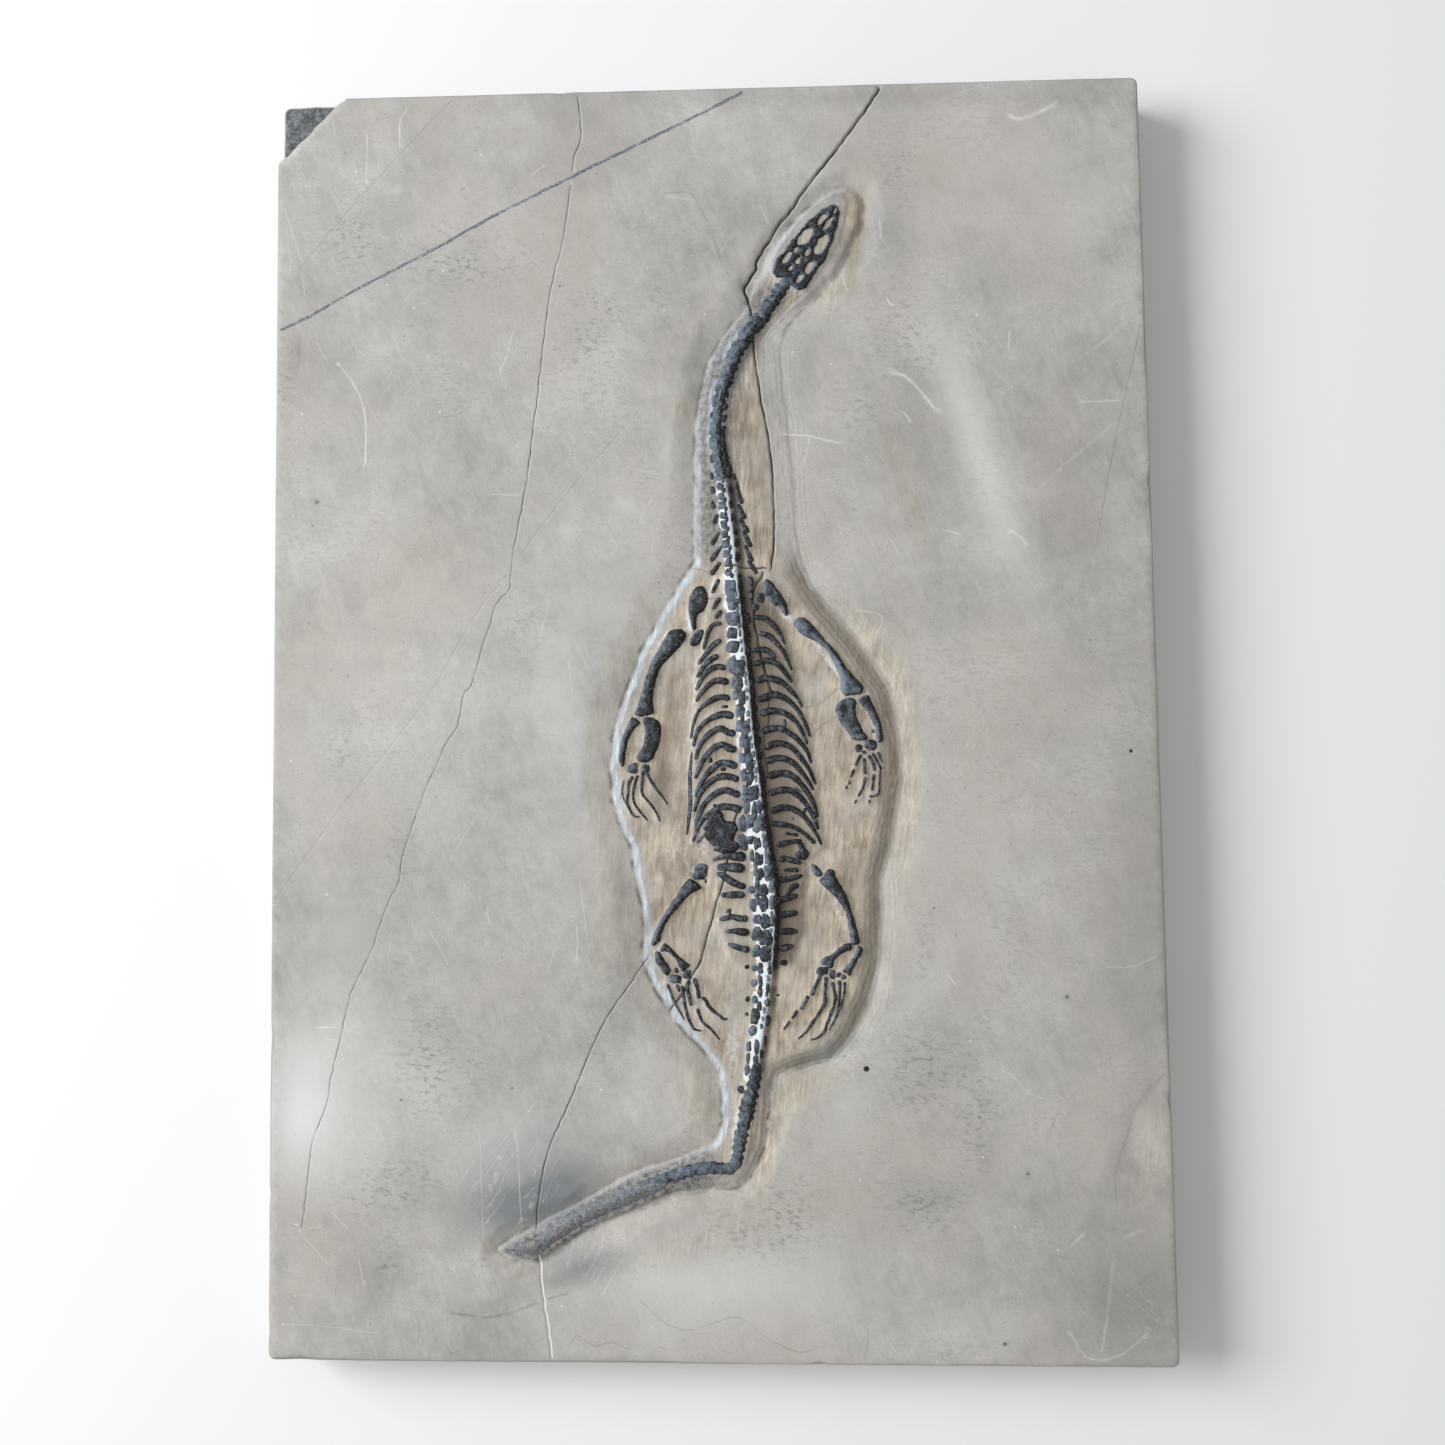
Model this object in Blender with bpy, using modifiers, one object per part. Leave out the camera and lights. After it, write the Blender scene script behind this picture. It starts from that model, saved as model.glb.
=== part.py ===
"""A small marine reptile's skeleton on its limestone slab, lying flat with the fossil face up.

The slab lies in the XY plane with its underside at z = 0, the head towards +Y, and left and right
as seen from above. Places on the fossil are given as pixels of the reference photograph, which
at() turns into metres on the slab's face. Every bone is a half-round form with a flat underside.
"""
import math

import bmesh
import bpy
import numpy as np
from mathutils import Matrix, Vector

# Real sizes, in metres
SLAB_CORNERS = ((-0.10034, 0.14490), (0.09956, 0.14408), (0.10035, -0.14490), (-0.09980, -0.14386))
SLAB_THICKNESS = 0.015
CORNER_RADIUS = 0.0016
ARRIS = 0.0004
DISH_DEPTH = 0.0014
DISH_SLOPE = 0.0024
PLATEAU_SLOPE = 0.0013
CHIP_DEPTH = 0.0042
CHIP_BLOCK = (0.040, 0.060, 0.020)
SKULL_PIT_DEPTH = 0.0009
BELLY_HEIGHT = 0.0008
REST_GAP = 0.0003
# The block that trims the bones' lower halves, and the level of its top
TRIM_BLOCK = (0.4, 0.4, 0.02)
TRIM_LEVEL = 0.00001
# Each bar of a bone starts this much higher than the last, so that no two share a plane
BAR_STEP = 0.000003

# The slab's corners in the photograph, in pixels, in the order of SLAB_CORNERS
PHOTO_CORNERS = ((278.5, 99.8), (1137.0, 77.0), (1180.0, 1368.0), (268.0, 1360.0))
CHIP_BREAK = ((345, 98), (278, 165))

# The scraped hollow round the animal, as pixels
DISH = (
    (846, 168), (876, 180), (884, 205), (880, 240), (862, 275), (838, 305), (812, 335), (800, 365),
    (800, 400), (806, 440), (810, 490), (816, 530), (832, 575), (858, 600), (885, 640), (905, 680),
    (920, 740), (924, 800), (915, 850), (902, 890), (904, 930), (897, 985), (880, 1025), (850, 1075),
    (812, 1095), (792, 1120), (785, 1160), (768, 1195), (740, 1210), (690, 1214), (640, 1234),
    (590, 1262), (545, 1282), (505, 1280), (478, 1262), (480, 1240), (510, 1222), (560, 1196),
    (620, 1162), (680, 1138), (698, 1115), (690, 1075), (662, 1052), (632, 1015), (616, 975),
    (618, 925), (606, 875), (590, 835), (582, 790), (582, 740), (592, 690), (612, 640), (636, 595),
    (662, 560), (668, 520), (668, 470), (670, 425), (676, 385), (686, 350), (704, 320), (724, 296),
    (738, 268), (758, 236), (786, 208), (815, 183))

# The raised stone that carries the animal, as pixels
PLATEAU = (
    (846, 188), (856, 192), (860, 205), (858, 225), (850, 243), (842, 258), (832, 272), (822, 285),
    (808, 298), (792, 312), (778, 328), (768, 345), (766, 365), (768, 390), (773, 420), (776, 450),
    (778, 480), (780, 510), (783, 540), (790, 572), (800, 592), (830, 628), (850, 652), (866, 675),
    (877, 695), (887, 740), (889, 780), (881, 830), (868, 880), (869, 920), (866, 960), (858, 1000),
    (842, 1030), (825, 1050), (790, 1062), (772, 1068), (768, 1083), (766, 1100), (764, 1124),
    (761, 1144), (755, 1160), (746, 1176), (736, 1184), (718, 1186), (690, 1190), (675, 1192),
    (650, 1202), (623, 1214), (600, 1223), (583, 1232), (572, 1240), (552, 1252), (535, 1262),
    (510, 1256), (500, 1250), (512, 1243), (530, 1233), (545, 1223), (575, 1208), (600, 1194),
    (627, 1180), (642, 1173), (675, 1163), (703, 1151), (714, 1148), (723, 1134), (727, 1120),
    (726, 1095), (721, 1073), (704, 1046), (679, 1021), (659, 990), (645, 955), (647, 920),
    (640, 880), (632, 842), (622, 820), (615, 800), (613, 770), (615, 740), (622, 712), (634, 680),
    (643, 655), (658, 624), (676, 597), (697, 562), (697, 500), (698, 440), (700, 410), (705, 385),
    (712, 362), (722, 342), (734, 327), (745, 314), (752, 300), (758, 285), (764, 270), (770, 255),
    (782, 238), (797, 222), (815, 205), (832, 193))

# A bone is one or more strokes, each a list of pixel x, pixel y and half width in pixels
SKULL = (((782, 284, 9), (790, 274, 15), (799, 262, 18.5), (810, 246, 19), (820, 231, 17),
          (830, 217, 13), (838, 207, 9), (844, 199, 5)),)
SKULL_PITS = ((823, 219, 2.5, 5), (830, 224, 2.2, 5), (792, 263, 3.5, 5), (806, 268, 3.5, 5),
              (805, 238.5, 5.5, 9), (819, 245, 4.5, 9))
SKULL_LEAN = math.radians(-35)

NECK = ((779, 292, 5), (772, 303, 6), (762, 318, 6.5), (753, 328, 7), (746, 340, 7), (738, 352, 7),
        (733, 365, 7), (728, 378, 7), (723, 392, 7), (721, 405, 7), (718, 420, 7), (717, 435, 7.5),
        (717, 450, 8), (719, 470, 9), (722, 490, 9.5), (725, 510, 10), (728, 530, 10),
        (731, 550, 10), (733, 567, 10))
NECK_PROCESSES = (
    ((720, 500), (712, 507)), ((722, 515), (713, 523)), ((724, 530), (711, 545)),
    ((725, 545), (710, 560)), ((727, 558), (710, 575)), ((722, 470), (734, 480)),
    ((724, 484), (737, 495)), ((727, 498), (740, 511)), ((730, 514), (744, 527)),
    ((732, 530), (747, 543)), ((733, 546), (748, 560)))

TRUNK = ((734, 575, 9), (734, 590, 9), (737, 610, 9), (738, 630, 9), (739, 650, 9), (741, 670, 9),
         (743, 690, 9), (744, 710, 9), (747, 730, 9), (749, 750, 9), (751, 770, 9.5),
         (753, 790, 10), (755, 810, 10.5), (757, 830, 11), (759, 850, 11), (760, 870, 11),
         (761, 890, 10.5), (762, 910, 10), (763, 930, 9.5), (763, 950, 9), (763, 962, 8))
TAIL = ((763, 967, 8), (762, 985, 8), (761, 1000, 8), (759, 1015, 8), (756, 1030, 7.5),
        (753, 1045, 7), (751.5, 1060, 7), (751, 1075, 7.5), (748, 1090, 8), (745.5, 1105, 8.5),
        (743, 1120, 8), (741, 1135, 7.5), (738, 1150, 7), (735, 1163, 7), (729, 1171, 7),
        (719, 1172, 7.5), (708, 1170, 7.5), (690, 1174, 7), (670, 1180, 6), (650, 1187, 5.5),
        (630, 1194, 5.5), (600, 1208, 6.5), (574, 1220, 6), (555, 1234, 6.5), (535, 1246, 9),
        (518, 1249, 4), (506, 1250, 1.2))

# Ribs, from the backbone outwards; the first point is carried in to the backbone's centre
LEFT_RIBS = (
    ((719, 579, 2), (712, 594, 1.5)),
    ((720, 598, 2), (712.5, 610, 1.5)),
    ((722, 611, 2), (715, 619, 1.5)),
    ((722, 624, 2), (714, 625, 2), (709, 631, 1.8), (706.5, 639, 1.6), (703.5, 650, 1.5)),
    ((721, 640, 2.2), (712, 647, 2.2), (704, 657, 2), (698, 665, 1.3)),
    ((719, 656, 2.4), (711, 660, 2.4), (703, 668, 2), (697, 678, 1.3)),
    ((726, 669, 2.6), (718, 667, 2.6), (709, 671, 2.4), (702, 679, 2), (696, 691, 1.4)),
    ((729, 683, 2.8), (720, 681, 2.8), (712, 683, 2.5), (702, 693, 2), (696, 702, 1.4)),
    ((730, 700, 3), (724, 697.5, 2.9), (715, 699, 2.4), (706, 704.5, 2), (699, 711, 1.6),
     (693.5, 724, 1.4), (691, 739, 1)),
    ((734, 717, 3), (724, 714.5, 3), (715, 717, 2.6), (706, 722, 2.2), (700, 728, 1.9),
     (696, 735, 1.7), (693.5, 747, 1.3)),
    ((736, 733.5, 2.8), (729, 733, 2.8), (721, 729, 2.8), (712, 732.5, 2.6), (704, 740, 2.2),
     (699, 749, 1.9), (695.5, 760, 1.4)),
    ((737, 749.5, 3), (731, 749, 3), (722, 745, 2.8), (713, 749, 2.6), (705, 758, 2.2),
     (699.5, 768, 1.9), (695.5, 779, 1.4)),
    ((737, 767.5, 3), (730, 764, 3), (721, 763, 2.8), (713, 768.5, 2.6), (705, 777, 2.2),
     (699.5, 787, 1.9), (695.5, 797, 1.4)),
    ((739, 780.5, 3), (732, 777.5, 3), (722, 776.5, 2.8), (712, 781, 2.6), (704, 788.5, 2.2),
     (698.5, 798, 1.9), (694.5, 812, 1.4)),
    ((740, 796, 3), (733, 792.5, 3), (724, 790.5, 2.8), (714, 795, 2.6), (705.5, 803, 2.2),
     (699.5, 814, 1.9), (695.5, 827, 1.4)),
    ((741, 811, 3), (733, 807.5, 3), (722, 807, 2.8), (714, 811, 2.6), (704, 819, 2),
     (698, 828, 1.8), (693, 842, 1.3)))
RIGHT_RIBS = (
    ((754, 618, 2), (765, 619, 2.4), (774, 626, 2.2), (781, 636, 1.8), (785, 645, 1.2)),
    ((759, 634, 2), (768, 636, 2.4), (776, 643, 2.2), (784, 653, 1.8), (792, 671, 1.2)),
    ((752, 652, 2), (760, 650, 2.4), (768, 651.5, 2.4), (776, 659, 1.6)),
    ((754, 666, 2.2), (761, 662, 2.6), (768, 661, 2.6), (778, 665, 2.4), (786, 674, 2),
     (792, 683, 1.3)),
    ((756, 683, 2.4), (763, 679, 2.8), (772, 679, 2.8), (782, 683, 2.4), (790, 690, 2),
     (797, 698, 1.6), (802.5, 707.5, 1.1)),
    ((757.5, 700, 3), (764, 698.5, 3), (773, 695, 3), (783, 697.5, 2.5), (791, 703, 2.1),
     (799, 712, 1.9), (806, 725, 1.6), (810, 737, 1.2)),
    ((760, 714.5, 3), (770, 711.5, 3), (780, 712, 2.6), (789, 716, 2.3), (797, 723.5, 2),
     (803, 733.5, 1.6), (807.5, 744.5, 1.1)),
    ((761.5, 732, 3), (769, 729.5, 3), (779, 728.5, 2.7), (788, 732.5, 2.4), (798, 740, 2),
     (807, 751.5, 1.7), (811.5, 763.5, 1.2)),
    ((764.5, 749, 3), (773, 744.5, 3), (782, 744, 2.7), (791, 747.5, 2.4), (800, 757, 2.1),
     (809, 769.5, 1.9), (816, 785, 1.3)),
    ((766, 762, 3), (775, 758.5, 3), (785, 759, 2.6), (794, 764, 2.3), (803, 774, 2),
     (810, 784, 1.6), (813.5, 790.5, 1.2)),
    ((767, 777, 3.4), (777, 774, 3), (787, 774, 2.8), (797, 780, 2.5), (807, 792, 2.2),
     (814, 804.5, 2), (817.5, 818, 1.3)),
    ((768, 793.5, 3.2), (778, 791, 2.9), (788, 790, 2.8), (798, 795.5, 2.5), (807, 805.5, 2.1),
     (814, 818, 1.9), (818.5, 830, 1.3)),
    ((770.5, 812, 2.8), (781, 808, 2.8), (791, 808.5, 2.6), (802, 814.5, 2.2), (811, 825.5, 1.8),
     (817.5, 836, 1.5), (821.5, 845, 1.3)),
    ((770.5, 823, 3), (781, 824.5, 2.4), (792, 826.5, 2), (804, 833.5, 1.8), (815, 843.5, 1.7)))
LEFT_LOWER_RIBS = (
    ((746, 856.5, 4.3), (738, 856.5, 4), (728, 856.2, 2.5), (720, 857.7, 2), (713, 860.5, 1.4)),
    ((745, 868.5, 4.2), (735, 867.5, 3.8), (725, 867, 3.2), (717, 867.5, 2.4)),
    ((746, 886.4, 2.8), (739.5, 885.2, 3), (731, 881, 3), (723, 875.5, 2.6), (717, 873, 1.8)),
    ((745, 894.8, 2.8), (737, 894.5, 2.8), (728, 895, 2.6), (721, 894.5, 1.6)),
    ((748, 918.3, 2.8), (740, 918.3, 2.8), (732, 916.5, 2.2), (726, 918, 2), (719.5, 919.5, 1.4)),
    ((749.5, 932.3, 3), (742, 931.7, 3), (733, 930.8, 2.2), (725, 931.7, 1.2)),
    ((749.5, 949.3, 2.8), (743, 948.6, 2.8), (735.5, 946.2, 2.2), (728, 943.6, 1.2)))
RIGHT_LOWER_RIBS = (
    ((776.5, 845.5, 2.8), (785.5, 843, 2.4), (794, 841.5, 2), (802, 840.3, 1.3)),
    ((779, 860.8, 2.6), (784, 858.3, 2.6), (792, 860.3, 2.4), (801.5, 863.3, 1.6)),
    ((783, 869.8, 1.2), (793, 869.8, 1.6), (798.5, 870, 2.6)),
    ((779, 880, 2.8), (787, 879, 2.4), (795, 877.3, 2), (803, 875, 1.4)),
    ((775, 902.2, 3.2), (782.5, 899.3, 3), (791, 897, 2.4), (798, 895, 1.5)),
    ((779, 915.2, 2.8), (787, 914, 2.8), (793, 913, 2.6), (798, 912.5, 1.8)),
    ((779, 931.7, 2.9), (787, 931, 2.8), (793, 931, 2.4), (798, 931.2, 1.6)),
    ((779.5, 949.2, 2.9), (786.5, 946.8, 2.6), (794, 945.6, 1.6)))
FORKED_RIB = ((786, 898, 1.6), (789.5, 891, 2.5), (794, 886, 3), (799, 885.5, 3.2))

BELLY_MASS = (
    (713, 818), (718, 816), (724, 815.5), (727, 819.5), (733, 824), (736, 829), (735.5, 834),
    (733, 840), (737, 844.5), (733.5, 849), (727, 850.3), (721, 851), (715, 848.5), (711, 845),
    (706.5, 839.5), (700, 844.5), (698, 843), (703, 835), (707, 832), (706, 828), (709, 821))

LIMB_BONES = {
    "left_shoulder_blade": (((700, 590, 5.5), (700.5, 600, 7.5), (697.5, 609, 7), (695, 617, 4),
                             (694, 626, 2)),),
    "right_shoulder_blade": (((768, 584, 4.5), (772, 593.5, 6), (778.5, 600.5, 4.6),
                              (784.5, 607.5, 3.4), (787, 614, 1.8)),),
    "left_collar_bone": (((699.5, 633.5, 2.2), (696, 639, 3.2), (693, 644.5, 2)),),
    "left_upper_arm": (((677, 635, 8), (669, 647, 8), (661.5, 657.5, 7.3), (655, 668, 6.4),
                        (650.5, 680, 6.2), (647.3, 693, 6.3), (645.7, 705, 7.8), (644.5, 714, 8.6)),),
    "right_upper_arm": (((799, 624, 7), (806, 629.5, 8), (815, 636, 7.3), (824, 644, 6.4),
                         (832, 652.5, 6.2), (838.5, 662, 6.8), (844.5, 672, 8.4), (850, 682, 10),
                         (852, 692, 9)),),
    "left_forearm_outer": (((635, 722, 4.3), (629.5, 730.5, 4), (625, 741, 3.7), (622.7, 753, 3.5),
                            (622.5, 764, 2.8)),),
    "left_forearm_inner": (((651, 722, 7.5), (653, 731, 8), (651.5, 742, 7.5), (648, 751, 7.4),
                            (645, 758.5, 6.8)),),
    "right_forearm_inner": (((849, 701, 7.8), (846.5, 709, 9.4), (848.5, 718, 9.2),
                             (852.5, 726, 8.4), (857, 733, 8.2), (859.8, 737.5, 7.8)),),
    "right_forearm_outer": (((864.5, 699.5, 5.2), (868.5, 706, 5.4), (872.5, 714, 4.7),
                             (876.5, 724, 4), (879, 732, 3.6), (880.3, 740, 3.2)),),
    "left_hand": (
        ((633, 768, 4.6), (646, 769, 3.2)),
        ((634.5, 769, 2), (632.5, 777, 1.6), (628, 793, 1.6), (628.5, 804, 1.4), (634, 816, 1.2),
         (640, 817, 1)),
        ((636, 770, 2), (635, 783, 1.6), (633.5, 793, 1.4), (638, 809, 1.3), (648, 821, 1)),
        ((642, 769, 2), (642, 783, 1.5), (643, 793, 1.4), (652, 806, 1.2), (660, 822, 1)),
        ((644.5, 769, 2), (651, 781, 1.4), (657, 790, 1.2), (668, 805, 1)),
        ((634.5, 768.5, 1.8), (624, 780, 1.3), (622.5, 790, 1.2), (624, 800, 1.1), (629, 808, 1))),
    "right_hand": (
        ((866, 746, 5), (874, 746, 5)),
        ((857, 748.7, 3.4), (866, 749, 3)),
        ((860, 750, 2), (859, 757, 1.8), (856, 766, 1.8), (852, 773, 1.3), (847, 789, 1)),
        ((864, 750, 2), (864.6, 762, 1.8), (865, 775, 1.4), (863, 787, 1.3), (854.5, 804, 1)),
        ((869, 749, 2), (870.5, 758, 1.8), (874, 768, 1.8), (873.8, 780, 1.6), (872, 791, 1.2)),
        ((873, 748, 2), (877, 761, 1.7), (880.5, 770, 1.8), (880, 781, 1.3), (878, 793, 1.1)),
        ((875, 748, 1.8), (880, 752.5, 1.6), (882.3, 763, 1.2))),
    "left_hip_bone": (((694.5, 871.5, 6), (701, 871.5, 8), (707, 871.5, 6)),),
    "right_hip_bone": (((813, 867, 3.2), (816.5, 870.3, 4), (819, 873, 2.8)),),
    "left_thigh": (((696, 884.5, 7.3), (688, 890, 8.2), (679, 899, 6.5), (671, 909.5, 5.5),
                    (664, 921, 5), (659, 932, 4.8), (656, 941.5, 4.8)),),
    "right_thigh": (((828, 877, 7), (832.5, 884, 8), (839, 893.5, 6.8), (845, 905, 5.3),
                     (849.5, 918, 4.8), (853, 930, 4.8), (855.5, 941, 4.7)),),
    "left_shin_inner": (((662, 948, 3.9), (669, 952.7, 4.3), (676, 958.7, 4.7), (683, 965, 5.3)),),
    "left_shin_outer": (((658, 957, 3.5), (661.8, 964, 4.2), (666.3, 971.5, 4.3)),),
    "right_shin_inner": (((848, 946.5, 3.9), (840.5, 950.5, 4.2), (832.5, 956.5, 4.5),
                          (826, 962, 5.3)),),
    "right_shin_outer": (((860, 949.7, 3.5), (855, 957.5, 4.3), (849.5, 966.5, 4.8),
                          (845.7, 972, 4.4)),),
    "left_foot": (
        ((687, 975, 4.2), (675, 979.3, 4.2)),
        ((689, 976, 2), (695.8, 983, 2.2), (699, 998, 1.9), (708, 1006, 1.8), (723, 1019, 1.4),
         (728, 1018.5, 1.1)),
        ((686, 977, 2), (687.5, 989, 1.9), (690.7, 1005, 1.8), (697, 1009, 1.5), (703.5, 1023, 1.3),
         (720, 1040, 1)),
        ((682, 978, 2), (683, 994, 1.8), (687, 1012, 1.6), (694.5, 1029, 1.2)),
        ((676.5, 979, 2), (670.4, 992, 1.7), (673.6, 1001, 1.5), (684.4, 1019.5, 1.1))),
    "right_foot": (
        ((821, 971, 4), (832, 974.7, 3.7), (842, 978, 3)),
        ((822.5, 971.5, 2), (817.5, 981, 2.2), (811.8, 995, 2.4), (805.5, 1002, 2), (800.4, 1010, 1.8),
         (794, 1016, 1.6), (783.5, 1030, 1)),
        ((825, 973, 2), (825.8, 984, 2.2), (824.6, 1002, 2), (818, 1014.6, 1.8), (811.8, 1023.5, 1.7),
         (798, 1039, 1)),
        ((832, 976, 2), (834, 990, 1.8), (834, 1005, 1.8), (827, 1023.5, 1.6), (818, 1037.5, 1.4),
         (810.6, 1040, 1)),
        ((837.5, 977, 2), (839.7, 992, 1.7), (838, 1010, 1.5), (829, 1030.5, 1.1)),
        ((840.5, 977.5, 1.8), (844, 994, 1.4), (840.5, 1010, 1.1))),
    "broken_rib_end": (((785.5, 833.3, 2.2), (791, 834.4, 1.5), (796, 834.8, 2)),),
    "loose_vertebra": (((799.5, 847, 3), (801.5, 852, 6), (802, 857, 3.5)),),
}

# Height of a bone over its half width, by kind
SKULL_RISE = 0.55
SPINE_RISE = 1.15
RIB_RISE = 0.9
LIMB_RISE = 0.7
# How far a vertebra's waist narrows, and the distance between vertebrae in pixels
WAIST = 0.78
NECK_PITCH = 13.0
TRUNK_PITCH = 15.5
TAIL_PITCH = 16.0
NECK_PROCESS_HALF_WIDTH = 1.8
TUBE_SIDES_RESOLUTION = 1

STONE_COLOUR = (0.47, 0.43, 0.38)
BONE_COLOUR = (0.045, 0.052, 0.062)


def photo_to_slab():
    """The projective map from the photograph's pixels to metres on the slab's face."""
    rows = []
    values = []
    for (px, py), (x, y) in zip(PHOTO_CORNERS, SLAB_CORNERS):
        rows.append((px, py, 1, 0, 0, 0, -x * px, -x * py))
        rows.append((0, 0, 0, px, py, 1, -y * px, -y * py))
        values += [x, y]
    return np.append(np.linalg.solve(np.array(rows, float), np.array(values)), 1).reshape(3, 3)


PHOTO_MAP = photo_to_slab()
PIXEL = math.dist(*SLAB_CORNERS[:2]) / math.dist(*PHOTO_CORNERS[:2])


def at(px, py):
    """A pixel's place on the slab's face, as x and y in metres."""
    x, y, w = PHOTO_MAP @ (px, py, 1)
    return x / w, y / w


def clear_scene():
    for obj in list(bpy.data.objects):
        bpy.data.objects.remove(obj)


def new_collection(name):
    collection = bpy.data.collections.new(name)
    bpy.context.scene.collection.children.link(collection)
    return collection


def make_material(name, colour, roughness):
    material = bpy.data.materials.new(name)
    material.use_nodes = True
    shader = material.node_tree.nodes["Principled BSDF"]
    shader.inputs["Base Color"].default_value = (*colour, 1)
    shader.inputs["Roughness"].default_value = roughness
    shader.inputs["Metallic"].default_value = 0
    material.diffuse_color = (*colour, 1)
    return material


def evaluated_mesh(obj):
    """The object's mesh with its modifiers, as a new mesh."""
    bpy.context.view_layer.update()
    return bpy.data.meshes.new_from_object(obj.evaluated_get(bpy.context.evaluated_depsgraph_get()))


def bake_modifiers(obj):
    obj.data = evaluated_mesh(obj)
    obj.modifiers.clear()


def add_boolean(obj, other, operation):
    modifier = obj.modifiers.new(operation.title(), "BOOLEAN")
    modifier.operation = operation
    modifier.solver = "EXACT"
    modifier.object = other


def mesh_object(name, bm, collection):
    mesh = bpy.data.meshes.new(name)
    bm.to_mesh(mesh)
    bm.free()
    obj = bpy.data.objects.new(name, mesh)
    collection.objects.link(obj)
    return obj


def rounded_outline(corners, radius, steps=5):
    """A polygon's corners, each replaced by an arc of the given radius."""
    points = []
    for i, corner in enumerate(corners):
        here = Vector(corner)
        before = (Vector(corners[i - 1]) - here).normalized()
        after = (Vector(corners[(i + 1) % len(corners)]) - here).normalized()
        half = before.angle(after) / 2
        centre = here + (before + after).normalized() * radius / math.sin(half)
        start = here + before * radius / math.tan(half) - centre
        end = here + after * radius / math.tan(half) - centre
        turn = start.angle_signed(end)
        for k in range(steps + 1):
            points.append(centre + Matrix.Rotation(-turn * k / steps, 2) @ start)
    return points


def spread_outline(points, distance):
    """A closed outline moved outwards by a distance, corner by corner."""
    area = sum(a.x * b.y - b.x * a.y for a, b in zip(points, points[1:] + points[:1]))
    side = 1 if area > 0 else -1
    moved = []
    for i, here in enumerate(points):
        along = points[(i + 1) % len(points)] - points[i - 1]
        moved.append(here + Vector((along.y, -along.x)).normalized() * distance * side)
    return moved


def sloped_block(name, outline, low, high, low_spread, collection):
    """A solid with sloping sides: its outline at the top, spread by low_spread at the bottom."""
    bm = bmesh.new()
    foot = [bm.verts.new((p.x, p.y, low)) for p in spread_outline(outline, low_spread)]
    head = [bm.verts.new((p.x, p.y, high)) for p in outline]
    for i in range(len(outline)):
        j = (i + 1) % len(outline)
        bm.faces.new((foot[i], foot[j], head[j], head[i]))
    bm.faces.new(foot)
    bm.faces.new(head)
    bmesh.ops.recalc_face_normals(bm, faces=bm.faces)
    return mesh_object(name, bm, collection)


def pixels_outline(pixels):
    return [Vector(at(*pixel)) for pixel in pixels]


def make_slab_blank(collection):
    """The sawn slab: a flat outline with rounded corners, extruded, its arrises eased."""
    curve = bpy.data.curves.new("slab", "CURVE")
    curve.dimensions = "2D"
    curve.fill_mode = "BOTH"
    curve.extrude = SLAB_THICKNESS / 2
    outline = rounded_outline(SLAB_CORNERS, CORNER_RADIUS)
    spline = curve.splines.new("POLY")
    spline.points.add(len(outline) - 1)
    for point, place in zip(spline.points, outline):
        point.co = (place.x, place.y, 0, 1)
    spline.use_cyclic_u = True
    source = bpy.data.objects.new("slab_outline", curve)
    collection.objects.link(source)
    bm = bmesh.new()
    bm.from_mesh(evaluated_mesh(source))
    bmesh.ops.remove_doubles(bm, verts=bm.verts, dist=1e-6)
    bmesh.ops.translate(bm, verts=bm.verts, vec=(0, 0, SLAB_THICKNESS / 2))
    bmesh.ops.dissolve_limit(bm, angle_limit=0.001, verts=bm.verts, edges=bm.edges)
    bmesh.ops.recalc_face_normals(bm, faces=bm.faces)
    bpy.data.objects.remove(source)
    slab = mesh_object("slab", bm, collection)
    bevel = slab.modifiers.new("Arris", "BEVEL")
    bevel.width = ARRIS
    bevel.segments = 1
    bevel.limit_method = "ANGLE"
    bevel.angle_limit = math.radians(60)
    return slab


def chip_cutter(collection):
    """A block whose side lies on the break line, and whose foot is the fracture's depth down."""
    start, end = (Vector(at(*pixel)) for pixel in CHIP_BREAK)
    along = (end - start).normalized()
    outward = Vector((along.y, -along.x))
    if outward.dot(Vector(SLAB_CORNERS[0])) < 0:
        outward = -outward
    middle = (start + end) / 2 + outward * CHIP_BLOCK[0] / 2
    bm = bmesh.new()
    bmesh.ops.create_cube(bm, size=1, matrix=Matrix.Diagonal((*CHIP_BLOCK, 1)))
    cutter = mesh_object("chip_cutter", bm, collection)
    cutter.location = (*middle, SLAB_THICKNESS - CHIP_DEPTH + CHIP_BLOCK[2] / 2)
    cutter.rotation_euler.z = math.atan2(outward.y, outward.x)
    return cutter


def make_slab(parts, cutters, stone):
    """The slab with its broken corner, the scraped hollow, and the raised stone in it."""
    slab = make_slab_blank(parts)
    floor = SLAB_THICKNESS - DISH_DEPTH
    above = SLAB_THICKNESS + DISH_DEPTH
    dish = sloped_block("dish_cutter", pixels_outline(DISH), floor, above, -DISH_SLOPE, cutters)
    plateau = sloped_block("plateau", pixels_outline(PLATEAU), floor - DISH_DEPTH / 2,
                           SLAB_THICKNESS, PLATEAU_SLOPE * 1.5, cutters)
    add_boolean(slab, chip_cutter(cutters), "DIFFERENCE")
    add_boolean(slab, dish, "DIFFERENCE")
    add_boolean(slab, plateau, "UNION")
    slab.data.materials.append(stone)
    return slab


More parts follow.
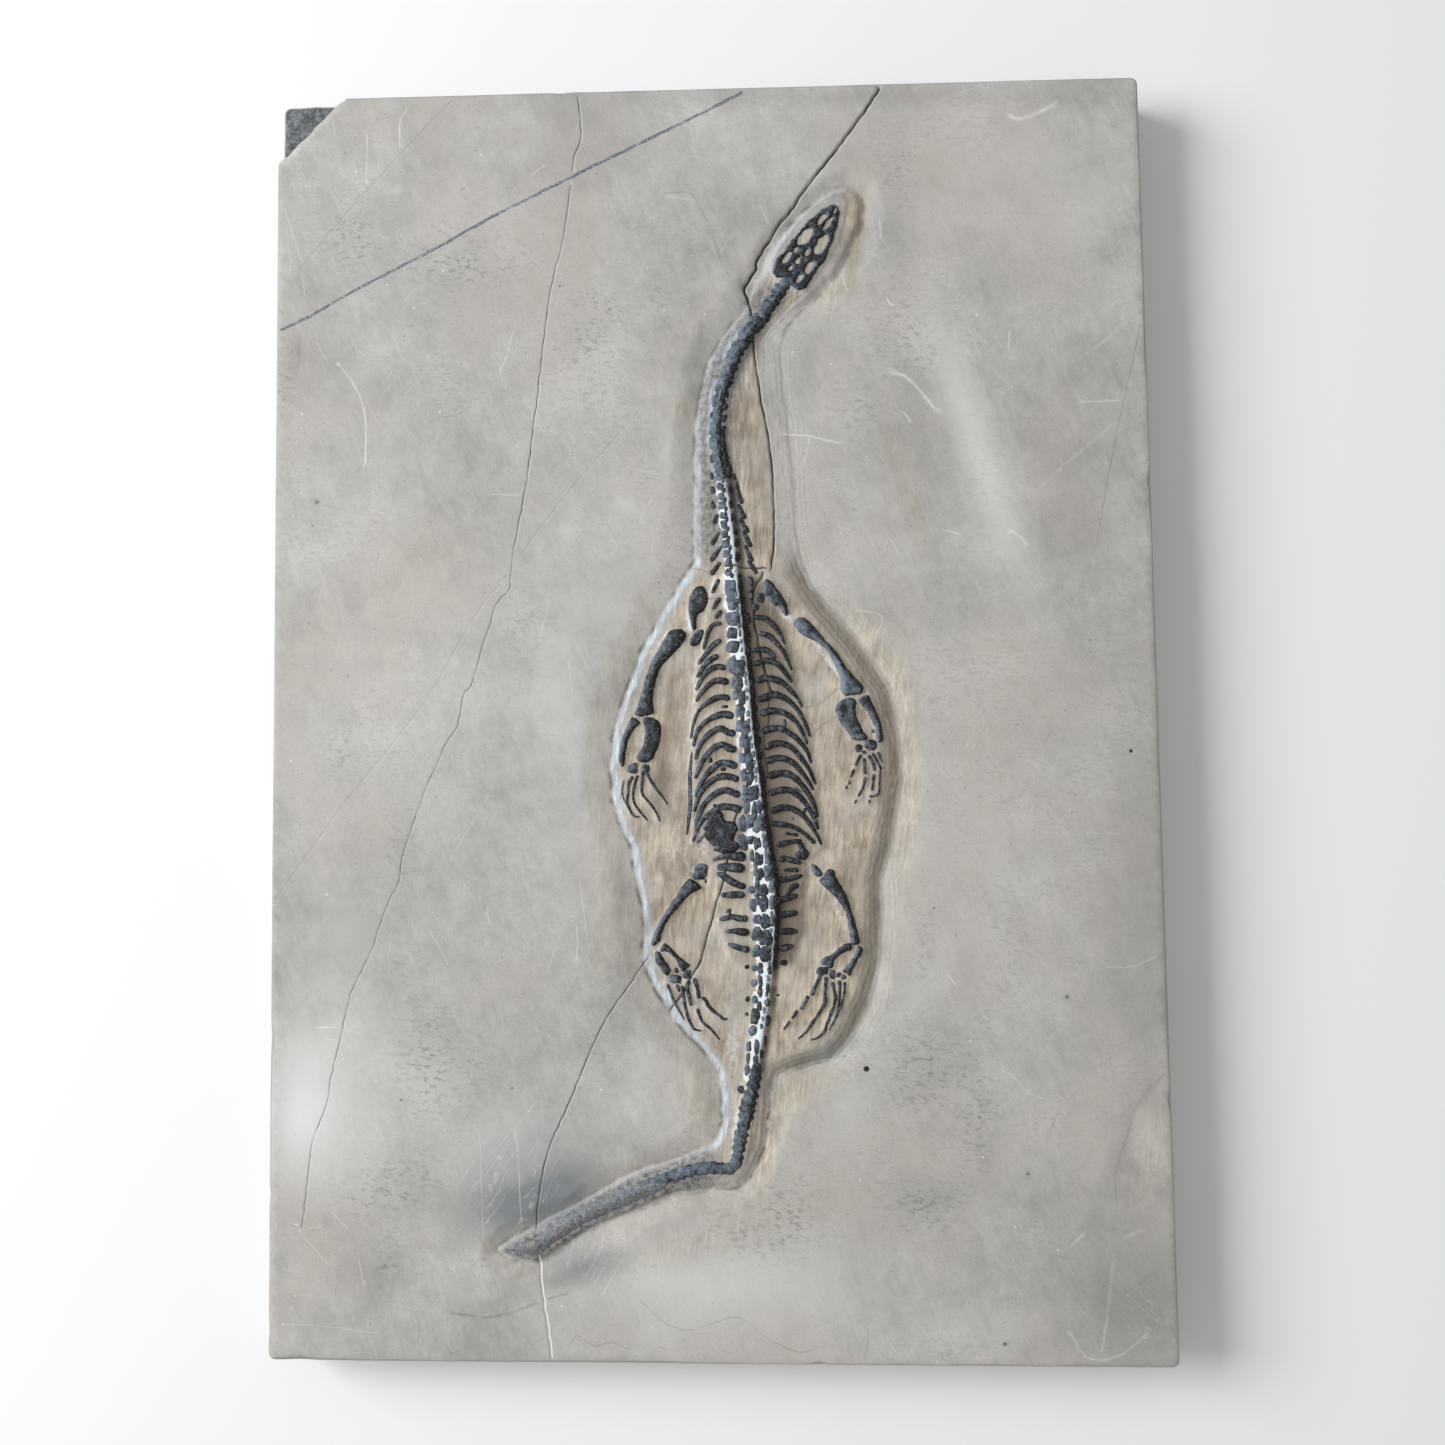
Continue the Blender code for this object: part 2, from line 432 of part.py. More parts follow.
def tube(name, points, collection):
    """A round bar along points of x, y and radius in metres, its axis at z = 0."""
    curve = bpy.data.curves.new(name, "CURVE")
    curve.dimensions = "3D"
    curve.bevel_depth = 1
    curve.bevel_resolution = TUBE_SIDES_RESOLUTION
    curve.use_fill_caps = True
    spline = curve.splines.new("POLY")
    spline.points.add(len(points) - 1)
    for point, (x, y, radius) in zip(spline.points, points):
        point.co = (x, y, 0, 1)
        point.radius = radius
    source = bpy.data.objects.new(name + "_path", curve)
    collection.objects.link(source)
    bm = bmesh.new()
    bm.from_mesh(evaluated_mesh(source))
    bmesh.ops.remove_doubles(bm, verts=bm.verts, dist=1e-6)
    bmesh.ops.recalc_face_normals(bm, faces=bm.faces)
    bpy.data.objects.remove(source)
    return mesh_object(name, bm, collection)


def to_metres(stroke):
    return [(*at(px, py), half_width * PIXEL) for px, py, half_width in stroke]


def underside_block(collection):
    """A block whose top face trims every bone's lower half away."""
    bm = bmesh.new()
    bmesh.ops.create_cube(bm, size=1, matrix=Matrix.Diagonal((*TRIM_BLOCK, 1)))
    bmesh.ops.translate(bm, verts=bm.verts, vec=(0, 0, TRIM_LEVEL - TRIM_BLOCK[2] / 2))
    return mesh_object("underside_cutter", bm, collection)


def settle_bone(obj, rise):
    """Set a half-round bone's height, and lay it on the slab."""
    bm = bmesh.new()
    bm.from_mesh(obj.data)
    bmesh.ops.translate(bm, verts=bm.verts, vec=(0, 0, -TRIM_LEVEL))
    bmesh.ops.scale(bm, verts=bm.verts, vec=(1, 1, rise))
    bm.to_mesh(obj.data)
    bm.free()
    obj.location.z = SLAB_THICKNESS + REST_GAP


def make_bone(name, strokes, rise, parts, cutters, bone):
    """One bone from its strokes, joined where they cross."""
    bars = [tube(name, to_metres(strokes[0]), parts)]
    for k, stroke in enumerate(strokes[1:]):
        bars.append(tube(f"{name}_bar_{k}", to_metres(stroke), cutters))
        bars[-1].location.z = BAR_STEP * (k + 1)
    body = bars[0]
    for bar in bars[1:]:
        add_boolean(body, bar, "UNION")
    add_boolean(body, cutters.objects["underside_cutter"], "DIFFERENCE")
    bake_modifiers(body)
    for bar in bars[1:]:
        bpy.data.objects.remove(bar)
    settle_bone(body, rise)
    body.data.materials.append(bone)
    return body


def along_column(column, distance):
    """A point of the column's centreline and its half width, at a distance from its start."""
    for (x0, y0, w0), (x1, y1, w1) in zip(column, column[1:]):
        length = math.dist((x0, y0), (x1, y1))
        if distance <= length:
            t = distance / length
            return x0 + (x1 - x0) * t, y0 + (y1 - y0) * t, w0 + (w1 - w0) * t
        distance -= length
    return column[-1]


def vertebrae(column, pitch):
    """The column as a row of vertebrae: its half width swells and narrows at each pitch."""
    total = sum(math.dist(a[:2], b[:2]) for a, b in zip(column, column[1:]))
    count = round(total / pitch)
    points = []
    for k in range(2 * count + 1):
        x, y, half_width = along_column(column, total * k / (2 * count))
        points.append((x, y, half_width * (WAIST if k % 2 == 0 else 1)))
    return points


def column_x(y):
    """Where the trunk's centreline crosses a pixel row."""
    for (x0, y0, _), (x1, y1, _) in zip(TRUNK, TRUNK[1:]):
        if y0 <= y <= y1:
            return x0 + (x1 - x0) * (y - y0) / (y1 - y0)
    return TRUNK[0][0]


def rooted(rib):
    """A rib with its head carried in to the backbone's centreline."""
    _, y, half_width = rib[0]
    return ((column_x(y), y, half_width), *rib)


def make_spine(parts, cutters, bone):
    """The neck, the trunk with its ribs, and the tail."""
    processes = [((*root, NECK_PROCESS_HALF_WIDTH), (*tip, NECK_PROCESS_HALF_WIDTH))
                 for root, tip in NECK_PROCESSES]
    make_bone("neck_vertebrae", [vertebrae(NECK, NECK_PITCH), *processes], SPINE_RISE, parts,
              cutters, bone)
    ribs = [rooted(rib) for rib in LEFT_RIBS + RIGHT_RIBS + LEFT_LOWER_RIBS + RIGHT_LOWER_RIBS]
    make_bone("backbone_and_ribs", [vertebrae(TRUNK, TRUNK_PITCH), *ribs, FORKED_RIB], SPINE_RISE,
              parts, cutters, bone)
    make_bone("tail_vertebrae", [vertebrae(TAIL, TAIL_PITCH)], RIB_RISE, parts, cutters, bone)


def make_skull(parts, cutters, bone):
    """The flat pointed skull with pits for its eyes, nostrils and temples."""
    skull = make_bone("skull", SKULL, SKULL_RISE, parts, cutters, bone)
    top = max(vertex.co.z for vertex in skull.data.vertices)
    for k, (px, py, half_width, half_length) in enumerate(SKULL_PITS):
        bm = bmesh.new()
        bmesh.ops.create_uvsphere(bm, u_segments=8, v_segments=6, radius=1)
        pit = mesh_object(f"skull_pit_{k}", bm, cutters)
        pit.location = (*at(px, py), SLAB_THICKNESS + REST_GAP + top)
        pit.rotation_euler.z = SKULL_LEAN
        pit.scale = (half_width * PIXEL, half_length * PIXEL, SKULL_PIT_DEPTH)
        add_boolean(skull, pit, "DIFFERENCE")


def make_belly(parts, bone):
    """The dark mass inside the ribs on the left, a low flat lump."""
    low = SLAB_THICKNESS + REST_GAP
    belly = sloped_block("belly_mass", pixels_outline(BELLY_MASS), low, low + BELLY_HEIGHT,
                         PIXEL, parts)
    belly.data.materials.append(bone)


def main():
    clear_scene()
    parts = new_collection("keichousaurus_fossil")
    cutters = new_collection("cutters")
    stone = make_material("stone", STONE_COLOUR, 0.6)
    bone = make_material("bone", BONE_COLOUR, 0.45)
    underside_block(cutters)
    make_slab(parts, cutters, stone)
    make_skull(parts, cutters, bone)
    make_spine(parts, cutters, bone)
    make_belly(parts, bone)
    for name, strokes in LIMB_BONES.items():
        make_bone(name, strokes, LIMB_RISE, parts, cutters, bone)
    for cutter in cutters.objects:
        cutter.hide_render = True
        cutter.display_type = "WIRE"


main()
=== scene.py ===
"""The looks of the reptile fossil: its carved stone, its bones and their finish.

Places on the fossil are pixels of the reference photograph's 1445 x 1445 frame. at() turns them
into metres on the slab's face, as in the CAD. Heights are in millimetres above the slab's face.
"""
import math

import bpy
import numpy as np
from mathutils import Euler, Matrix, Vector
from mathutils.geometry import delaunay_2d_cdt


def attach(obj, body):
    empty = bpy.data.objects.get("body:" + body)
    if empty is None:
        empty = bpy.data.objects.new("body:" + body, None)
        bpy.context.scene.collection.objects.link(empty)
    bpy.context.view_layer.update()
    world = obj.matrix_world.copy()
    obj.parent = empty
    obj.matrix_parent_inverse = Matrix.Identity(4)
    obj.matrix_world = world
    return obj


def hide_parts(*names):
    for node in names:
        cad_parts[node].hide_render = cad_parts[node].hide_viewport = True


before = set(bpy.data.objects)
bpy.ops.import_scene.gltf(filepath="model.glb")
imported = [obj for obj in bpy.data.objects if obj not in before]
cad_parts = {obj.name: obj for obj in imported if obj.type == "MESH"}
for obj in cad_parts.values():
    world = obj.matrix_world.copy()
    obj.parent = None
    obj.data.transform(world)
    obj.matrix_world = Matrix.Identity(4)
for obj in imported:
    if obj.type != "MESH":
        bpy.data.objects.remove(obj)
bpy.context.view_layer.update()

# The slab, in metres, and its corners in the photograph
SLAB_CORNERS = ((-0.10034, 0.14490), (0.09956, 0.14408), (0.10035, -0.14490), (-0.09980, -0.14386))
PHOTO_CORNERS = ((278.5, 99.8), (1137.0, 77.0), (1180.0, 1368.0), (268.0, 1360.0))
SLAB_TOP = 0.015
CORNER_RADIUS = 0.0016
CHIP_BREAK = ((345, 98), (278, 165))
CHIP_STEP = 2.5

# The camera, in metres and degrees
CAMERA_PLACE = (0.01813, -0.03008, 0.376)
CAMERA_TILT = (4.2, 2.5, -0.6)
CAMERA_LENS = 40.0
SENSOR_WIDTH = 36.0

# Heights, in millimetres
MM = 0.001
DISH_DEPTH = 1.15
CHIP_DEPTH = 4.2
CAGE_HEIGHT = 0.4
CAGE_DOME = 0.75
PEDESTAL_HEIGHT = 0.22
SINK = 0.25

# The scraped hollow round the animal, as pixels
DISH = (
    (846, 168), (876, 180), (884, 205), (880, 240), (862, 275), (838, 305), (812, 335), (800, 365),
    (800, 400), (806, 440), (810, 490), (816, 530), (832, 575), (858, 600), (885, 640), (905, 680),
    (920, 740), (924, 800), (915, 850), (902, 890), (904, 930), (897, 985), (880, 1025), (850, 1075),
    (812, 1095), (792, 1120), (785, 1160), (768, 1195), (740, 1210), (690, 1214), (640, 1234),
    (590, 1262), (545, 1282), (505, 1280), (478, 1262), (480, 1240), (510, 1222), (560, 1196),
    (620, 1162), (680, 1138), (698, 1115), (690, 1075), (662, 1052), (632, 1015), (616, 975),
    (618, 925), (606, 875), (590, 835), (582, 790), (582, 740), (592, 690), (612, 640), (636, 595),
    (662, 560), (668, 520), (668, 470), (670, 425), (676, 385), (686, 350), (704, 320), (724, 296),
    (738, 268), (758, 236), (786, 208), (815, 183))

# The raised stone that carries the animal, as pixels
PLATEAU = (
    (846, 188), (856, 192), (860, 205), (858, 225), (850, 243), (842, 258), (832, 272), (822, 285),
    (808, 298), (792, 312), (778, 328), (768, 345), (766, 365), (768, 390), (773, 420), (776, 450),
    (778, 480), (780, 510), (783, 540), (790, 572), (800, 592), (830, 628), (850, 652), (866, 675),
    (877, 695), (887, 740), (889, 780), (881, 830), (868, 880), (869, 920), (866, 960), (858, 1000),
    (842, 1030), (825, 1050), (790, 1062), (772, 1068), (768, 1083), (766, 1100), (764, 1124),
    (761, 1144), (755, 1160), (746, 1176), (736, 1184), (718, 1186), (690, 1190), (675, 1192),
    (650, 1202), (623, 1214), (600, 1223), (583, 1232), (572, 1240), (552, 1252), (535, 1262),
    (510, 1256), (500, 1250), (512, 1243), (530, 1233), (545, 1223), (575, 1208), (600, 1194),
    (627, 1180), (642, 1173), (675, 1163), (703, 1151), (714, 1148), (723, 1134), (727, 1120),
    (726, 1095), (721, 1073), (704, 1046), (679, 1021), (659, 990), (645, 955), (647, 920),
    (640, 880), (632, 842), (622, 820), (615, 800), (613, 770), (615, 740), (622, 712), (634, 680),
    (643, 655), (658, 624), (676, 597), (697, 562), (697, 500), (698, 440), (700, 410), (705, 385),
    (712, 362), (722, 342), (734, 327), (745, 314), (752, 300), (758, 285), (764, 270), (770, 255),
    (782, 238), (797, 222), (815, 205), (832, 193))

# The swell of the ribcage, as pixels
CAGE = (
    (712, 585), (704, 612), (700, 650), (694, 700), (690, 750), (689, 800), (690, 840), (700, 862),
    (712, 885), (716, 930), (728, 958), (758, 966), (790, 962), (804, 930), (804, 890), (812, 862),
    (823, 848), (820, 815), (813, 770), (806, 725), (796, 680), (786, 640), (776, 610), (764, 585),
    (748, 575), (726, 575))

# The crest of the spine: pixel x and y, height in mm, and the width of its left and right slopes
# in pixels
CREST = (
    (784, 282, 0.3, 8, 8), (766, 308, 0.6, 9, 9), (752, 330, 0.75, 10, 10), (738, 352, 0.8, 10, 10),
    (728, 378, 0.85, 10, 10), (722, 400, 0.9, 10, 10), (719, 425, 0.9, 11, 10),
    (720, 450, 1.0, 12, 9), (724, 475, 1.05, 13, 9), (728, 500, 1.1, 14, 8), (732, 530, 1.15, 15, 8),
    (735, 555, 1.2, 16, 8), (736, 575, 1.25, 17, 8), (738, 595, 1.3, 18, 8), (741, 620, 1.35, 18, 8),
    (744, 650, 1.4, 18, 8), (748, 680, 1.4, 18, 8), (750, 710, 1.4, 18, 8), (753, 740, 1.4, 18, 8),
    (758, 775, 1.4, 19, 8), (762, 810, 1.4, 20, 8), (767, 845, 1.4, 22, 8), (773, 878, 1.4, 24, 8),
    (774, 905, 1.4, 24, 8), (773, 940, 1.35, 22, 8), (771, 970, 1.2, 20, 8), (768, 1000, 1.0, 18, 9),
    (763, 1030, 0.9, 16, 9), (758, 1062, 0.85, 15, 10), (755, 1090, 0.85, 14, 12),
    (749, 1120, 0.85, 13, 13), (744, 1150, 0.8, 13, 13), (738, 1168, 0.75, 12, 12),
    (722, 1171, 0.7, 11, 12), (700, 1170, 0.7, 11, 12), (670, 1178, 0.65, 10, 12),
    (640, 1189, 0.6, 10, 12), (600, 1207, 0.6, 10, 11), (570, 1222, 0.55, 10, 10),
    (545, 1240, 0.5, 9, 9), (530, 1247, 0.4, 8, 8), (505, 1250, 0.1, 5, 5))

# Cracks: half width in pixels, depth in mm, darkness and pale edge from 0 to 1, and the line
CRACKS = (
    (1.9, 0.9, 1.0, 0.0, ((884, 80), (868, 106), (837, 148), (812, 180), (803, 192), (797, 200),
                          (790, 211), (780, 222), (774, 231), (769, 240), (762, 250), (756, 261),
                          (756, 268), (750, 277), (744, 290), (748, 300), (751, 315))),
    (1.5, 0.6, 1.0, 0.0, ((766, 321), (755, 331), (753, 337), (754, 350), (755, 360), (757, 375),
                          (759, 387), (761, 400), (764, 415), (767, 430), (770, 450), (772, 470),
                          (773, 490), (774, 510), (774, 530), (773, 550), (771, 568))),
    (1.5, 0.5, 1.0, 0.0, ((734, 566), (745, 568), (762, 568), (771, 568))),
    (0.9, 0.2, 0.6, 0.0, ((697, 569), (708, 572))),
    (0.9, 0.2, 0.6, 0.0, ((690, 598), (699, 598.5), (711, 599), (722, 599))),
    (2.0, 0.6, 1.0, 0.0, ((764, 569), (761, 578), (757, 583), (753, 592), (752, 598), (754, 608),
                          (754, 622), (757, 635), (759, 648), (763, 664), (767, 678), (770, 690))),
    (1.0, 0.3, 0.8, 0.0, ((770, 690), (769, 705), (769, 720), (766, 732), (764, 738), (765, 755),
                          (768, 768), (766, 785))),
    (1.6, 0.5, 1.0, 0.0, ((743, 806), (737, 815), (735, 822), (733, 840), (729, 855), (724, 880),
                          (715, 908), (712, 920), (706, 941), (701, 961), (692, 975), (683, 993),
                          (671, 1009))),
    (0.9, 0.16, 1.0, 0.1, ((647, 959), (627, 988), (606, 1019), (586, 1061), (571, 1098),
                           (552.5, 1140), (545, 1162), (539, 1195), (536.7, 1212), (536, 1230))),
    (1.4, 0.15, 0.35, 1.0, ((538, 1260), (540, 1272), (542, 1294), (546, 1320), (550, 1348),
                            (551, 1361))),
    (1.0, 0.06, 0.85, 0.3, ((577, 92), (581, 136), (574, 156), (570, 189), (563, 239), (552, 283),
                            (545, 329), (537, 400), (533, 428), (528, 471), (520, 517), (515, 543))),
    (0.9, 0.06, 0.72, 0.12, ((515, 543), (510, 576), (509, 589), (496, 604), (490, 624), (481, 650),
                            (471, 686), (464, 693), (457, 726), (444, 747), (434, 772), (429, 780),
                            (404, 850), (399, 880), (386, 907), (372, 949), (352, 991),
                            (342, 1031), (332, 1073), (326, 1105), (312, 1145), (308, 1175),
                            (302, 1227))),
    (0.7, 0.02, 0.32, 0.0, ((453, 99), (402, 152), (352, 207), (301, 267))),
    (0.7, 0.02, 0.34, 0.1, ((640, 410), (564, 497), (515, 563), (474, 617), (423, 704), (347, 800),
                            (302, 862), (272, 904))),
    (0.7, 0.0, 0.16, 0.0, ((610, 497), (569, 550), (538, 584), (528, 601), (523, 660), (509, 752))),
    (0.7, 0.0, 0.16, 0.0, ((581, 136), (590, 240), (600, 370), (606, 440), (610, 497))),
    (0.8, 0.02, 0.42, 0.0, ((1142, 318), (1132, 366), (1124, 400), (1112, 460), (1104, 500),
                            (1096, 548))),
    (0.7, 0.0, 0.17, 0.0, ((942, 212), (1000, 213), (1050, 214), (1108, 220))),
    (0.7, 0.0, 0.14, 0.0, ((1074, 120), (1077, 200), (1074, 280), (1068, 380), (1062, 500))),
    (0.7, 0.0, 0.2, 0.0, ((1142, 238), (1104, 268), (1074, 288), (1040, 318))),
    (0.7, 0.0, 0.16, 0.0, ((902, 272), (890, 330), (880, 370))),
    (0.8, 0.0, 0.35, 0.0, ((666, 193), (689, 193), (701, 209.5), (713, 235), (721, 263), (733, 282))),
    (0.7, 0.0, 0.25, 0.0, ((1121, 1297), (1148, 1277), (1175, 1258))),
    (1.3, 0.0, 0.25, 0.0, ((1058.5, 1112), (1055, 1118), (1051, 1130))),
    (2.6, 0.0, 0.2, 0.0, ((1169, 1070), (1142, 1097), (1127, 1136), (1116, 1173), (1117, 1204))),
    (2.6, 0.0, 0.3, 0.0, ((452, 1313), (487, 1317.5), (512, 1312), (537, 1303), (568, 1292.5))),
    (0.8, 0.0, 0.3, 0.0, ((524, 1358), (534, 1344), (543, 1339), (549, 1344), (552, 1352))),
    (0.9, 0.0, 0.3, 0.0, ((568, 1352), (577, 1336), (593, 1345.6), (612, 1342.5), (627, 1349))),
    (0.9, 0.0, 0.34, 0.0, ((640, 1300), (664, 1322), (690, 1330), (716, 1322), (740, 1318),
                          (770, 1340), (800, 1352), (825, 1345))),
    (0.9, 0.0, 0.34, 0.0, ((860, 1321), (868, 1332), (866, 1350), (864, 1362))),
    (0.8, 0.0, 0.3, 0.0, ((934, 1362), (943, 1351.5), (941, 1362))),
    (2.0, 0.0, 0.3, 0.0, ((802, 707), (812, 706), (824, 701), (835, 690), (843, 688))),
    (2.0, 0.0, 0.32, 0.0, ((811, 737), (816, 731), (822, 725), (829, 722), (835, 718))))
VEIN = ((275, 333), (308, 317), (352, 292), (398, 268), (444, 244), (490, 218), (536, 195),
        (571, 177), (620, 153), (690, 119), (757, 85))
VEIN_HALF_WIDTH = 2.6

# The mesh: the distance between points, in pixels or in metres
FINE_STEP = 1.9
INNER_STEP = 2.8
OUTER_STEP = 7.5
OUTLINE_STEP = 0.0009
BACK_STEP = 0.003
WALL_ROWS = 6
STROKE_SIDES = 9
EDGE_CLEARANCE = 2.2
EDGE_BAND = 16
ARRIS = 0.0003
ARRIS_RUN = 1.4
BOTTOM_ARRIS = 0.0005
ARRIS_SHARES = (0.35, 1.0)
WALL_RELIEF = 0.00005
BACK_RELIEF = 0.00012
BACK_REACH = (0.099, 0.144)
BACK_RELIEF_REACH = (0.098, 0.142)
BACK_RELIEF_RUN = 0.004
# Rows of a triangular grid lie this share of its spacing apart
ROW_SHARE = 0.866
# The pixels that the scattered points may cover
SCATTER_ROWS = (60, 1390)
SCATTER_COLS = (255, 1195)
# A crack's outermost, flat rows lie this many pixels beyond its edge
FLAT_BAND = 1.4
DOT_SIDES = 7
LUMP_SIDES = 14
HOLE_SIDES = 18
# Chips along the slab's edge: the place in pixels, the reach and the depth in metres
EDGE_CHIPS = (
    ((267, 1195), 0.0016, 0.0008), ((268, 1038), 0.003, 0.0005), ((270, 1330), 0.002, 0.0005),
    ((560, 91), 0.0015, 0.0005), ((1150, 480), 0.0015, 0.0004), ((1175, 1100), 0.002, 0.0005),
    ((820, 1364), 0.0015, 0.0005), ((300, 1361), 0.003, 0.0005))

# Light: directions in degrees, sizes in metres, power in watts
KEY_DIRECTION = (166.0, 36.0)
KEY_DISTANCE = 1.3
KEY_SIZE = 0.75
KEY_POWER = 17.5
KEY_COLOUR = (0.94, 0.97, 1.0)
FILL_COLOUR = (1.0, 0.985, 0.96)
FILL_STRENGTH = 0.42

# Colours
FLOOR_COLOUR = (0.93, 0.93, 0.93)
FLOOR_GAP = 0.0001
FLOOR_SIZE = 4
FLOOR_ROUGHNESS = 0.9
SPECULAR = 0.4
STONE_DARK = (0.375, 0.36, 0.335)
STONE_PALE = (0.595, 0.575, 0.54)
STONE_WARM = (0.55, 0.50, 0.445)
STONE_LIGHT = (0.80, 0.80, 0.78)
STONE_SHADE = (0.2, 0.2, 0.195)
STONE_SPECK = (0.2, 0.205, 0.21)
STONE_FLECK = (0.74, 0.73, 0.70)
WARM_DARK = (0.28, 0.22, 0.155)
WARM_PALE = (0.66, 0.57, 0.45)
# Deep brown for painted shade, and for some brown earth
WARM_DEEP = (0.115, 0.088, 0.06)
LAYER_DARK = (0.12, 0.10, 0.085)
PALE = (0.78, 0.79, 0.78)
# Streaky pale blue for painted light on slopes that face the light
PAINTED_LIGHT_BRIGHT = (0.62, 0.73, 0.82)
PAINTED_LIGHT_DIM = (0.27, 0.32, 0.37)
ASH_DARK = (0.085, 0.085, 0.085)
ASH_PALE = (0.34, 0.34, 0.33)
BLUE_GREY = (0.18, 0.203, 0.22)
# Near-black brown for the dark mark: painted shade, and some residue
SHADE_AND_RESIDUE = (0.055, 0.048, 0.042)
CHIP_DARK = (0.075, 0.08, 0.085)
CHIP_PALE = (0.24, 0.25, 0.255)
VEIN_DARK = (0.125, 0.15, 0.18)
VEIN_WHITE = (0.6, 0.62, 0.62)
SCRATCH = (0.86, 0.85, 0.80)
CRACK = (0.012, 0.012, 0.012)
BONE_DARK = (0.006, 0.008, 0.011)
BONE_PALE = (0.21, 0.27, 0.35)
BONE_FLECK = (0.36, 0.39, 0.42)
BONE_STONY_DARK = (0.085, 0.085, 0.087)
BONE_STONY_PALE = (0.31, 0.305, 0.295)
RIB_FULLNESS = 1.22

# Where parts of the animal begin or end, and over how many pixels: rows, and a column for the bend
NECK_END = (540, 40)
HIGH_NECK_END = (400, 90)
TRUNK_START = (430, 90)
TRUNK_END = (1075, 50)
TAIL_START = (1130, 30)
TAIL_BEND = (695, 40)
# A distance for pixels that lie far away from everything
FAR = 99.0

# The skull: the edge of its grey margin, the outline of its dark bones, and their openings as centre,
# half length, half width and lean in degrees from upright
SKULL_OUTLINE = (
    (841.5, 194.5), (847.5, 200.5), (846.5, 211), (843, 227), (838, 243.5), (830, 258), (821.5, 270),
    (813.5, 281), (805.5, 290.5), (797, 288.5), (789, 280.5), (779, 277.5), (774, 268), (776.5, 258),
    (783, 246), (791, 234), (800, 222), (812, 209.5), (825, 199.5), (834, 195.5))
SKULL_BONES = (
    (826.6, 206.5), (834, 204.5), (839, 209), (839, 218), (835.8, 230.5), (831.5, 245), (826, 257.6),
    (818.5, 268.5), (811.5, 279.3), (806.7, 287.5), (798, 290), (790.5, 284.5), (785, 279.5),
    (777.5, 277.5), (773, 271.5), (774, 265), (778.5, 257.5), (785, 249.5), (793.5, 238.6),
    (803.8, 226.8), (814.7, 215))
SKULL_HOLES = (
    (821.6, 220, 7.5, 2.4, 40), (828, 223.8, 8, 2.2, 38), (805.2, 237, 10.4, 5.5, 41),
    (821, 245.2, 11, 4.6, 31), (807, 253.2, 4.2, 2.2, 20), (787, 258.2, 7, 2.7, 41),
    (810, 268, 6.8, 3.4, 33), (790.6, 268.6, 3.4, 1.8, 25), (798, 261, 4.4, 1.9, 38),
    (799.2, 279.4, 4.8, 1.9, 38), (795.8, 250.2, 2.8, 1.4, 40), (834.2, 211.6, 3.2, 1.4, 20))

# Soft spots of colour: the centre, the reach across and down, the amount, and the lean in degrees
WARM_SPOTS = (
    ((672, 905), (26, 34), 0.3, 25), ((842, 905), (22, 38), 0.3, -15), ((905, 760), (14, 120), 0.5, 0),
    ((876, 650), (14, 44), 0.5, -35), ((800, 1085), (22, 34), 0.5, 30), ((700, 1240), (110, 16), 0.35, -18),
    ((856, 225), (9, 44), 0.9, 6), ((836, 290), (12, 30), 0.5, 50), ((600, 930), (16, 70), 0.25, 0),
    ((690, 1095), (18, 40), 0.35, -30), ((1150, 1150), (16, 50), 0.4, 14), ((905, 480), (9, 80), 0.3, -18),
    ((768, 1150), (7, 40), 0.7, 14), ((776, 440), (12, 110), -0.7, -3), ((420, 640), (120, 150), 0.08, 0),
    ((300, 350), (20, 30), 0.15, 0), ((680, 407), (7, 7), 0.8, 0), ((690, 330), (24, 60), 0.15, 30),
    ((828, 1055), (46, 10), -0.5, -20), ((822, 690), (18, 40), -0.25, 0), ((740, 1010), (18, 46), -0.4, 0))
# Pale spots: those on the left and upper edges of bones, such as the tail's upper edge, are painted light;
# the rest is pale stone
PALE_SPOTS = (
    ((738, 1010), (16, 46), 0.12, 0), ((690, 622), (5, 12), 0.7, 15), ((655, 645), (4, 20), 0.3, 40),
    ((704, 850), (7, 8), 0.5, 0), ((690, 869), (6, 10), 0.4, 0), ((838, 912), (3, 26), 0.5, -22),
    ((829, 662), (2.6, 26), 0.6, -38), ((733, 1050), (9, 24), 0.3, 0), ((670, 845), (12, 30), 0.25, 0),
    ((650, 940), (8, 16), 0.25, 0), ((787, 617), (4, 6), 0.8, -40), ((755, 1075), (6, 18), 0.2, 0),
    ((822, 195), (24, 6), 0.3, -38), ((835, 800), (20, 40), 0.12, 0), ((735, 1128), (4, 26), 0.6, 8),
    ((604, 1201), (40, 1.6), 0.5, -22), ((756, 275), (5, 9), 0.4, 30))
# Dark spots: those along the tail's lower edges are painted shade, the rest residue
DARK_SPOTS = (
    ((798, 962), (8, 12), 0.35, 0), ((799, 924), (4, 5), 0.3, 0), ((650, 700), (4, 26), 0.18, 25),
    ((648, 925), (3, 16), 0.35, 5), ((724, 1030), (10, 9), 0.14, 0), ((692, 863), (4, 5), 0.3, 0),
    ((812, 870), (8, 6), 0.2, 0), ((752, 600), (7, 26), 0.45, 0), ((744, 530), (6, 40), 0.2, -12),
    ((738, 400), (3, 40), 0.25, 8), ((755, 300), (5, 14), 0.4, 30), ((742, 285), (5, 6), 0.35, 0),
    ((763, 330), (4, 30), 0.2, 30), ((700, 1168), (30, 3), 0.3, -14), ((515, 1262), (18, 3), 0.25, -20))
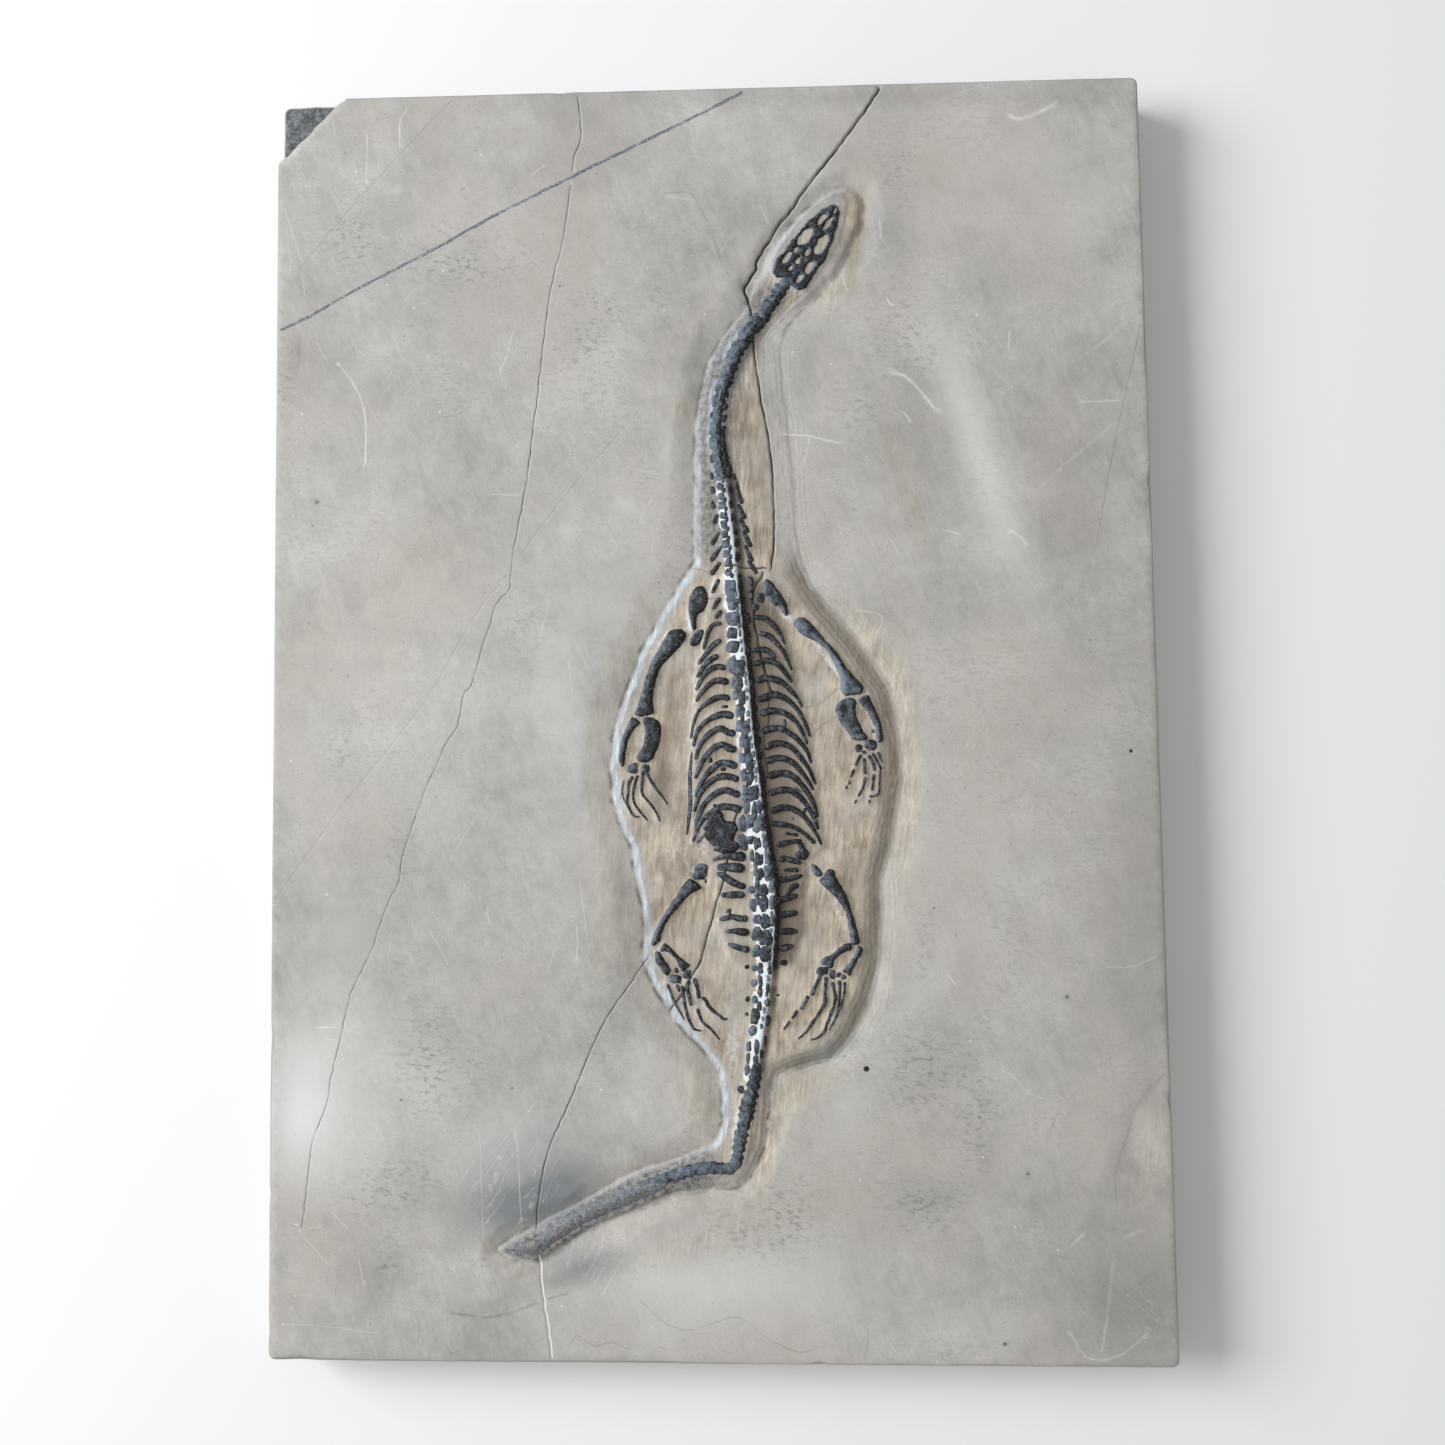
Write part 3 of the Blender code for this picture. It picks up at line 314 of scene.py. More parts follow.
# Brown spots: those along the right edges of bones are painted shade, the rest brown earth
EARTH_AND_SHADE_SPOTS = (
    ((640, 700), (9, 30), 0.25, 20), ((675, 720), (8, 60), 0.25, 8), ((664, 790), (12, 30), 0.35, 0),
    ((640, 835), (10, 24), 0.35, 0), ((800, 1062), (26, 12), 0.3, 0), ((855, 240), (8, 40), 0.5, 8),
    ((748, 440), (5, 60), 0.4, -6), ((764, 470), (7, 70), 0.3, -6), ((790, 700), (26, 110), 0.12, 0),
    ((660, 900), (16, 20), 0.25, 25), ((845, 880), (12, 26), 0.3, -15), ((620, 880), (5, 40), 0.3, 0),
    ((750, 590), (18, 30), 0.3, 0), ((706, 640), (12, 40), 0.2, 10), ((900, 480), (8, 80), 0.14, -18),
    ((664, 745), (5, 60), 0.4, 6), ((652, 690), (5, 26), 0.5, 22), ((690, 835), (8, 30), 0.3, 0),
    ((684, 900), (7, 24), 0.3, 30), ((735, 990), (26, 12), 0.12, 0),
    ((1127, 1135), (5, 40), 0.2, 8), ((1148, 1092), (5, 24), 0.16, 38), ((846, 760), (8, 50), 0.22, -10))
BLUE_SPOTS = (
    ((558, 1192), (44, 21), 1.05, -32), ((508, 1208), (46, 26), 0.8, -22),
    ((516, 1158), (66, 34), 0.42, -26),
    ((588, 1266), (46, 20), 0.62, -12), ((560, 1262), (22, 16), 0.2, 0), ((838, 1048), (34, 9), 0.5, -25),
    ((395, 1160), (40, 30), 0.12, 0), ((925, 1205), (40, 26), 0.3, 0), ((1100, 1290), (16, 44), 0.3, 0),
    ((300, 240), (14, 40), 0.2, 0), ((945, 330), (24, 60), 0.22, -14), ((1148, 1300), (30, 50), 0.22, 0))
TONE_SPOTS = (
    ((300, 1112), (36, 60), 0.7, 0), ((340, 1080), (60, 120), 0.36, 0), ((420, 680), (150, 160), 0.12, 0),
    ((968, 420), (20, 130), 0.45, -18), ((1000, 520), (30, 90), 0.22, -14),
    ((905, 470), (10, 90), -0.08, -18),
    ((1050, 190), (90, 60), 0.12, 0), ((560, 700), (36, 120), 0.26, 0), ((895, 230), (26, 60), -0.3, 0),
    ((700, 1280), (140, 44), 0.42, 0), ((1150, 900), (60, 300), -0.32, 0),
    ((1140, 1310), (80, 70), -0.4, 0),
    ((1060, 1200), (90, 60), -0.06, 0), ((380, 1270), (60, 40), -0.08, -10),
    ((300, 350), (20, 60), -0.06, 0),
    ((274, 600), (5, 500), -0.12, 0), ((480, 300), (60, 36), -0.08, -20), ((350, 960), (50, 60), 0.08, 0),
    ((505, 1150), (60, 36), 0.34, -24), ((540, 1285), (70, 8), -0.18, -22),
    ((1000, 860), (70, 120), 0.06, 0), ((860, 560), (60, 40), 0.08, 0),
    ((672, 460), (11, 90), 0.14, 0), ((806, 179), (4, 5), -0.28, 0),
    ((768, 239), (4, 5), -0.22, 0), ((741, 284), (5, 7), -0.42, 0),
    ((743, 304), (4, 8), -0.36, 0), ((680, 409), (6, 4), 0.4, -15), ((698, 396), (6, 11), -0.3, 10),
    ((684, 384), (3, 9), 0.25, 10), ((898, 380), (18, 90), -0.2, -22), ((360, 1215), (70, 26), -0.14, -10),
    ((462, 1215), (40, 30), -0.12, -20), ((930, 1190), (70, 20), -0.14, 0),
    ((1060, 620), (60, 100), -0.1, 0), ((850, 96), (240, 10), -0.16, 0), ((912, 760), (16, 150), 0.16, 0),
    ((1152, 1150), (17, 46), 0.4, 10), ((279, 1262), (8, 22), -0.3, 0), ((327, 1220), (4, 7), -0.3, 0),
    ((429, 1296), (9, 5), -0.3, 0), ((452, 1247), (18, 8), -0.22, -10), ((518, 1276), (22, 5), -0.3, -20),
    ((297, 355), (4, 18), -0.3, 0), ((568, 530), (7, 10), 0.3, 0), ((627, 505), (14, 5), 0.28, 35),
    ((1067, 997), (3, 3), -0.3, 0), ((1005, 1344), (3, 2), -0.4, 0), ((1028, 1174), (2, 3), -0.3, 0),
    ((317, 502), (4, 4), -0.3, 0), ((397, 190), (8, 4), 0.35, -10), ((1090, 200), (30, 40), 0.12, 0),
    ((640, 540), (30, 90), 0.14, 0), ((930, 980), (20, 40), 0.22, 20), ((850, 1110), (20, 40), 0.14, 30),
    ((640, 1090), (40, 50), 0.16, 30), ((600, 1352), (30, 5), 0.14, 0), ((812, 300), (14, 10), -0.12, 0),
    ((1060, 1180), (36, 18), 0.12, -20), ((960, 1330), (120, 20), 0.06, 0),
    ((720, 130), (120, 30), 0.06, 0),
    ((872, 400), (16, 70), -0.16, -20), ((690, 395), (4, 8), -0.2, 0),
    ((688, 413), (4, 6), -0.2, 0), ((1110, 1170), (7, 60), -0.12, 14))
# Where dark specks crowd together, given as the spots above
SPECK_SPOTS = (
    ((400, 1185), (46, 26), 1.0, -20), ((430, 1050), (30, 55), 0.9, 0), ((478, 1060), (16, 50), 0.6, 0),
    ((388, 1262), (14, 24), 1.0, 0), ((925, 1075), (40, 44), 1.0, 0), ((978, 1120), (20, 55), 0.8, 0),
    ((925, 1205), (36, 26), 1.0, 0), ((455, 262), (50, 26), 0.9, 0), ((350, 240), (30, 30), 0.7, 0),
    ((590, 330), (24, 40), 0.6, 0), ((450, 400), (24, 50), 0.5, 0), ((735, 1240), (40, 28), 0.9, 0),
    ((790, 1230), (26, 40), 0.7, 0), ((985, 470), (26, 60), 0.7, 0), ((920, 340), (24, 60), 0.6, 0),
    ((284, 380), (9, 40), 0.9, 0), ((600, 1050), (26, 40), 0.5, 0), ((1010, 930), (20, 30), 0.5, 0),
    ((530, 640), (26, 60), 0.5, 0), ((340, 760), (20, 30), 0.7, 0), ((405, 850), (18, 60), 0.6, 0),
    ((640, 470), (16, 60), 0.4, 0), ((690, 230), (30, 30), 0.5, 0), ((860, 420), (26, 40), 0.4, 0),
    ((1050, 1250), (40, 30), 0.4, 0), ((895, 160), (14, 30), 0.6, 0), ((660, 300), (20, 30), 0.5, 0),
    ((400, 960), (20, 40), 0.5, 0), ((925, 960), (8, 50), 0.7, 0), ((560, 1110), (14, 20), 0.4, 0))

# Scratches and flakes: half width in pixels, paleness, and the line
SCRATCHES = (
    (0.8, 0.7, ((367, 135), (366.5, 194), (369, 195))), (1.6, 0.5, ((406, 110), (400, 122), (399.5, 146))),
    (0.9, 1.0, ((340, 366), (352, 381), (363, 405), (366, 432), (365, 462))),
    (0.7, 0.5, ((314, 331), (320, 349), (327, 360))), (0.7, 0.7, ((512, 335), (506, 357), (499, 375))),
    (0.7, 0.5, ((306, 233), (323, 233))), (0.7, 0.45, ((282, 201), (298, 251), (305, 294))),
    (0.7, 0.5, ((286, 230), (291, 266))), (0.7, 0.5, ((334, 123), (334, 135))),
    (0.7, 0.6, ((491, 494), (525, 496))), (0.9, 0.5, ((532, 175), (545, 165))),
    (0.9, 1.0, ((318, 1027.5), (335, 1027))), (0.8, 0.8, ((327, 1039), (334, 1039.5))),
    (0.7, 0.6, ((430, 930), (448, 964))), (0.9, 0.7, ((487, 910), (489, 921))),
    (0.9, 0.4, ((557, 942), (549, 967))), (0.9, 0.6, ((577, 927), (577, 955))),
    (0.7, 0.5, ((580, 882), (587, 939))), (0.7, 0.7, ((293, 1224), (306, 1228), (321, 1227))),
    (0.7, 0.6, ((299, 1232), (312, 1246), (326, 1263))), (0.7, 0.5, ((332, 1213), (351, 1232))),
    (0.7, 0.6, ((359, 1260), (363, 1280))), (0.7, 0.4, ((284, 1324), (330, 1327), (377, 1333))),
    (0.7, 0.7, ((515, 1136), (518, 1155), (521, 1217))), (0.6, 0.5, ((480, 1139), (483, 1236))),
    (0.9, 0.8, ((269.5, 1013), (274, 1035), (271, 1056))),
    (3.5, 0.55, ((1010, 116), (1022, 119), (1052, 106))),
    (2.6, 0.6, ((897, 373), (910, 380), (935, 409))), (1.2, 0.7, ((904, 413), (909, 419))),
    (1.8, 0.5, ((1009, 332), (1009, 349))), (1.4, 0.5, ((1085, 401.7), (1117, 400.5))),
    (1.2, 0.7, ((887.5, 299), (892, 305))), (1.3, 0.5, ((880, 221), (881, 236))),
    (1.2, 0.7, ((946, 530), (959, 534))), (1.2, 0.8, ((1013, 532), (1019, 536), (1025, 543))),
    (0.7, 0.4, ((869, 536), (878, 557))), (0.7, 0.45, ((884, 551), (890, 539), (899, 554))),
    (0.8, 0.3, ((936, 104), (955, 95), (980, 86))), (2.8, 0.2, ((1074, 361), (1098, 346), (1126, 322))),
    (2.8, 0.18, ((1040, 487), (1080, 452), (1123, 416))), (0.7, 0.6, ((860, 610), (882, 617), (876, 636))),
    (0.7, 0.5, ((860, 611), (864, 623))), (0.8, 0.5, ((890, 686), (898, 669))),
    (0.8, 0.6, ((760, 205), (770, 227))), (1.0, 0.6, ((842, 273), (846, 288))),
    (1.5, 0.6, ((784, 434), (808, 436), (839, 443))), (1.0, 0.45, ((809, 440), (804, 464))),
    (0.8, 0.4, ((818, 396), (825, 385))), (1.0, 0.7, ((949, 976), (954, 983))),
    (0.8, 0.5, ((1107, 967), (1132, 966.7), (1154, 957.6))),
    (0.8, 0.5, ((1002, 1070), (1014, 1077), (1027, 1092), (1042, 1098))),
    (2.0, 0.4, ((1072, 1245), (1083, 1235))), (2.6, 0.3, ((1127, 1236), (1143, 1230))),
    (0.7, 0.5, ((889, 1342), (895, 1351))), (2.2, 0.25, ((1113, 1264), (1108, 1310), (1102, 1352))),
    (1.4, 0.4, ((1072, 1336), (1084, 1355), (1102, 1360), (1124, 1353), (1143, 1338))),
    (2.4, 0.25, ((670, 197), (690, 200), (703, 215), (716, 241))), (0.8, 0.4, ((722, 250), (734, 232))),
    (0.7, 0.3, ((1088, 833), (1118, 834))),
    (0.7, 0.35, ((450, 860), (486, 800))), (0.7, 0.3, ((560, 500), (590, 470))),
    (0.8, 0.4, ((568, 660), (572, 690))), (0.7, 0.4, ((540, 640), (549, 600))),
    (0.7, 0.4, ((1146, 1168), (1176, 1173))), (0.8, 0.3, ((640, 520), (652, 498))),
    (0.7, 0.4, ((610, 540), (618, 548), (606, 560))), (0.7, 0.3, ((574, 640), (590, 672))))
# Dark pits: the place and radius in pixels, the darkness, and the depth in mm
PITS = (
    ((866.5, 1069), 4.0, 2.0, 0.2), ((1131, 751), 3.0, 1.2, 0.1), ((546, 1350), 4.0, 1.4, 0.15),
    ((1005, 1344), 3.0, 0.8, 0.0), ((1067, 997), 3.4, 0.6, 0.0), ((317, 502), 4.0, 0.5, 0.0),
    ((1028, 1174), 2.8, 0.6, 0.0), ((980, 1118), 2.4, 0.6, 0.0), ((401, 1100), 2.6, 0.6, 0.0),
    ((512, 1088), 2.6, 0.5, 0.0), ((560, 286), 2.6, 0.5, 0.0), ((610, 309), 2.8, 0.5, 0.0),
    ((934, 908), 2.4, 0.6, 0.0), ((348, 676), 2.6, 0.4, 0.0), ((1090, 640), 2.4, 0.5, 0.0))
# Small pale flakes, as pixels
FLAKES = (
    (375.8, 1080.6), (291, 761), (326.5, 894.5), (356, 171.5), (481, 155), (387, 285), (384, 290),
    (414, 308), (418, 306), (443, 271), (446, 270), (302, 414), (440, 412), (994.5, 470), (976.5, 315),
    (906, 413), (970, 1041), (983, 1157), (1058, 1250), (1015, 1227), (562, 1306), (295, 1296),
    (291, 1308), (1120, 209), (664, 310), (705, 314), (793, 352), (831, 364), (601, 1090), (860, 1180))
# Fields of fine scratches: centre, reach, direction in degrees, count, length and paleness
SCRATCH_FIELDS = (
    ((520, 1180), (50, 40), 122, 26, 46, 0.4), ((600, 1262), (34, 18), 112, 14, 24, 0.4),
    ((1145, 1300), (24, 34), 48, 14, 26, 0.25), ((1080, 1010), (60, 50), 60, 12, 20, 0.2),
    ((640, 480), (44, 90), 118, 12, 30, 0.25), ((450, 560), (120, 200), 112, 26, 34, 0.2),
    ((1000, 380), (60, 160), 75, 14, 26, 0.18), ((380, 900), (80, 260), 98, 18, 30, 0.2),
    ((960, 680), (50, 90), 120, 12, 24, 0.22), ((960, 1250), (120, 70), 80, 14, 30, 0.16))

# The neck and the small bones beside it: pixel x and y, and half width
NECK = (
    (790, 278, 5), (783, 287, 6), (778, 295, 6), (772, 303, 6), (762, 318, 6.5), (753, 328, 7),
    (745.5, 340, 7), (737, 352, 6.6), (732, 365, 6.4), (727, 378, 6.2), (722, 392, 5.6),
    (719, 405, 5.2), (716.8, 420, 5.2), (716.4, 435, 5.2), (717.4, 450, 4.8), (720.5, 466, 4.2),
    (724, 480, 3.5))
NECK_PROCESSES = (
    ((735.5, 362, 1.2), (736.5, 371, 2)), ((731.5, 377, 1.2), (731.5, 385, 2)),
    ((727.5, 390, 1.2), (727, 398, 2)), ((725, 403, 1.2), (724.6, 411, 2)),
    ((723.4, 416, 1.2), (723.2, 423, 2)), ((723, 428, 1.2), (723.2, 436, 2)),
    ((723.6, 440, 1.2), (724.4, 448, 2.1)), ((725.5, 452, 1.3), (727.2, 460, 2.1)),
    ((729, 463, 1.6), (730.5, 473, 2.2)), ((733, 473, 1.5), (738, 490, 2)),
    ((737, 488, 1.5), (742, 504, 2)), ((738, 504, 1.5), (745, 519, 2)),
    ((740, 518, 1.5), (748, 533, 2.2)), ((743, 531, 1.5), (751, 547, 2.2)),
    ((745, 545, 1.5), (752, 562, 2.3)), ((748, 560, 1.5), (757, 574, 2)),
    ((711, 455, 1.4), (712.5, 463, 1.8)), ((711, 472, 1.4), (712.5, 480, 1.8)),
    ((712, 486, 1.4), (713.5, 494, 2)), ((712, 501, 1.5), (714, 509, 2.2)),
    ((717, 514, 1.5), (714, 524, 2.4)), ((719, 532, 1.5), (711.5, 545, 2.3)),
    ((722, 546, 1.5), (710.5, 561, 2.3)), ((720.5, 562, 1.5), (710.5, 575, 2.3)))
# The tail in two parts: pixel x and y, and half width
TAIL_BASE = ((757, 1062, 5), (755.5, 1075, 6), (752, 1090, 7), (748, 1105, 7.5), (745, 1120, 7),
             (741, 1135, 6.5), (738.5, 1150, 6.2), (736, 1162, 6), (730, 1168, 6),
             (719, 1168, 6), (708, 1167.5, 6), (690, 1171, 6), (670, 1176.5, 5.5), (652, 1182, 4.5),
             (640, 1186, 3))
TAIL_END = ((668, 1181, 3), (658, 1185, 6), (650, 1188, 7), (630, 1195, 8),
            (600, 1207, 8.5), (574, 1220, 8.5), (556, 1233, 8), (545, 1240, 7), (537, 1246, 8),
            (529, 1248, 7), (521, 1249, 3.5), (512, 1249.5, 2), (504, 1250, 0.8))
# The tail base's small bones: left, right, top and bottom in pixels, and the tone
TAIL_LUMPS = (
    (767.5, 772, 964.5, 975, 0.15), (765.5, 770, 982, 992.5, 0.15), (765.5, 770, 998, 1007, 0.1),
    (765.2, 770.2, 1014.5, 1026.5, 0.05), (763.3, 767.2, 1034, 1045, 0.05),
    (759.5, 764, 1049, 1058, 0.1), (776.4, 779.2, 993.6, 996.4, 0.1), (780, 787.5, 959.6, 965.5, 0.1),
    (751.5, 758.5, 964, 972, 0.6), (757.5, 763.5, 962, 974, 0.2), (758, 763, 974, 986, 0.2),
    (750.5, 758, 979, 987, 0.55), (744.6, 749.2, 964.3, 968.8, 0.3), (745, 749.8, 996.5, 1001.5, 0.2),
    (744.4, 748.4, 1012, 1016, 0.3), (757.5, 763, 986, 996, 0.15), (752, 758, 995, 1003.5, 0.35),
    (756.5, 762, 1001, 1011, 0.2), (750, 759.7, 1009.7, 1024, 0.15), (748, 757, 1024.6, 1035.5, 0.55),
    (746, 751.5, 1041, 1052, 0.7), (754, 759, 1040, 1054, 0.35), (746, 750, 1053, 1064, 0.5),
    (744.5, 750, 1064, 1075, 0.6), (752.5, 758.6, 1054, 1066, 0.25), (737.5, 744, 1086, 1094, 0.2))
# Small flecks of bone between the ribs: left, right, top and bottom in pixels, and the tone
FLECKS = (
    (720.7, 728.2, 705.2, 708.8, 0), (708.3, 712.7, 757.5, 763.5, 0.1), (720, 726, 766, 772, 0.25),
    (712.5, 716.5, 804, 808, 0.05), (782, 786.4, 719, 727.4, 0.3), (803, 806.5, 808, 812.5, 0.1),
    (790.4, 793.6, 817, 820, 0.1), (726, 732, 908, 914, 0.3), (704.5, 706.5, 878, 884, 0.2))
# Rib pieces that lie apart: pixel x and y, and half width
EXTRA_RIBS = (
    ((712, 829, 1), (704.5, 835, 1.6), (697.6, 843, 1.2)), ((793.9, 787, 1), (802.4, 792.6, 1)),
    ((692, 752, 1), (690, 774, 2), (690.3, 802, 2), (689.3, 815, 2), (687, 835, 1)),
    ((786, 893.5, 0.8), (789, 889.5, 1.4)))

# Ribs, from the backbone outwards: pixel x and y, and half width
LEFT_RIBS = (
    ((719, 579, 2), (712, 594, 1.5)),
    ((720, 598, 2), (712.5, 610, 1.5)),
    ((722, 611, 2), (715, 619, 1.5)),
    ((722, 624, 2), (714, 625, 2), (709, 631, 1.8), (706.5, 639, 1.6), (703.5, 650, 1.5)),
    ((721, 640, 2.2), (712, 647, 2.2), (704, 657, 2), (698, 665, 1.3)),
    ((719, 656, 2.4), (711, 660, 2.4), (703, 668, 2), (697, 678, 1.3)),
    ((726, 669, 2.6), (718, 667, 2.6), (709, 671, 2.4), (702, 679, 2), (696, 691, 1.4)),
    ((729, 683, 2.8), (720, 681, 2.8), (712, 683, 2.5), (702, 693, 2), (696, 702, 1.4)),
    ((730, 700, 3), (724, 697.5, 2.9), (715, 699, 2.4), (706, 704.5, 2), (699, 711, 1.6),
     (693.5, 724, 1.4), (691, 739, 1)),
    ((734, 717, 3), (724, 714.5, 3), (715, 717, 2.6), (706, 722, 2.2), (700, 728, 1.9),
     (696, 735, 1.7), (693.5, 747, 1.3)),
    ((736, 733.5, 2.8), (729, 733, 2.8), (721, 729, 2.8), (712, 732.5, 2.6), (704, 740, 2.2),
     (699, 749, 1.9), (695.5, 760, 1.4)),
    ((737, 749.5, 3), (731, 749, 3), (722, 745, 2.8), (713, 749, 2.6), (705, 758, 2.2),
     (699.5, 768, 1.9), (695.5, 779, 1.4)),
    ((737, 767.5, 3), (730, 764, 3), (721, 763, 2.8), (713, 768.5, 2.6), (705, 777, 2.2),
     (699.5, 787, 1.9), (695.5, 797, 1.4)),
    ((739, 780.5, 3), (732, 777.5, 3), (722, 776.5, 2.8), (712, 781, 2.6), (704, 788.5, 2.2),
     (698.5, 798, 1.9), (694.5, 812, 1.4)),
    ((740, 796, 3), (733, 792.5, 3), (724, 790.5, 2.8), (714, 795, 2.6), (705.5, 803, 2.2),
     (699.5, 814, 1.9), (695.5, 827, 1.4)),
    ((741, 811, 3), (733, 807.5, 3), (722, 807, 2.8), (714, 811, 2.6), (704, 819, 2),
     (698, 828, 1.8), (693, 842, 1.3)))
RIGHT_RIBS = (
    ((754, 618, 2), (765, 619, 2.4), (774, 626, 2.2), (781, 636, 1.8), (785, 645, 1.2)),
    ((759, 634, 2), (768, 636, 2.4), (776, 643, 2.2), (784, 653, 1.8), (792, 671, 1.2)),
    ((752, 652, 2), (760, 650, 2.4), (768, 651.5, 2.4), (776, 659, 1.6)),
    ((754, 666, 2.2), (761, 662, 2.6), (768, 661, 2.6), (778, 665, 2.4), (786, 674, 2),
     (792, 683, 1.3)),
    ((756, 683, 2.4), (763, 679, 2.8), (772, 679, 2.8), (782, 683, 2.4), (790, 690, 2),
     (797, 698, 1.6), (802.5, 707.5, 1.1)),
    ((757.5, 700, 3), (764, 698.5, 3), (773, 695, 3), (783, 697.5, 2.5), (791, 703, 2.1),
     (799, 712, 1.9), (806, 725, 1.6), (810, 737, 1.2)),
    ((760, 714.5, 3), (770, 711.5, 3), (780, 712, 2.6), (789, 716, 2.3), (797, 723.5, 2),
     (803, 733.5, 1.6), (807.5, 744.5, 1.1)),
    ((761.5, 732, 3), (769, 729.5, 3), (779, 728.5, 2.7), (788, 732.5, 2.4), (798, 740, 2),
     (807, 751.5, 1.7), (811.5, 763.5, 1.2)),
    ((764.5, 749, 3), (773, 744.5, 3), (782, 744, 2.7), (791, 747.5, 2.4), (800, 757, 2.1),
     (809, 769.5, 1.9), (816, 785, 1.3)),
    ((766, 762, 3), (775, 758.5, 3), (785, 759, 2.6), (794, 764, 2.3), (803, 774, 2),
     (810, 784, 1.6), (813.5, 790.5, 1.2)),
    ((767, 777, 3.4), (777, 774, 3), (787, 774, 2.8), (797, 780, 2.5), (807, 792, 2.2),
     (814, 804.5, 2), (817.5, 818, 1.3)),
    ((768, 793.5, 3.2), (778, 791, 2.9), (788, 790, 2.8), (798, 795.5, 2.5), (807, 805.5, 2.1),
     (814, 818, 1.9), (818.5, 830, 1.3)),
    ((770.5, 812, 2.8), (781, 808, 2.8), (791, 808.5, 2.6), (802, 814.5, 2.2), (811, 825.5, 1.8),
     (817.5, 836, 1.5), (821.5, 845, 1.3)),
    ((770.5, 823, 3), (781, 824.5, 2.4), (792, 826.5, 2), (804, 833.5, 1.8), (815, 843.5, 1.7)))
LEFT_LOWER_RIBS = (
    ((746, 856.5, 4.3), (738, 856.5, 4), (728, 856.2, 2.5), (720, 857.7, 2), (713, 860.5, 1.4)),
    ((745, 868.5, 4.2), (735, 867.5, 3.8), (725, 867, 3.2), (717, 867.5, 2.4)),
    ((746, 886.4, 2.8), (739.5, 885.2, 3), (731, 881, 3), (723, 875.5, 2.6), (717, 873, 1.8)),
    ((745, 894.8, 2.8), (737, 894.5, 2.8), (728, 895, 2.6), (721, 894.5, 1.6)),
    ((748, 918.3, 2.8), (740, 918.3, 2.8), (732, 916.5, 2.2), (726, 918, 2), (719.5, 919.5, 1.4)),
    ((749.5, 932.3, 3), (742, 931.7, 3), (733, 930.8, 2.2), (725, 931.7, 1.2)),
    ((749.5, 949.3, 2.8), (743, 948.6, 2.8), (735.5, 946.2, 2.2), (728, 943.6, 1.2)))
RIGHT_LOWER_RIBS = (
    ((776.5, 845.5, 2.8), (785.5, 843, 2.4), (794, 841.5, 2), (802, 840.3, 1.3)),
    ((779, 860.8, 2.6), (784, 858.3, 2.6), (792, 860.3, 2.4), (801.5, 863.3, 1.6)),
    ((783, 869.8, 1.2), (793, 869.8, 1.6), (798.5, 870, 2.6)),
    ((779, 880, 2.8), (787, 879, 2.4), (795, 877.3, 2), (803, 875, 1.4)),
    ((775, 902.2, 3.2), (782.5, 899.3, 3), (791, 897, 2.4), (798, 895, 1.5)),
    ((779, 915.2, 2.8), (787, 914, 2.8), (793, 913, 2.6), (798, 912.5, 1.8)),
    ((779, 931.7, 2.9), (787, 931, 2.8), (793, 931, 2.4), (798, 931.2, 1.6)),
    ((779.5, 949.2, 2.9), (786.5, 946.8, 2.6), (794, 945.6, 1.6)))
FORKED_RIB = ((786, 898, 1.6), (789.5, 891, 2.5), (794, 886, 3), (799, 885.5, 3.2))


def photo_to_slab():
    """The projective map from the photograph's pixels to metres on the slab's face."""
    rows = []
    values = []
    for (px, py), (x, y) in zip(PHOTO_CORNERS, SLAB_CORNERS):
        rows.append((px, py, 1, 0, 0, 0, -x * px, -x * py))
        rows.append((0, 0, 0, px, py, 1, -y * px, -y * py))
        values += [x, y]
    return np.append(np.linalg.solve(np.array(rows, float), np.array(values)), 1).reshape(3, 3)


PHOTO_MAP = photo_to_slab()
PHOTO_MAP_BACK = np.linalg.inv(PHOTO_MAP)
PIXEL = math.dist(*SLAB_CORNERS[:2]) / math.dist(*PHOTO_CORNERS[:2])


def project(matrix, x, y):
    u = matrix[0, 0] * x + matrix[0, 1] * y + matrix[0, 2]
    v = matrix[1, 0] * x + matrix[1, 1] * y + matrix[1, 2]
    w = matrix[2, 0] * x + matrix[2, 1] * y + matrix[2, 2]
    return u / w, v / w


def at(px, py):
    """Pixels as metres on the slab's face."""
    return project(PHOTO_MAP, px, py)


def back(x, y):
    """Metres on the slab's face as pixels."""
    return project(PHOTO_MAP_BACK, x, y)


def smooth(t):
    t = np.clip(t, 0, 1)
    return t * t * (3 - 2 * t)


def ramp_up(values, start, run):
    """From 0 to 1 as the values go from the start over the run."""
    return smooth((values - start) / run)


def ramp_down(values, start, run):
    """From 1 to 0 as the values go from the start over the run."""
    return 1 - ramp_up(values, start, run)


def noise(x, y, cell, seed, layers=1):
    """Smooth random values from -1 to 1, with cells of the given size, each layer half the last."""
    total = np.zeros(np.shape(x))
    strength = 1.0
    for layer in range(layers):
        grid = np.random.default_rng(seed + layer).uniform(-1, 1, (128, 128))
        u = np.asarray(x) / cell * 2 ** layer
        v = np.asarray(y) / cell * 2 ** layer
        i = np.floor(u).astype(int)
        j = np.floor(v).astype(int)
        s = smooth(u - i)
        t = smooth(v - j)
        near = grid[i % 128, j % 128] * (1 - s) + grid[(i + 1) % 128, j % 128] * s
        far = grid[i % 128, (j + 1) % 128] * (1 - s) + grid[(i + 1) % 128, (j + 1) % 128] * s
        total = total + strength * (near * (1 - t) + far * t)
        strength *= 0.5
    return total


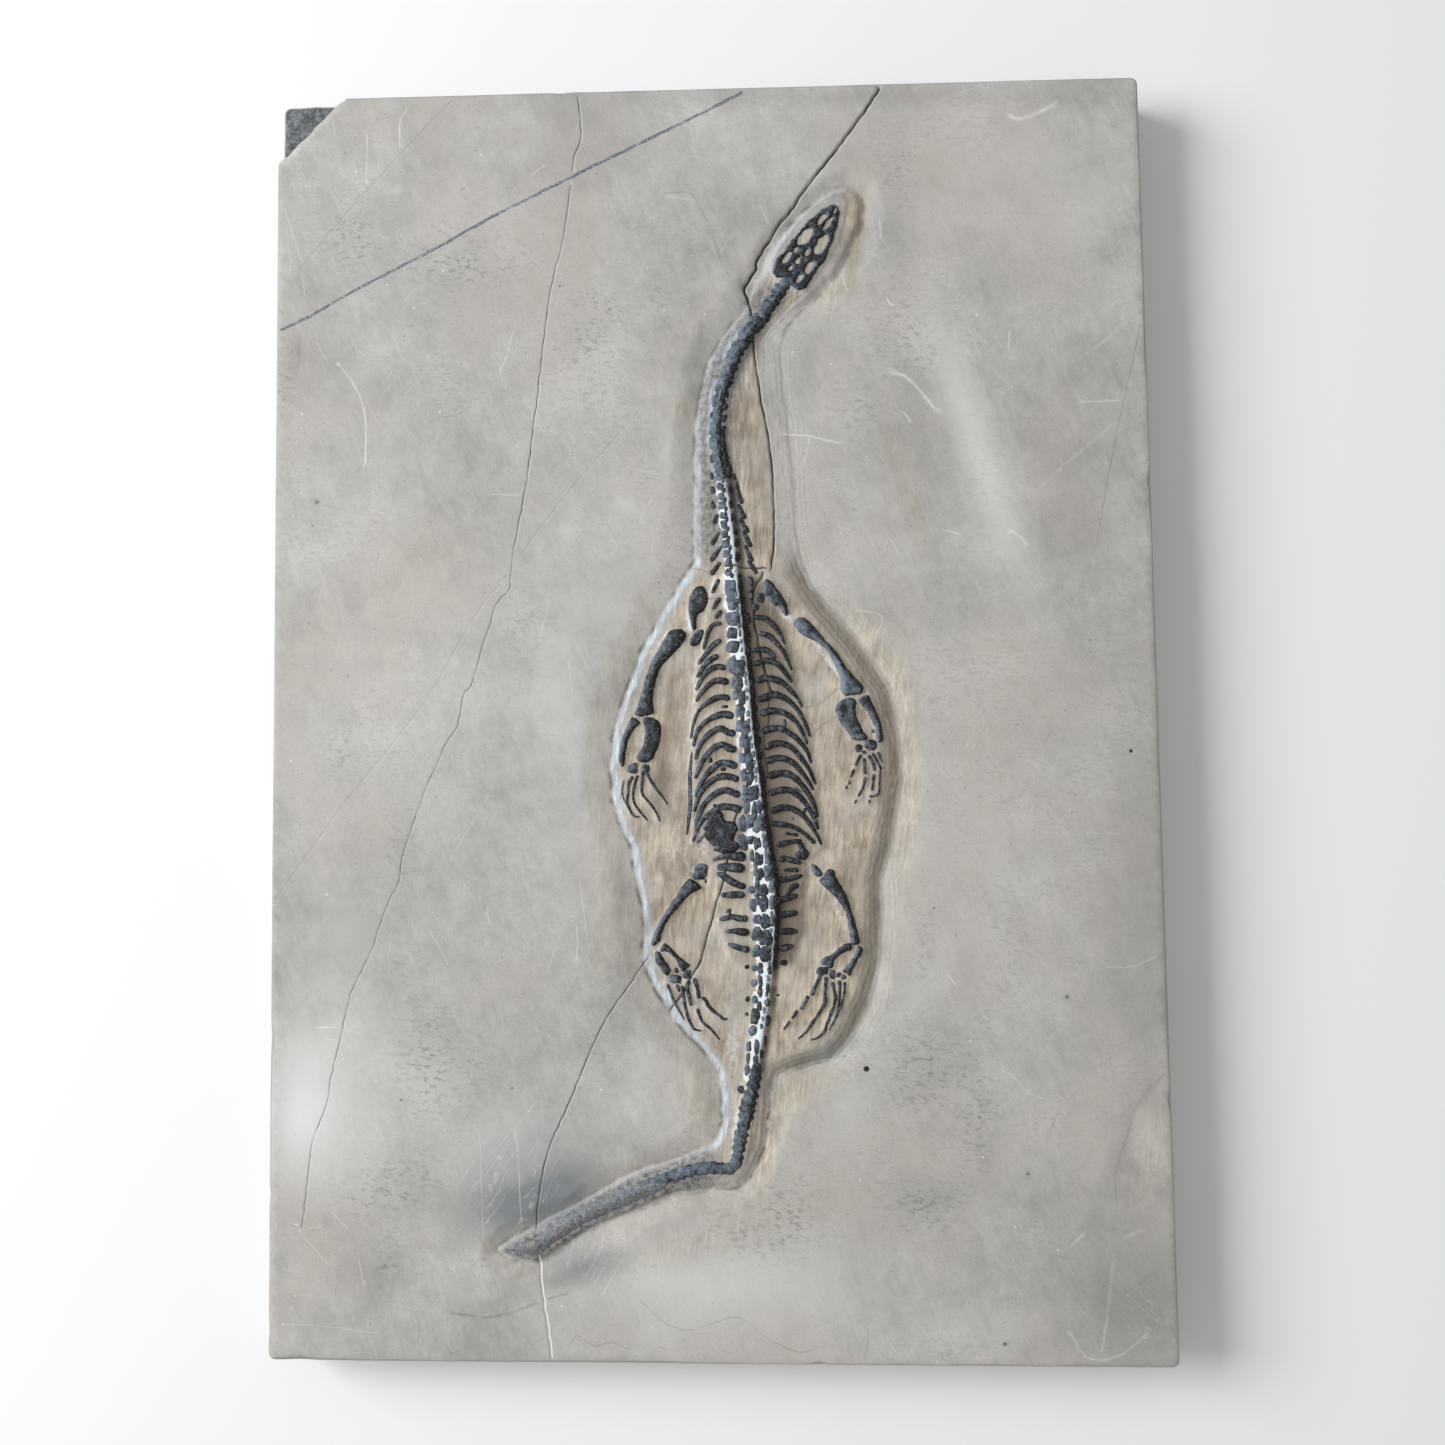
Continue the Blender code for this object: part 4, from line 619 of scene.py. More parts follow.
def line_distance(x, y, line):
    """Distance to a line of points, share of its length there, and +1 or -1 for its right or left."""
    best = np.full(np.shape(x), np.inf)
    along = np.zeros(np.shape(x))
    side = np.ones(np.shape(x))
    start = 0.0
    for a, b in zip(line, line[1:]):
        dx = b[0] - a[0]
        dy = b[1] - a[1]
        length = math.hypot(dx, dy)
        t = np.clip(((x - a[0]) * dx + (y - a[1]) * dy) / length ** 2, 0, 1)
        d = np.hypot(x - a[0] - t * dx, y - a[1] - t * dy)
        nearer = d < best
        best = np.where(nearer, d, best)
        along = np.where(nearer, start + t * length, along)
        side = np.where(nearer, np.where(dy * (x - a[0]) - dx * (y - a[1]) > 0, 1, -1), side)
        start += length
    return best, along / start, side


def inside(x, y, outline):
    """Which points lie inside an outline."""
    result = np.zeros(np.shape(x), bool)
    for a, b in zip(outline, outline[1:] + outline[:1]):
        if a[1] != b[1]:
            crosses = (a[1] > y) != (b[1] > y)
            result ^= crosses & (x < (b[0] - a[0]) * (y - a[1]) / (b[1] - a[1]) + a[0])
    return result


def depth_inside(x, y, outline):
    """How far inside an outline points lie, negative outside it."""
    distance = line_distance(x, y, outline + outline[:1])[0]
    return np.where(inside(x, y, outline), distance, -distance)


# Values for each pixel of the frame, worked out below and read by look_up()
FRAME_SIZE = 1446
ROWS, COLS = np.mgrid[0:FRAME_SIZE, 0:FRAME_SIZE].astype(float)


def window(points, margin):
    """The part of the frame round some points, as a pair of slices."""
    places = np.array([p[:2] for p in points], float)
    low = np.clip(np.floor(places.min(axis=0) - margin), 0, FRAME_SIZE - 1).astype(int)
    high = np.clip(np.ceil(places.max(axis=0) + margin), 0, FRAME_SIZE - 1).astype(int) + 1
    return slice(low[1], high[1]), slice(low[0], high[0])


def look_up(values, px, py):
    """A frame's values at some places, blended between its pixels."""
    px = np.clip(px, 0, FRAME_SIZE - 1.001)
    py = np.clip(py, 0, FRAME_SIZE - 1.001)
    i = py.astype(int)
    j = px.astype(int)
    s = py - i
    t = px - j
    top = values[i, j] * (1 - t) + values[i, j + 1] * t
    low = values[i + 1, j] * (1 - t) + values[i + 1, j + 1] * t
    return top * (1 - s) + low * s


def crest_profile(x, y):
    """The spine's height, how far to its right a point is, and its left slope's width, in pixels."""
    line = [p[:2] for p in CREST]
    steps = [0.0]
    for a, b in zip(line, line[1:]):
        steps.append(steps[-1] + math.dist(a, b))
    share = np.array(steps) / steps[-1]
    distance, along, side = line_distance(x, y, line)
    height, left, right = (np.interp(along, share, [p[k] for p in CREST]) for k in (2, 3, 4))
    slope = np.where(side > 0, right, left)
    out = np.clip(distance / slope, 0, 1)
    profile = np.where(side > 0, 1 - smooth(out), 1 - out ** 1.25)
    return height * profile, distance * side, left


# Bones drawn as outlines: the height in mm, the width of the rounded edge in pixels, the tone
# from 0, black, to 1, pale blue, and the outline in pixels
PATCHES = {
    "left_shoulder_blade": (
        (0.55, 4, 0.05, ((692, 592), (696, 587), (702, 586), (706, 590), (708.5, 597), (707, 605),
                         (703, 612), (698.5, 615), (696.5, 621), (696, 629), (692.5, 630),
                         (690.5, 622), (688.5, 612), (688.5, 602))),),
    "right_shoulder_blade": (
        (0.55, 4, 0.45, ((765, 580), (771, 581), (778, 590), (784, 598), (787, 605), (788, 614),
                         (785, 616), (779, 607), (775, 606), (769, 600), (764, 594))),),
    "left_collar_bone": (
        (0.4, 2, 0.2, ((696, 632), (700.5, 629.5), (703.5, 631), (703, 637), (700, 643), (696, 646),
                       (691, 646), (689.5, 641), (692, 637))),),
    "left_upper_arm": (
        (0.75, 7, 0.15, ((668, 633), (672, 630), (680, 629), (685, 632), (686, 636), (684, 642),
                         (676, 651), (668, 660), (661, 667), (657, 678), (654, 690), (653, 700),
                         (654, 713), (650, 715), (640, 717), (634, 713), (636, 710), (641, 695),
                         (645, 680), (650, 665), (655, 655), (661, 645))),),
    "right_upper_arm": (
        (0.75, 7, 0.6, ((793, 623), (797, 618), (803, 617), (808, 620), (815, 627), (823, 637),
                        (832, 647), (839, 655), (845, 665), (853, 675), (860, 682), (863.5, 688),
                        (860.5, 694), (850, 695.7), (844.5, 695.7), (840, 688), (840, 677),
                        (836, 667), (831, 657), (826, 650), (818, 643), (808, 638), (800, 633))),),
    "left_forearm_outer": (
        (0.5, 4, 0.2, ((631, 718), (638, 720), (640, 724), (634, 730), (629, 740), (626, 752),
                       (625, 762), (623, 768), (620, 764), (619, 755), (621, 742), (625, 731))),),
    "left_forearm_inner": (
        (0.5, 4, 0.1, ((643, 719), (650, 717), (657, 720), (661, 726), (661, 735), (659, 745),
                       (655, 755), (652, 760), (645, 763), (639, 761), (637, 757), (641, 750),
                       (644, 740), (645, 730))),),
    "right_forearm_inner": (
        (0.5, 4, 0.35, ((850, 697.5), (855, 699), (857, 702), (856, 705), (855.5, 710), (856, 715),
                        (858, 720), (860.5, 725), (863, 730), (866, 734), (868, 737.5), (866, 740),
                        (858, 741), (851, 739), (850, 735), (847, 731), (844, 727), (840.5, 723),
                        (838.5, 719), (837, 714), (835, 710), (836, 706), (839, 702.5),
                        (843, 699.5))),),
    "right_forearm_outer": (
        (0.5, 3, 0.35, ((863, 696), (868, 695), (870, 697), (872, 702), (875, 708), (877, 714),
                        (880, 720), (882, 727), (882.5, 733), (883.5, 738), (882, 742), (878, 742),
                        (877, 737), (876, 731), (874, 725), (871, 719), (868.5, 713), (865, 709),
                        (861, 705), (858, 702), (858, 700), (860, 698))),),
    "right_hip_bone": (
        (0.5, 3, 0.5, ((811.2, 864.5), (815.5, 865), (819.7, 868.8), (823, 873.6), (820.8, 876.3),
                       (817, 876.8), (813.3, 873.6), (811.2, 868.3))),),
    "left_thigh": (
        (0.6, 5, 0.35, ((690, 879), (695.8, 881.5), (702, 887.2), (699, 889.8), (692, 893.6),
                        (684.4, 900.6), (676.8, 909.4), (670.4, 917), (665.3, 926), (661.5, 934.8),
                        (660.3, 941), (657.7, 943.6), (654, 946.2), (651.4, 944.3), (652, 939.8),
                        (655.2, 931), (659, 923.4), (664, 914.5), (670.4, 904.4), (676.8, 895.5),
                        (681.8, 886.6), (686.3, 881.5))),),
    "right_thigh": (
        (0.6, 5, 0.2, ((827, 870), (831.5, 868.9), (834.6, 870.8), (835.3, 875.2), (839.7, 882.8),
                       (844.8, 891.7), (849.2, 901.8), (852.4, 913.2), (856.2, 925.9), (860, 941),
                       (858, 944.3), (852.4, 945), (851, 941), (849.2, 931), (846.7, 915.8),
                       (842.2, 906.9), (836, 898), (828.3, 890.4), (820.7, 883.4), (819.4, 879.6),
                       (823.2, 876.5))),),
    "left_shin_inner": (
        (0.45, 3, 0.25, ((664, 943), (668.5, 945), (674.2, 950.6), (680.6, 957), (686.9, 962),
                         (690, 965.2), (686.9, 969), (681.8, 971.5), (679.3, 967.7), (676.8, 961.4),
                         (671.7, 955), (666.6, 951.9), (661, 951.9), (659.6, 948.7))),),
    "left_shin_outer": (
        (0.45, 3, 0.25, ((655.8, 951.3), (660.3, 951.9), (661.5, 955), (664, 958.9), (667.9, 963.9),
                         (670.4, 969), (669.8, 974), (666.6, 976), (662.8, 972.8), (659.6, 967.7),
                         (655.8, 962.7), (655.2, 956.3))),),
    "right_shin_inner": (
        (0.45, 3, 0.3, ((851, 943), (851.7, 950), (846, 951.9), (841, 954.4), (835.9, 958.9),
                        (833.4, 963.9), (832.7, 967.7), (828.3, 968.4), (825.8, 965.2),
                        (821.3, 964.6), (820.7, 960), (827, 956.3), (834.6, 951.9), (841, 946.2),
                        (846, 943.7))),),
    "right_shin_outer": (
        (0.45, 3, 0.3, ((857.5, 946.2), (862.5, 947.5), (863.2, 950.6), (860, 956.3), (856.2, 963.9),
                        (852.4, 971.5), (849.2, 976.6), (846.7, 974), (841, 971.5), (846, 967.7),
                        (851, 960), (855, 953.8))),),
    "belly_mass": (
        (0.45, 3, 0.0, ((709.3, 813.3), (716.3, 810), (722.7, 812.8), (725.3, 820.3), (730, 821.3),
                        (735.5, 823), (738, 828.8), (735, 835.7), (734.4, 840.5), (739.7, 843.7),
                        (738.7, 849), (734.4, 852.3), (728, 853.3), (722.7, 854.4), (719.5, 852.3),
                        (713, 850), (715.2, 847), (711, 844.3), (707.7, 840.5), (705, 836.8),
                        (706.7, 833), (703, 828.8), (704.5, 825.6), (708.8, 819.2))),),
    "loose_vertebra": (
        (0.45, 3, 0.1, ((797, 843.5), (803, 842.5), (804.5, 847), (808.5, 851), (809, 856),
                        (804, 860), (797.5, 858.5), (795.5, 854), (799, 850))),),
}

# Bones drawn as strokes: the height over the half width, the tone, and pixel x, y and half width
DIGITS = {
    "left_hand": (
        (0.7, 0.2, ((633, 776, 1.6), (629, 783, 1.6), (628, 793, 1.4), (627, 802, 1.4),
                    (630, 810, 1.4), (634, 816, 1.2), (640, 817, 0.8))),
        (0.7, 0.2, ((638, 775, 1.5), (635, 783, 1.5), (633, 793, 1.3), (634, 802, 1.3),
                    (638, 809, 1.3), (643, 815, 1.1), (648, 821, 0.8))),
        (0.7, 0.2, ((643, 774, 1.5), (642, 783, 1.5), (642, 793, 1.3), (647, 800, 1.2),
                    (652, 806, 1.2), (657, 814, 1), (660, 822, 0.8))),
        (0.7, 0.2, ((646, 772, 1.5), (651, 781, 1.4), (657, 790, 1.2), (662, 796, 1.1),
                    (668, 805, 0.8))),
        (0.5, 0.5, ((624, 780, 1), (622, 790, 1), (624, 800, 0.9), (629, 808, 0.7)))),
    "right_hand": (
        (0.7, 0.3, ((861, 754.5, 2), (857, 762, 1.4), (855.5, 766, 1.8))),
        (0.7, 0.3, ((854, 769, 1.6), (850.5, 777.5, 1.2))),
        (0.7, 0.2, ((849.5, 780.5, 1.2), (849, 785, 1))),
        (0.7, 0.2, ((846.8, 785.5, 1.1), (846, 789.5, 0.8))),
        (0.7, 0.3, ((864, 758, 1.9), (864.5, 766, 1.5), (865, 774.5, 1.8))),
        (0.7, 0.3, ((865.5, 777, 1.6), (863, 787.5, 1.3), (860, 793, 1.4), (858, 797, 1))),
        (0.7, 0.2, ((856.5, 799.5, 1.1), (854.5, 804, 0.8))),
        (0.7, 0.3, ((868, 755, 2), (872.5, 762, 1.6), (874.7, 771, 1.9))),
        (0.7, 0.3, ((874, 774, 1.8), (873, 782, 1.3), (872, 790.5, 1.5))),
        (0.7, 0.2, ((870.5, 795, 1.3), (870, 797, 1.2))),
        (0.7, 0.2, ((869.5, 800, 1.1), (869, 803.5, 0.7))),
        (0.7, 0.3, ((872, 753, 1.9), (877, 761, 1.5), (881.5, 770, 1.8))),
        (0.7, 0.3, ((880, 770, 1.7), (879.5, 781, 1.2), (878.5, 793, 1.2), (874, 796, 1),
                    (870, 797, 0.7))),
        (0.7, 0.3, ((878, 752, 1.6), (880, 757, 1.5), (882.5, 763, 1.1)))),
    "left_foot": (
        (0.7, 0.2, ((693.9, 977.9, 2.2), (695.8, 983, 2), (697.7, 989.3, 1.8), (699, 998.8, 2))),
        (0.7, 0.2, ((702, 996.9, 1.8), (706, 1000.7, 1.7), (708.4, 1005.8, 1.9), (714.8, 1012, 1.7),
                    (721, 1016.5, 1.4), (723, 1019, 1.5), (727.5, 1018.4, 1))),
        (0.7, 0.2, ((688.8, 980.4, 2), (687.5, 989.3, 1.7), (689.4, 996.9, 1.7), (690.7, 1005.8, 2))),
        (0.7, 0.2, ((697, 1008.3, 1.6), (700.8, 1018.4, 1.4), (703.4, 1022.9, 1.5),
                    (711, 1029.2, 1.3), (719.8, 1040, 0.8))),
        (0.7, 0.3, ((681.8, 985.5, 1.8), (684.4, 1002, 1.5), (687.5, 1015.9, 1.7),
                    (690.7, 1023.5, 1.6), (694.5, 1029.2, 1.3), (702, 1031, 0.9))),
        (0.7, 0.3, ((676.8, 984, 1.7), (679.3, 991.8, 1.4))),
        (0.7, 0.4, ((667.3, 984, 1.5), (670.4, 991.8, 1.3), (673.6, 1000.7, 1.3),
                    (679.3, 1010.8, 1.2), (684.4, 1019.7, 0.9))),
        (0.7, 0.2, ((675, 967.5, 2), (677.5, 973, 2)))),
    "right_foot": (
        (0.7, 0.3, ((821.3, 972.8, 2.2), (817.5, 981.7, 1.8), (814.4, 988, 1.8),
                    (811.8, 995.6, 2.2))),
        (0.7, 0.3, ((808, 995.6, 2.2), (805.5, 1002, 1.6), (800.4, 1009.6, 1.9))),
        (0.7, 0.3, ((797.2, 1010.2, 1.8), (794, 1015.9, 1.4), (791.5, 1018.4, 1.6))),
        (0.7, 0.3, ((789.6, 1021, 1.5), (786.5, 1026, 1.2), (783.3, 1029.8, 0.9))),
        (0.7, 0.3, ((825.8, 976.6, 2.2), (825, 991.8, 1.5), (824.5, 1003.2, 2), (818.2, 1014.6, 1.4),
                    (811.8, 1023.5, 1.8), (806.8, 1031, 1.2), (797.9, 1039.3, 0.9))),
        (0.7, 0.3, ((832, 981.7, 2), (834, 990.5, 1.4), (835.3, 998, 1.9), (833.4, 1007, 1.3),
                    (830.8, 1013.4, 1.7), (827, 1023.5, 1.2), (824.5, 1031, 1.5),
                    (818.2, 1037.4, 1.2), (810.6, 1040, 0.9))),
        (0.7, 0.3, ((839, 980.4, 1.8), (839.7, 991.8, 1.3), (837.8, 1010.8, 1.5),
                    (835.3, 1018.4, 1.2), (829, 1030.5, 0.9))),
        (0.7, 0.3, ((844.8, 981.7, 1.5), (844.1, 994.4, 1.2), (841, 1005, 1.2), (839, 1012, 0.8)))),
    "broken_rib_end": (
        (0.8, 0.05, ((785.5, 833.3, 2.4), (788, 833.6, 1.6), (791, 834.4, 1.3), (794, 834.6, 1.8),
                     (798, 834.9, 2.4))),),
}

# Bones drawn as lumps: left, right, top and bottom in pixels, and the tone
LUMPS = {
    "left_hand": ((627.5, 638.5, 763, 773.5, 0.4), (642.5, 649.5, 764.5, 773, 0.15),
                  (641, 645, 771, 775, 0.2)),
    "right_hand": ((864, 876.5, 739.5, 750.5, 0.4), (854.5, 862.5, 744, 752, 0.25),
                   (861.8, 866.2, 750, 754.6, 0.2), (871, 874.4, 729.2, 732.8, 0.1)),
    "left_foot": ((682.5, 692, 969.5, 979, 0.2), (668.5, 682.5, 973.6, 984, 0.25)),
    "right_foot": ((816.5, 827.5, 966.5, 974.5, 0.2), (829, 835.5, 969, 979, 0.3),
                   (835.5, 840.5, 972.3, 977.6, 0.3), (841.2, 845.8, 974.6, 979.4, 0.3)),
    "left_hip_bone": ((692.5, 709, 863.5, 880, 0.3),),
}

# The spine's vertebrae: left, right, top and bottom in pixels, and the tone
VERTEBRAE = (
    (724.5, 735.5, 581, 596, 0.75), (727, 738, 598, 610.5, 0.7), (728, 740, 612.5, 625.5, 0.55),
    (728, 737, 629, 639, 0.3), (728, 740, 642, 652.5, 0.4), (729, 737, 659.5, 674, 0.7),
    (735, 744.5, 662, 677, 0.3), (732, 738.5, 676.7, 688, 0.7), (736, 742.5, 679, 694, 0.1),
    (732.8, 738.8, 692, 700, 0.8), (738.5, 744.5, 692, 706, 0.2), (735.6, 741.6, 706.5, 716, 0.8),
    (740.6, 744.6, 709, 722, 0.15), (736.5, 743.5, 721.7, 731.5, 0.8),
    (741.6, 749.6, 724, 737, 0.45), (739.3, 744.9, 736.7, 747, 0.75),
    (744.2, 750.5, 738.6, 753.5, 0.25), (739.8, 745.8, 753, 763.3, 0.8),
    (745.2, 753.4, 754.4, 769.4, 0.25), (741.2, 746.8, 769.4, 779.6, 0.75),
    (746.8, 753.4, 771.2, 785.2, 0.1), (742.6, 749, 786.2, 795.5, 0.75), (748.8, 758, 787, 800, 0.15),
    (743.5, 750.4, 796.4, 812.8, 0.65), (752.3, 757, 803, 816, 0.2), (756.5, 762, 801, 812.8, 0.7),
    (739.7, 746.2, 816, 832, 0.5), (745.8, 754.7, 816, 827.7, 0.6), (754.5, 764.3, 817.6, 832, 0.65),
    (738, 746, 834, 842.7, 0.7), (746.5, 753.6, 836.3, 844.3, 0.4), (753.4, 760.6, 836.8, 849, 0.3),
    (763, 768.2, 834, 847, 0.8), (739.5, 747.4, 842.7, 849.6, 0.4), (749.8, 754.3, 851, 860.8, 0.7),
    (754.5, 764, 853.3, 864.5, 0.1), (765, 771, 852, 863, 0.75), (753.4, 757, 862, 874.7, 0.7),
    (756.6, 763.4, 868.3, 879, 0.1), (764.3, 773.9, 864, 877.9, 0.6), (748.3, 754.8, 886.4, 892.8, 0.7),
    (754.5, 759.2, 878.4, 891.7, 0.6), (758.8, 767.6, 883.7, 895, 0.1), (769.4, 774.6, 881, 891.7, 0.8),
    (750.2, 755.4, 899.2, 911, 0.7), (755, 759.7, 892.8, 905.6, 0.6), (759.3, 768.6, 898, 911, 0.1),
    (769.8, 774.6, 896, 908, 0.7), (753.4, 762.2, 915.2, 923.7, 0.55), (761.8, 770.8, 914, 928.5, 0.1),
    (752.3, 762.8, 928, 940, 0.5), (761, 771.8, 931, 944, 0.1), (753, 760.2, 944, 955.7, 0.5),
    (760, 770.8, 947, 960, 0.05), (770, 774.5, 915, 926, 0.7))
# Small dark bones along the foot of the spine's right side
SPINE_FOOT = (
    (748, 754, 576, 588, 0), (749, 754, 590, 600, 0), (757, 765, 592, 604, 0.1),
    (753, 759, 603, 611, 0.05), (746, 751, 613, 625, 0), (746.5, 751, 629, 645, 0),
    (747, 751.5, 647, 656, 0), (747.5, 752, 661, 672, 0), (750, 755, 677, 687, 0),
    (751, 756, 689, 698, 0), (754, 758, 705, 713, 0), (756, 760, 721, 731, 0),
    (757, 761, 737, 746, 0), (759, 763, 752, 761, 0), (761, 765, 770, 779, 0))
# Dark bones along the neck's right side: the middle, half width, top and bottom in pixels
NECK_SPOTS = (
    (727, 1.5, 393, 399), (726.5, 1.5, 404, 409), (725.5, 1.5, 415, 419.5), (724.5, 1.6, 426, 431),
    (723.5, 1.7, 435, 440), (724.5, 2, 447, 454), (727, 2.2, 459, 467), (729.5, 2.4, 471, 480),
    (730.5, 2.4, 486, 494), (731, 2.4, 501, 509), (733.5, 2.5, 514, 522), (735.5, 2.5, 528, 536),
    (736.5, 2.6, 539, 548), (738, 2.8, 552, 562))


def blend_run(a, b, u, v, step):
    """Points of a smooth run from a, with slope u, up to but not at b, with slope v."""
    count = max(1, round(math.dist(a[:2], b[:2]) / step))
    t = np.arange(count)[:, None] / count
    return ((2 * t ** 3 - 3 * t ** 2 + 1) * a + (t ** 3 - 2 * t ** 2 + t) * u
            + (3 * t ** 2 - 2 * t ** 3) * b + (t ** 3 - t ** 2) * v)


def curve_through(points, step):
    """Points along a smooth curve through the given ones, about a step apart, widths included."""
    points = np.array(points, float)
    if len(points) == 2:
        points = np.array((points[0], points.mean(axis=0), points[1]))
    padded = np.vstack((2 * points[0] - points[1], points, 2 * points[-1] - points[-2]))
    slopes = (padded[2:] - padded[:-2]) / 2
    runs = [blend_run(*each, step) for each in zip(points, points[1:], slopes, slopes[1:])]
    return np.vstack((*runs, points[-1:]))


def rounded_loop(outline, step):
    """A smooth closed line through an outline's points, about a step apart."""
    points = np.array(outline, float)
    slopes = (np.roll(points, -1, axis=0) - np.roll(points, 1, axis=0)) / 2
    ends = np.roll(points, -1, axis=0)
    end_slopes = np.roll(slopes, -1, axis=0)
    runs = [blend_run(*each, step) for each in zip(points, ends, slopes, end_slopes)]
    return np.vstack(runs)


def closed(outline, margin=14):
    """How far inside an outline each pixel round it lies, and the window that holds them."""
    where = window(outline, margin)
    return where, depth_inside(COLS[where], ROWS[where], outline)


def stamp(values, centre, reach, amount, lean=0):
    """Add a soft spot to a frame's values: its reach across and down, and its lean in degrees."""
    size = max(reach) * 2.6
    where = window((centre,), size)
    x = COLS[where] - centre[0]
    y = ROWS[where] - centre[1]
    c = math.cos(math.radians(lean))
    s = math.sin(math.radians(lean))
    u = (x * c + y * s) / reach[0]
    v = (y * c - x * s) / reach[1]
    values[where] += amount * np.exp(-(u * u + v * v))


def stamp_all(values, spots):
    """Add every soft spot of a table to a frame's values, and return them."""
    for centre, reach, amount, lean in spots:
        stamp(values, centre, reach, amount, lean)
    return values


def bone_lines():
    """Every bone's middle line with its half widths, and every bone's outline, in pixels."""
    strokes = [*LEFT_RIBS, *RIGHT_RIBS, *LEFT_LOWER_RIBS, *RIGHT_LOWER_RIBS, FORKED_RIB]
    for digits in DIGITS.values():
        strokes += [stroke for _, _, stroke in digits]
    outlines = [patch[3] for patches in PATCHES.values() for patch in patches]
    return strokes, outlines


def pedestals():
    """How near each pixel is to a bone: 1 under a bone, falling to 0 a few pixels away."""
    near = np.zeros((FRAME_SIZE, FRAME_SIZE))
    strokes, outlines = bone_lines()
    for stroke in strokes:
        where = window(stroke, 9)
        widths = [p[2] for p in stroke]
        distance = line_distance(COLS[where], ROWS[where], [p[:2] for p in stroke])[0]
        edge = distance - np.mean(widths)
        near[where] = np.maximum(near[where], 1 - np.clip(edge / 3.0, 0, 1))
    for outline in outlines:
        where, depth = closed(outline, 9)
        near[where] = np.maximum(near[where], 1 - np.clip(-depth / 3.5, 0, 1))
    return near


def terraced(height, step, sharpness):
    """Heights drawn towards even steps, as split layers of stone show."""
    level = height / step
    floor = np.floor(level)
    part = level - floor
    stepped = floor + smooth((part - 0.5) * sharpness + 0.5)
    return stepped * step


def chip_waver(x, y):
    """How the broken corner's edge wavers, in pixels."""
    return 0.9 * noise(x, y, 9, 21, 2)


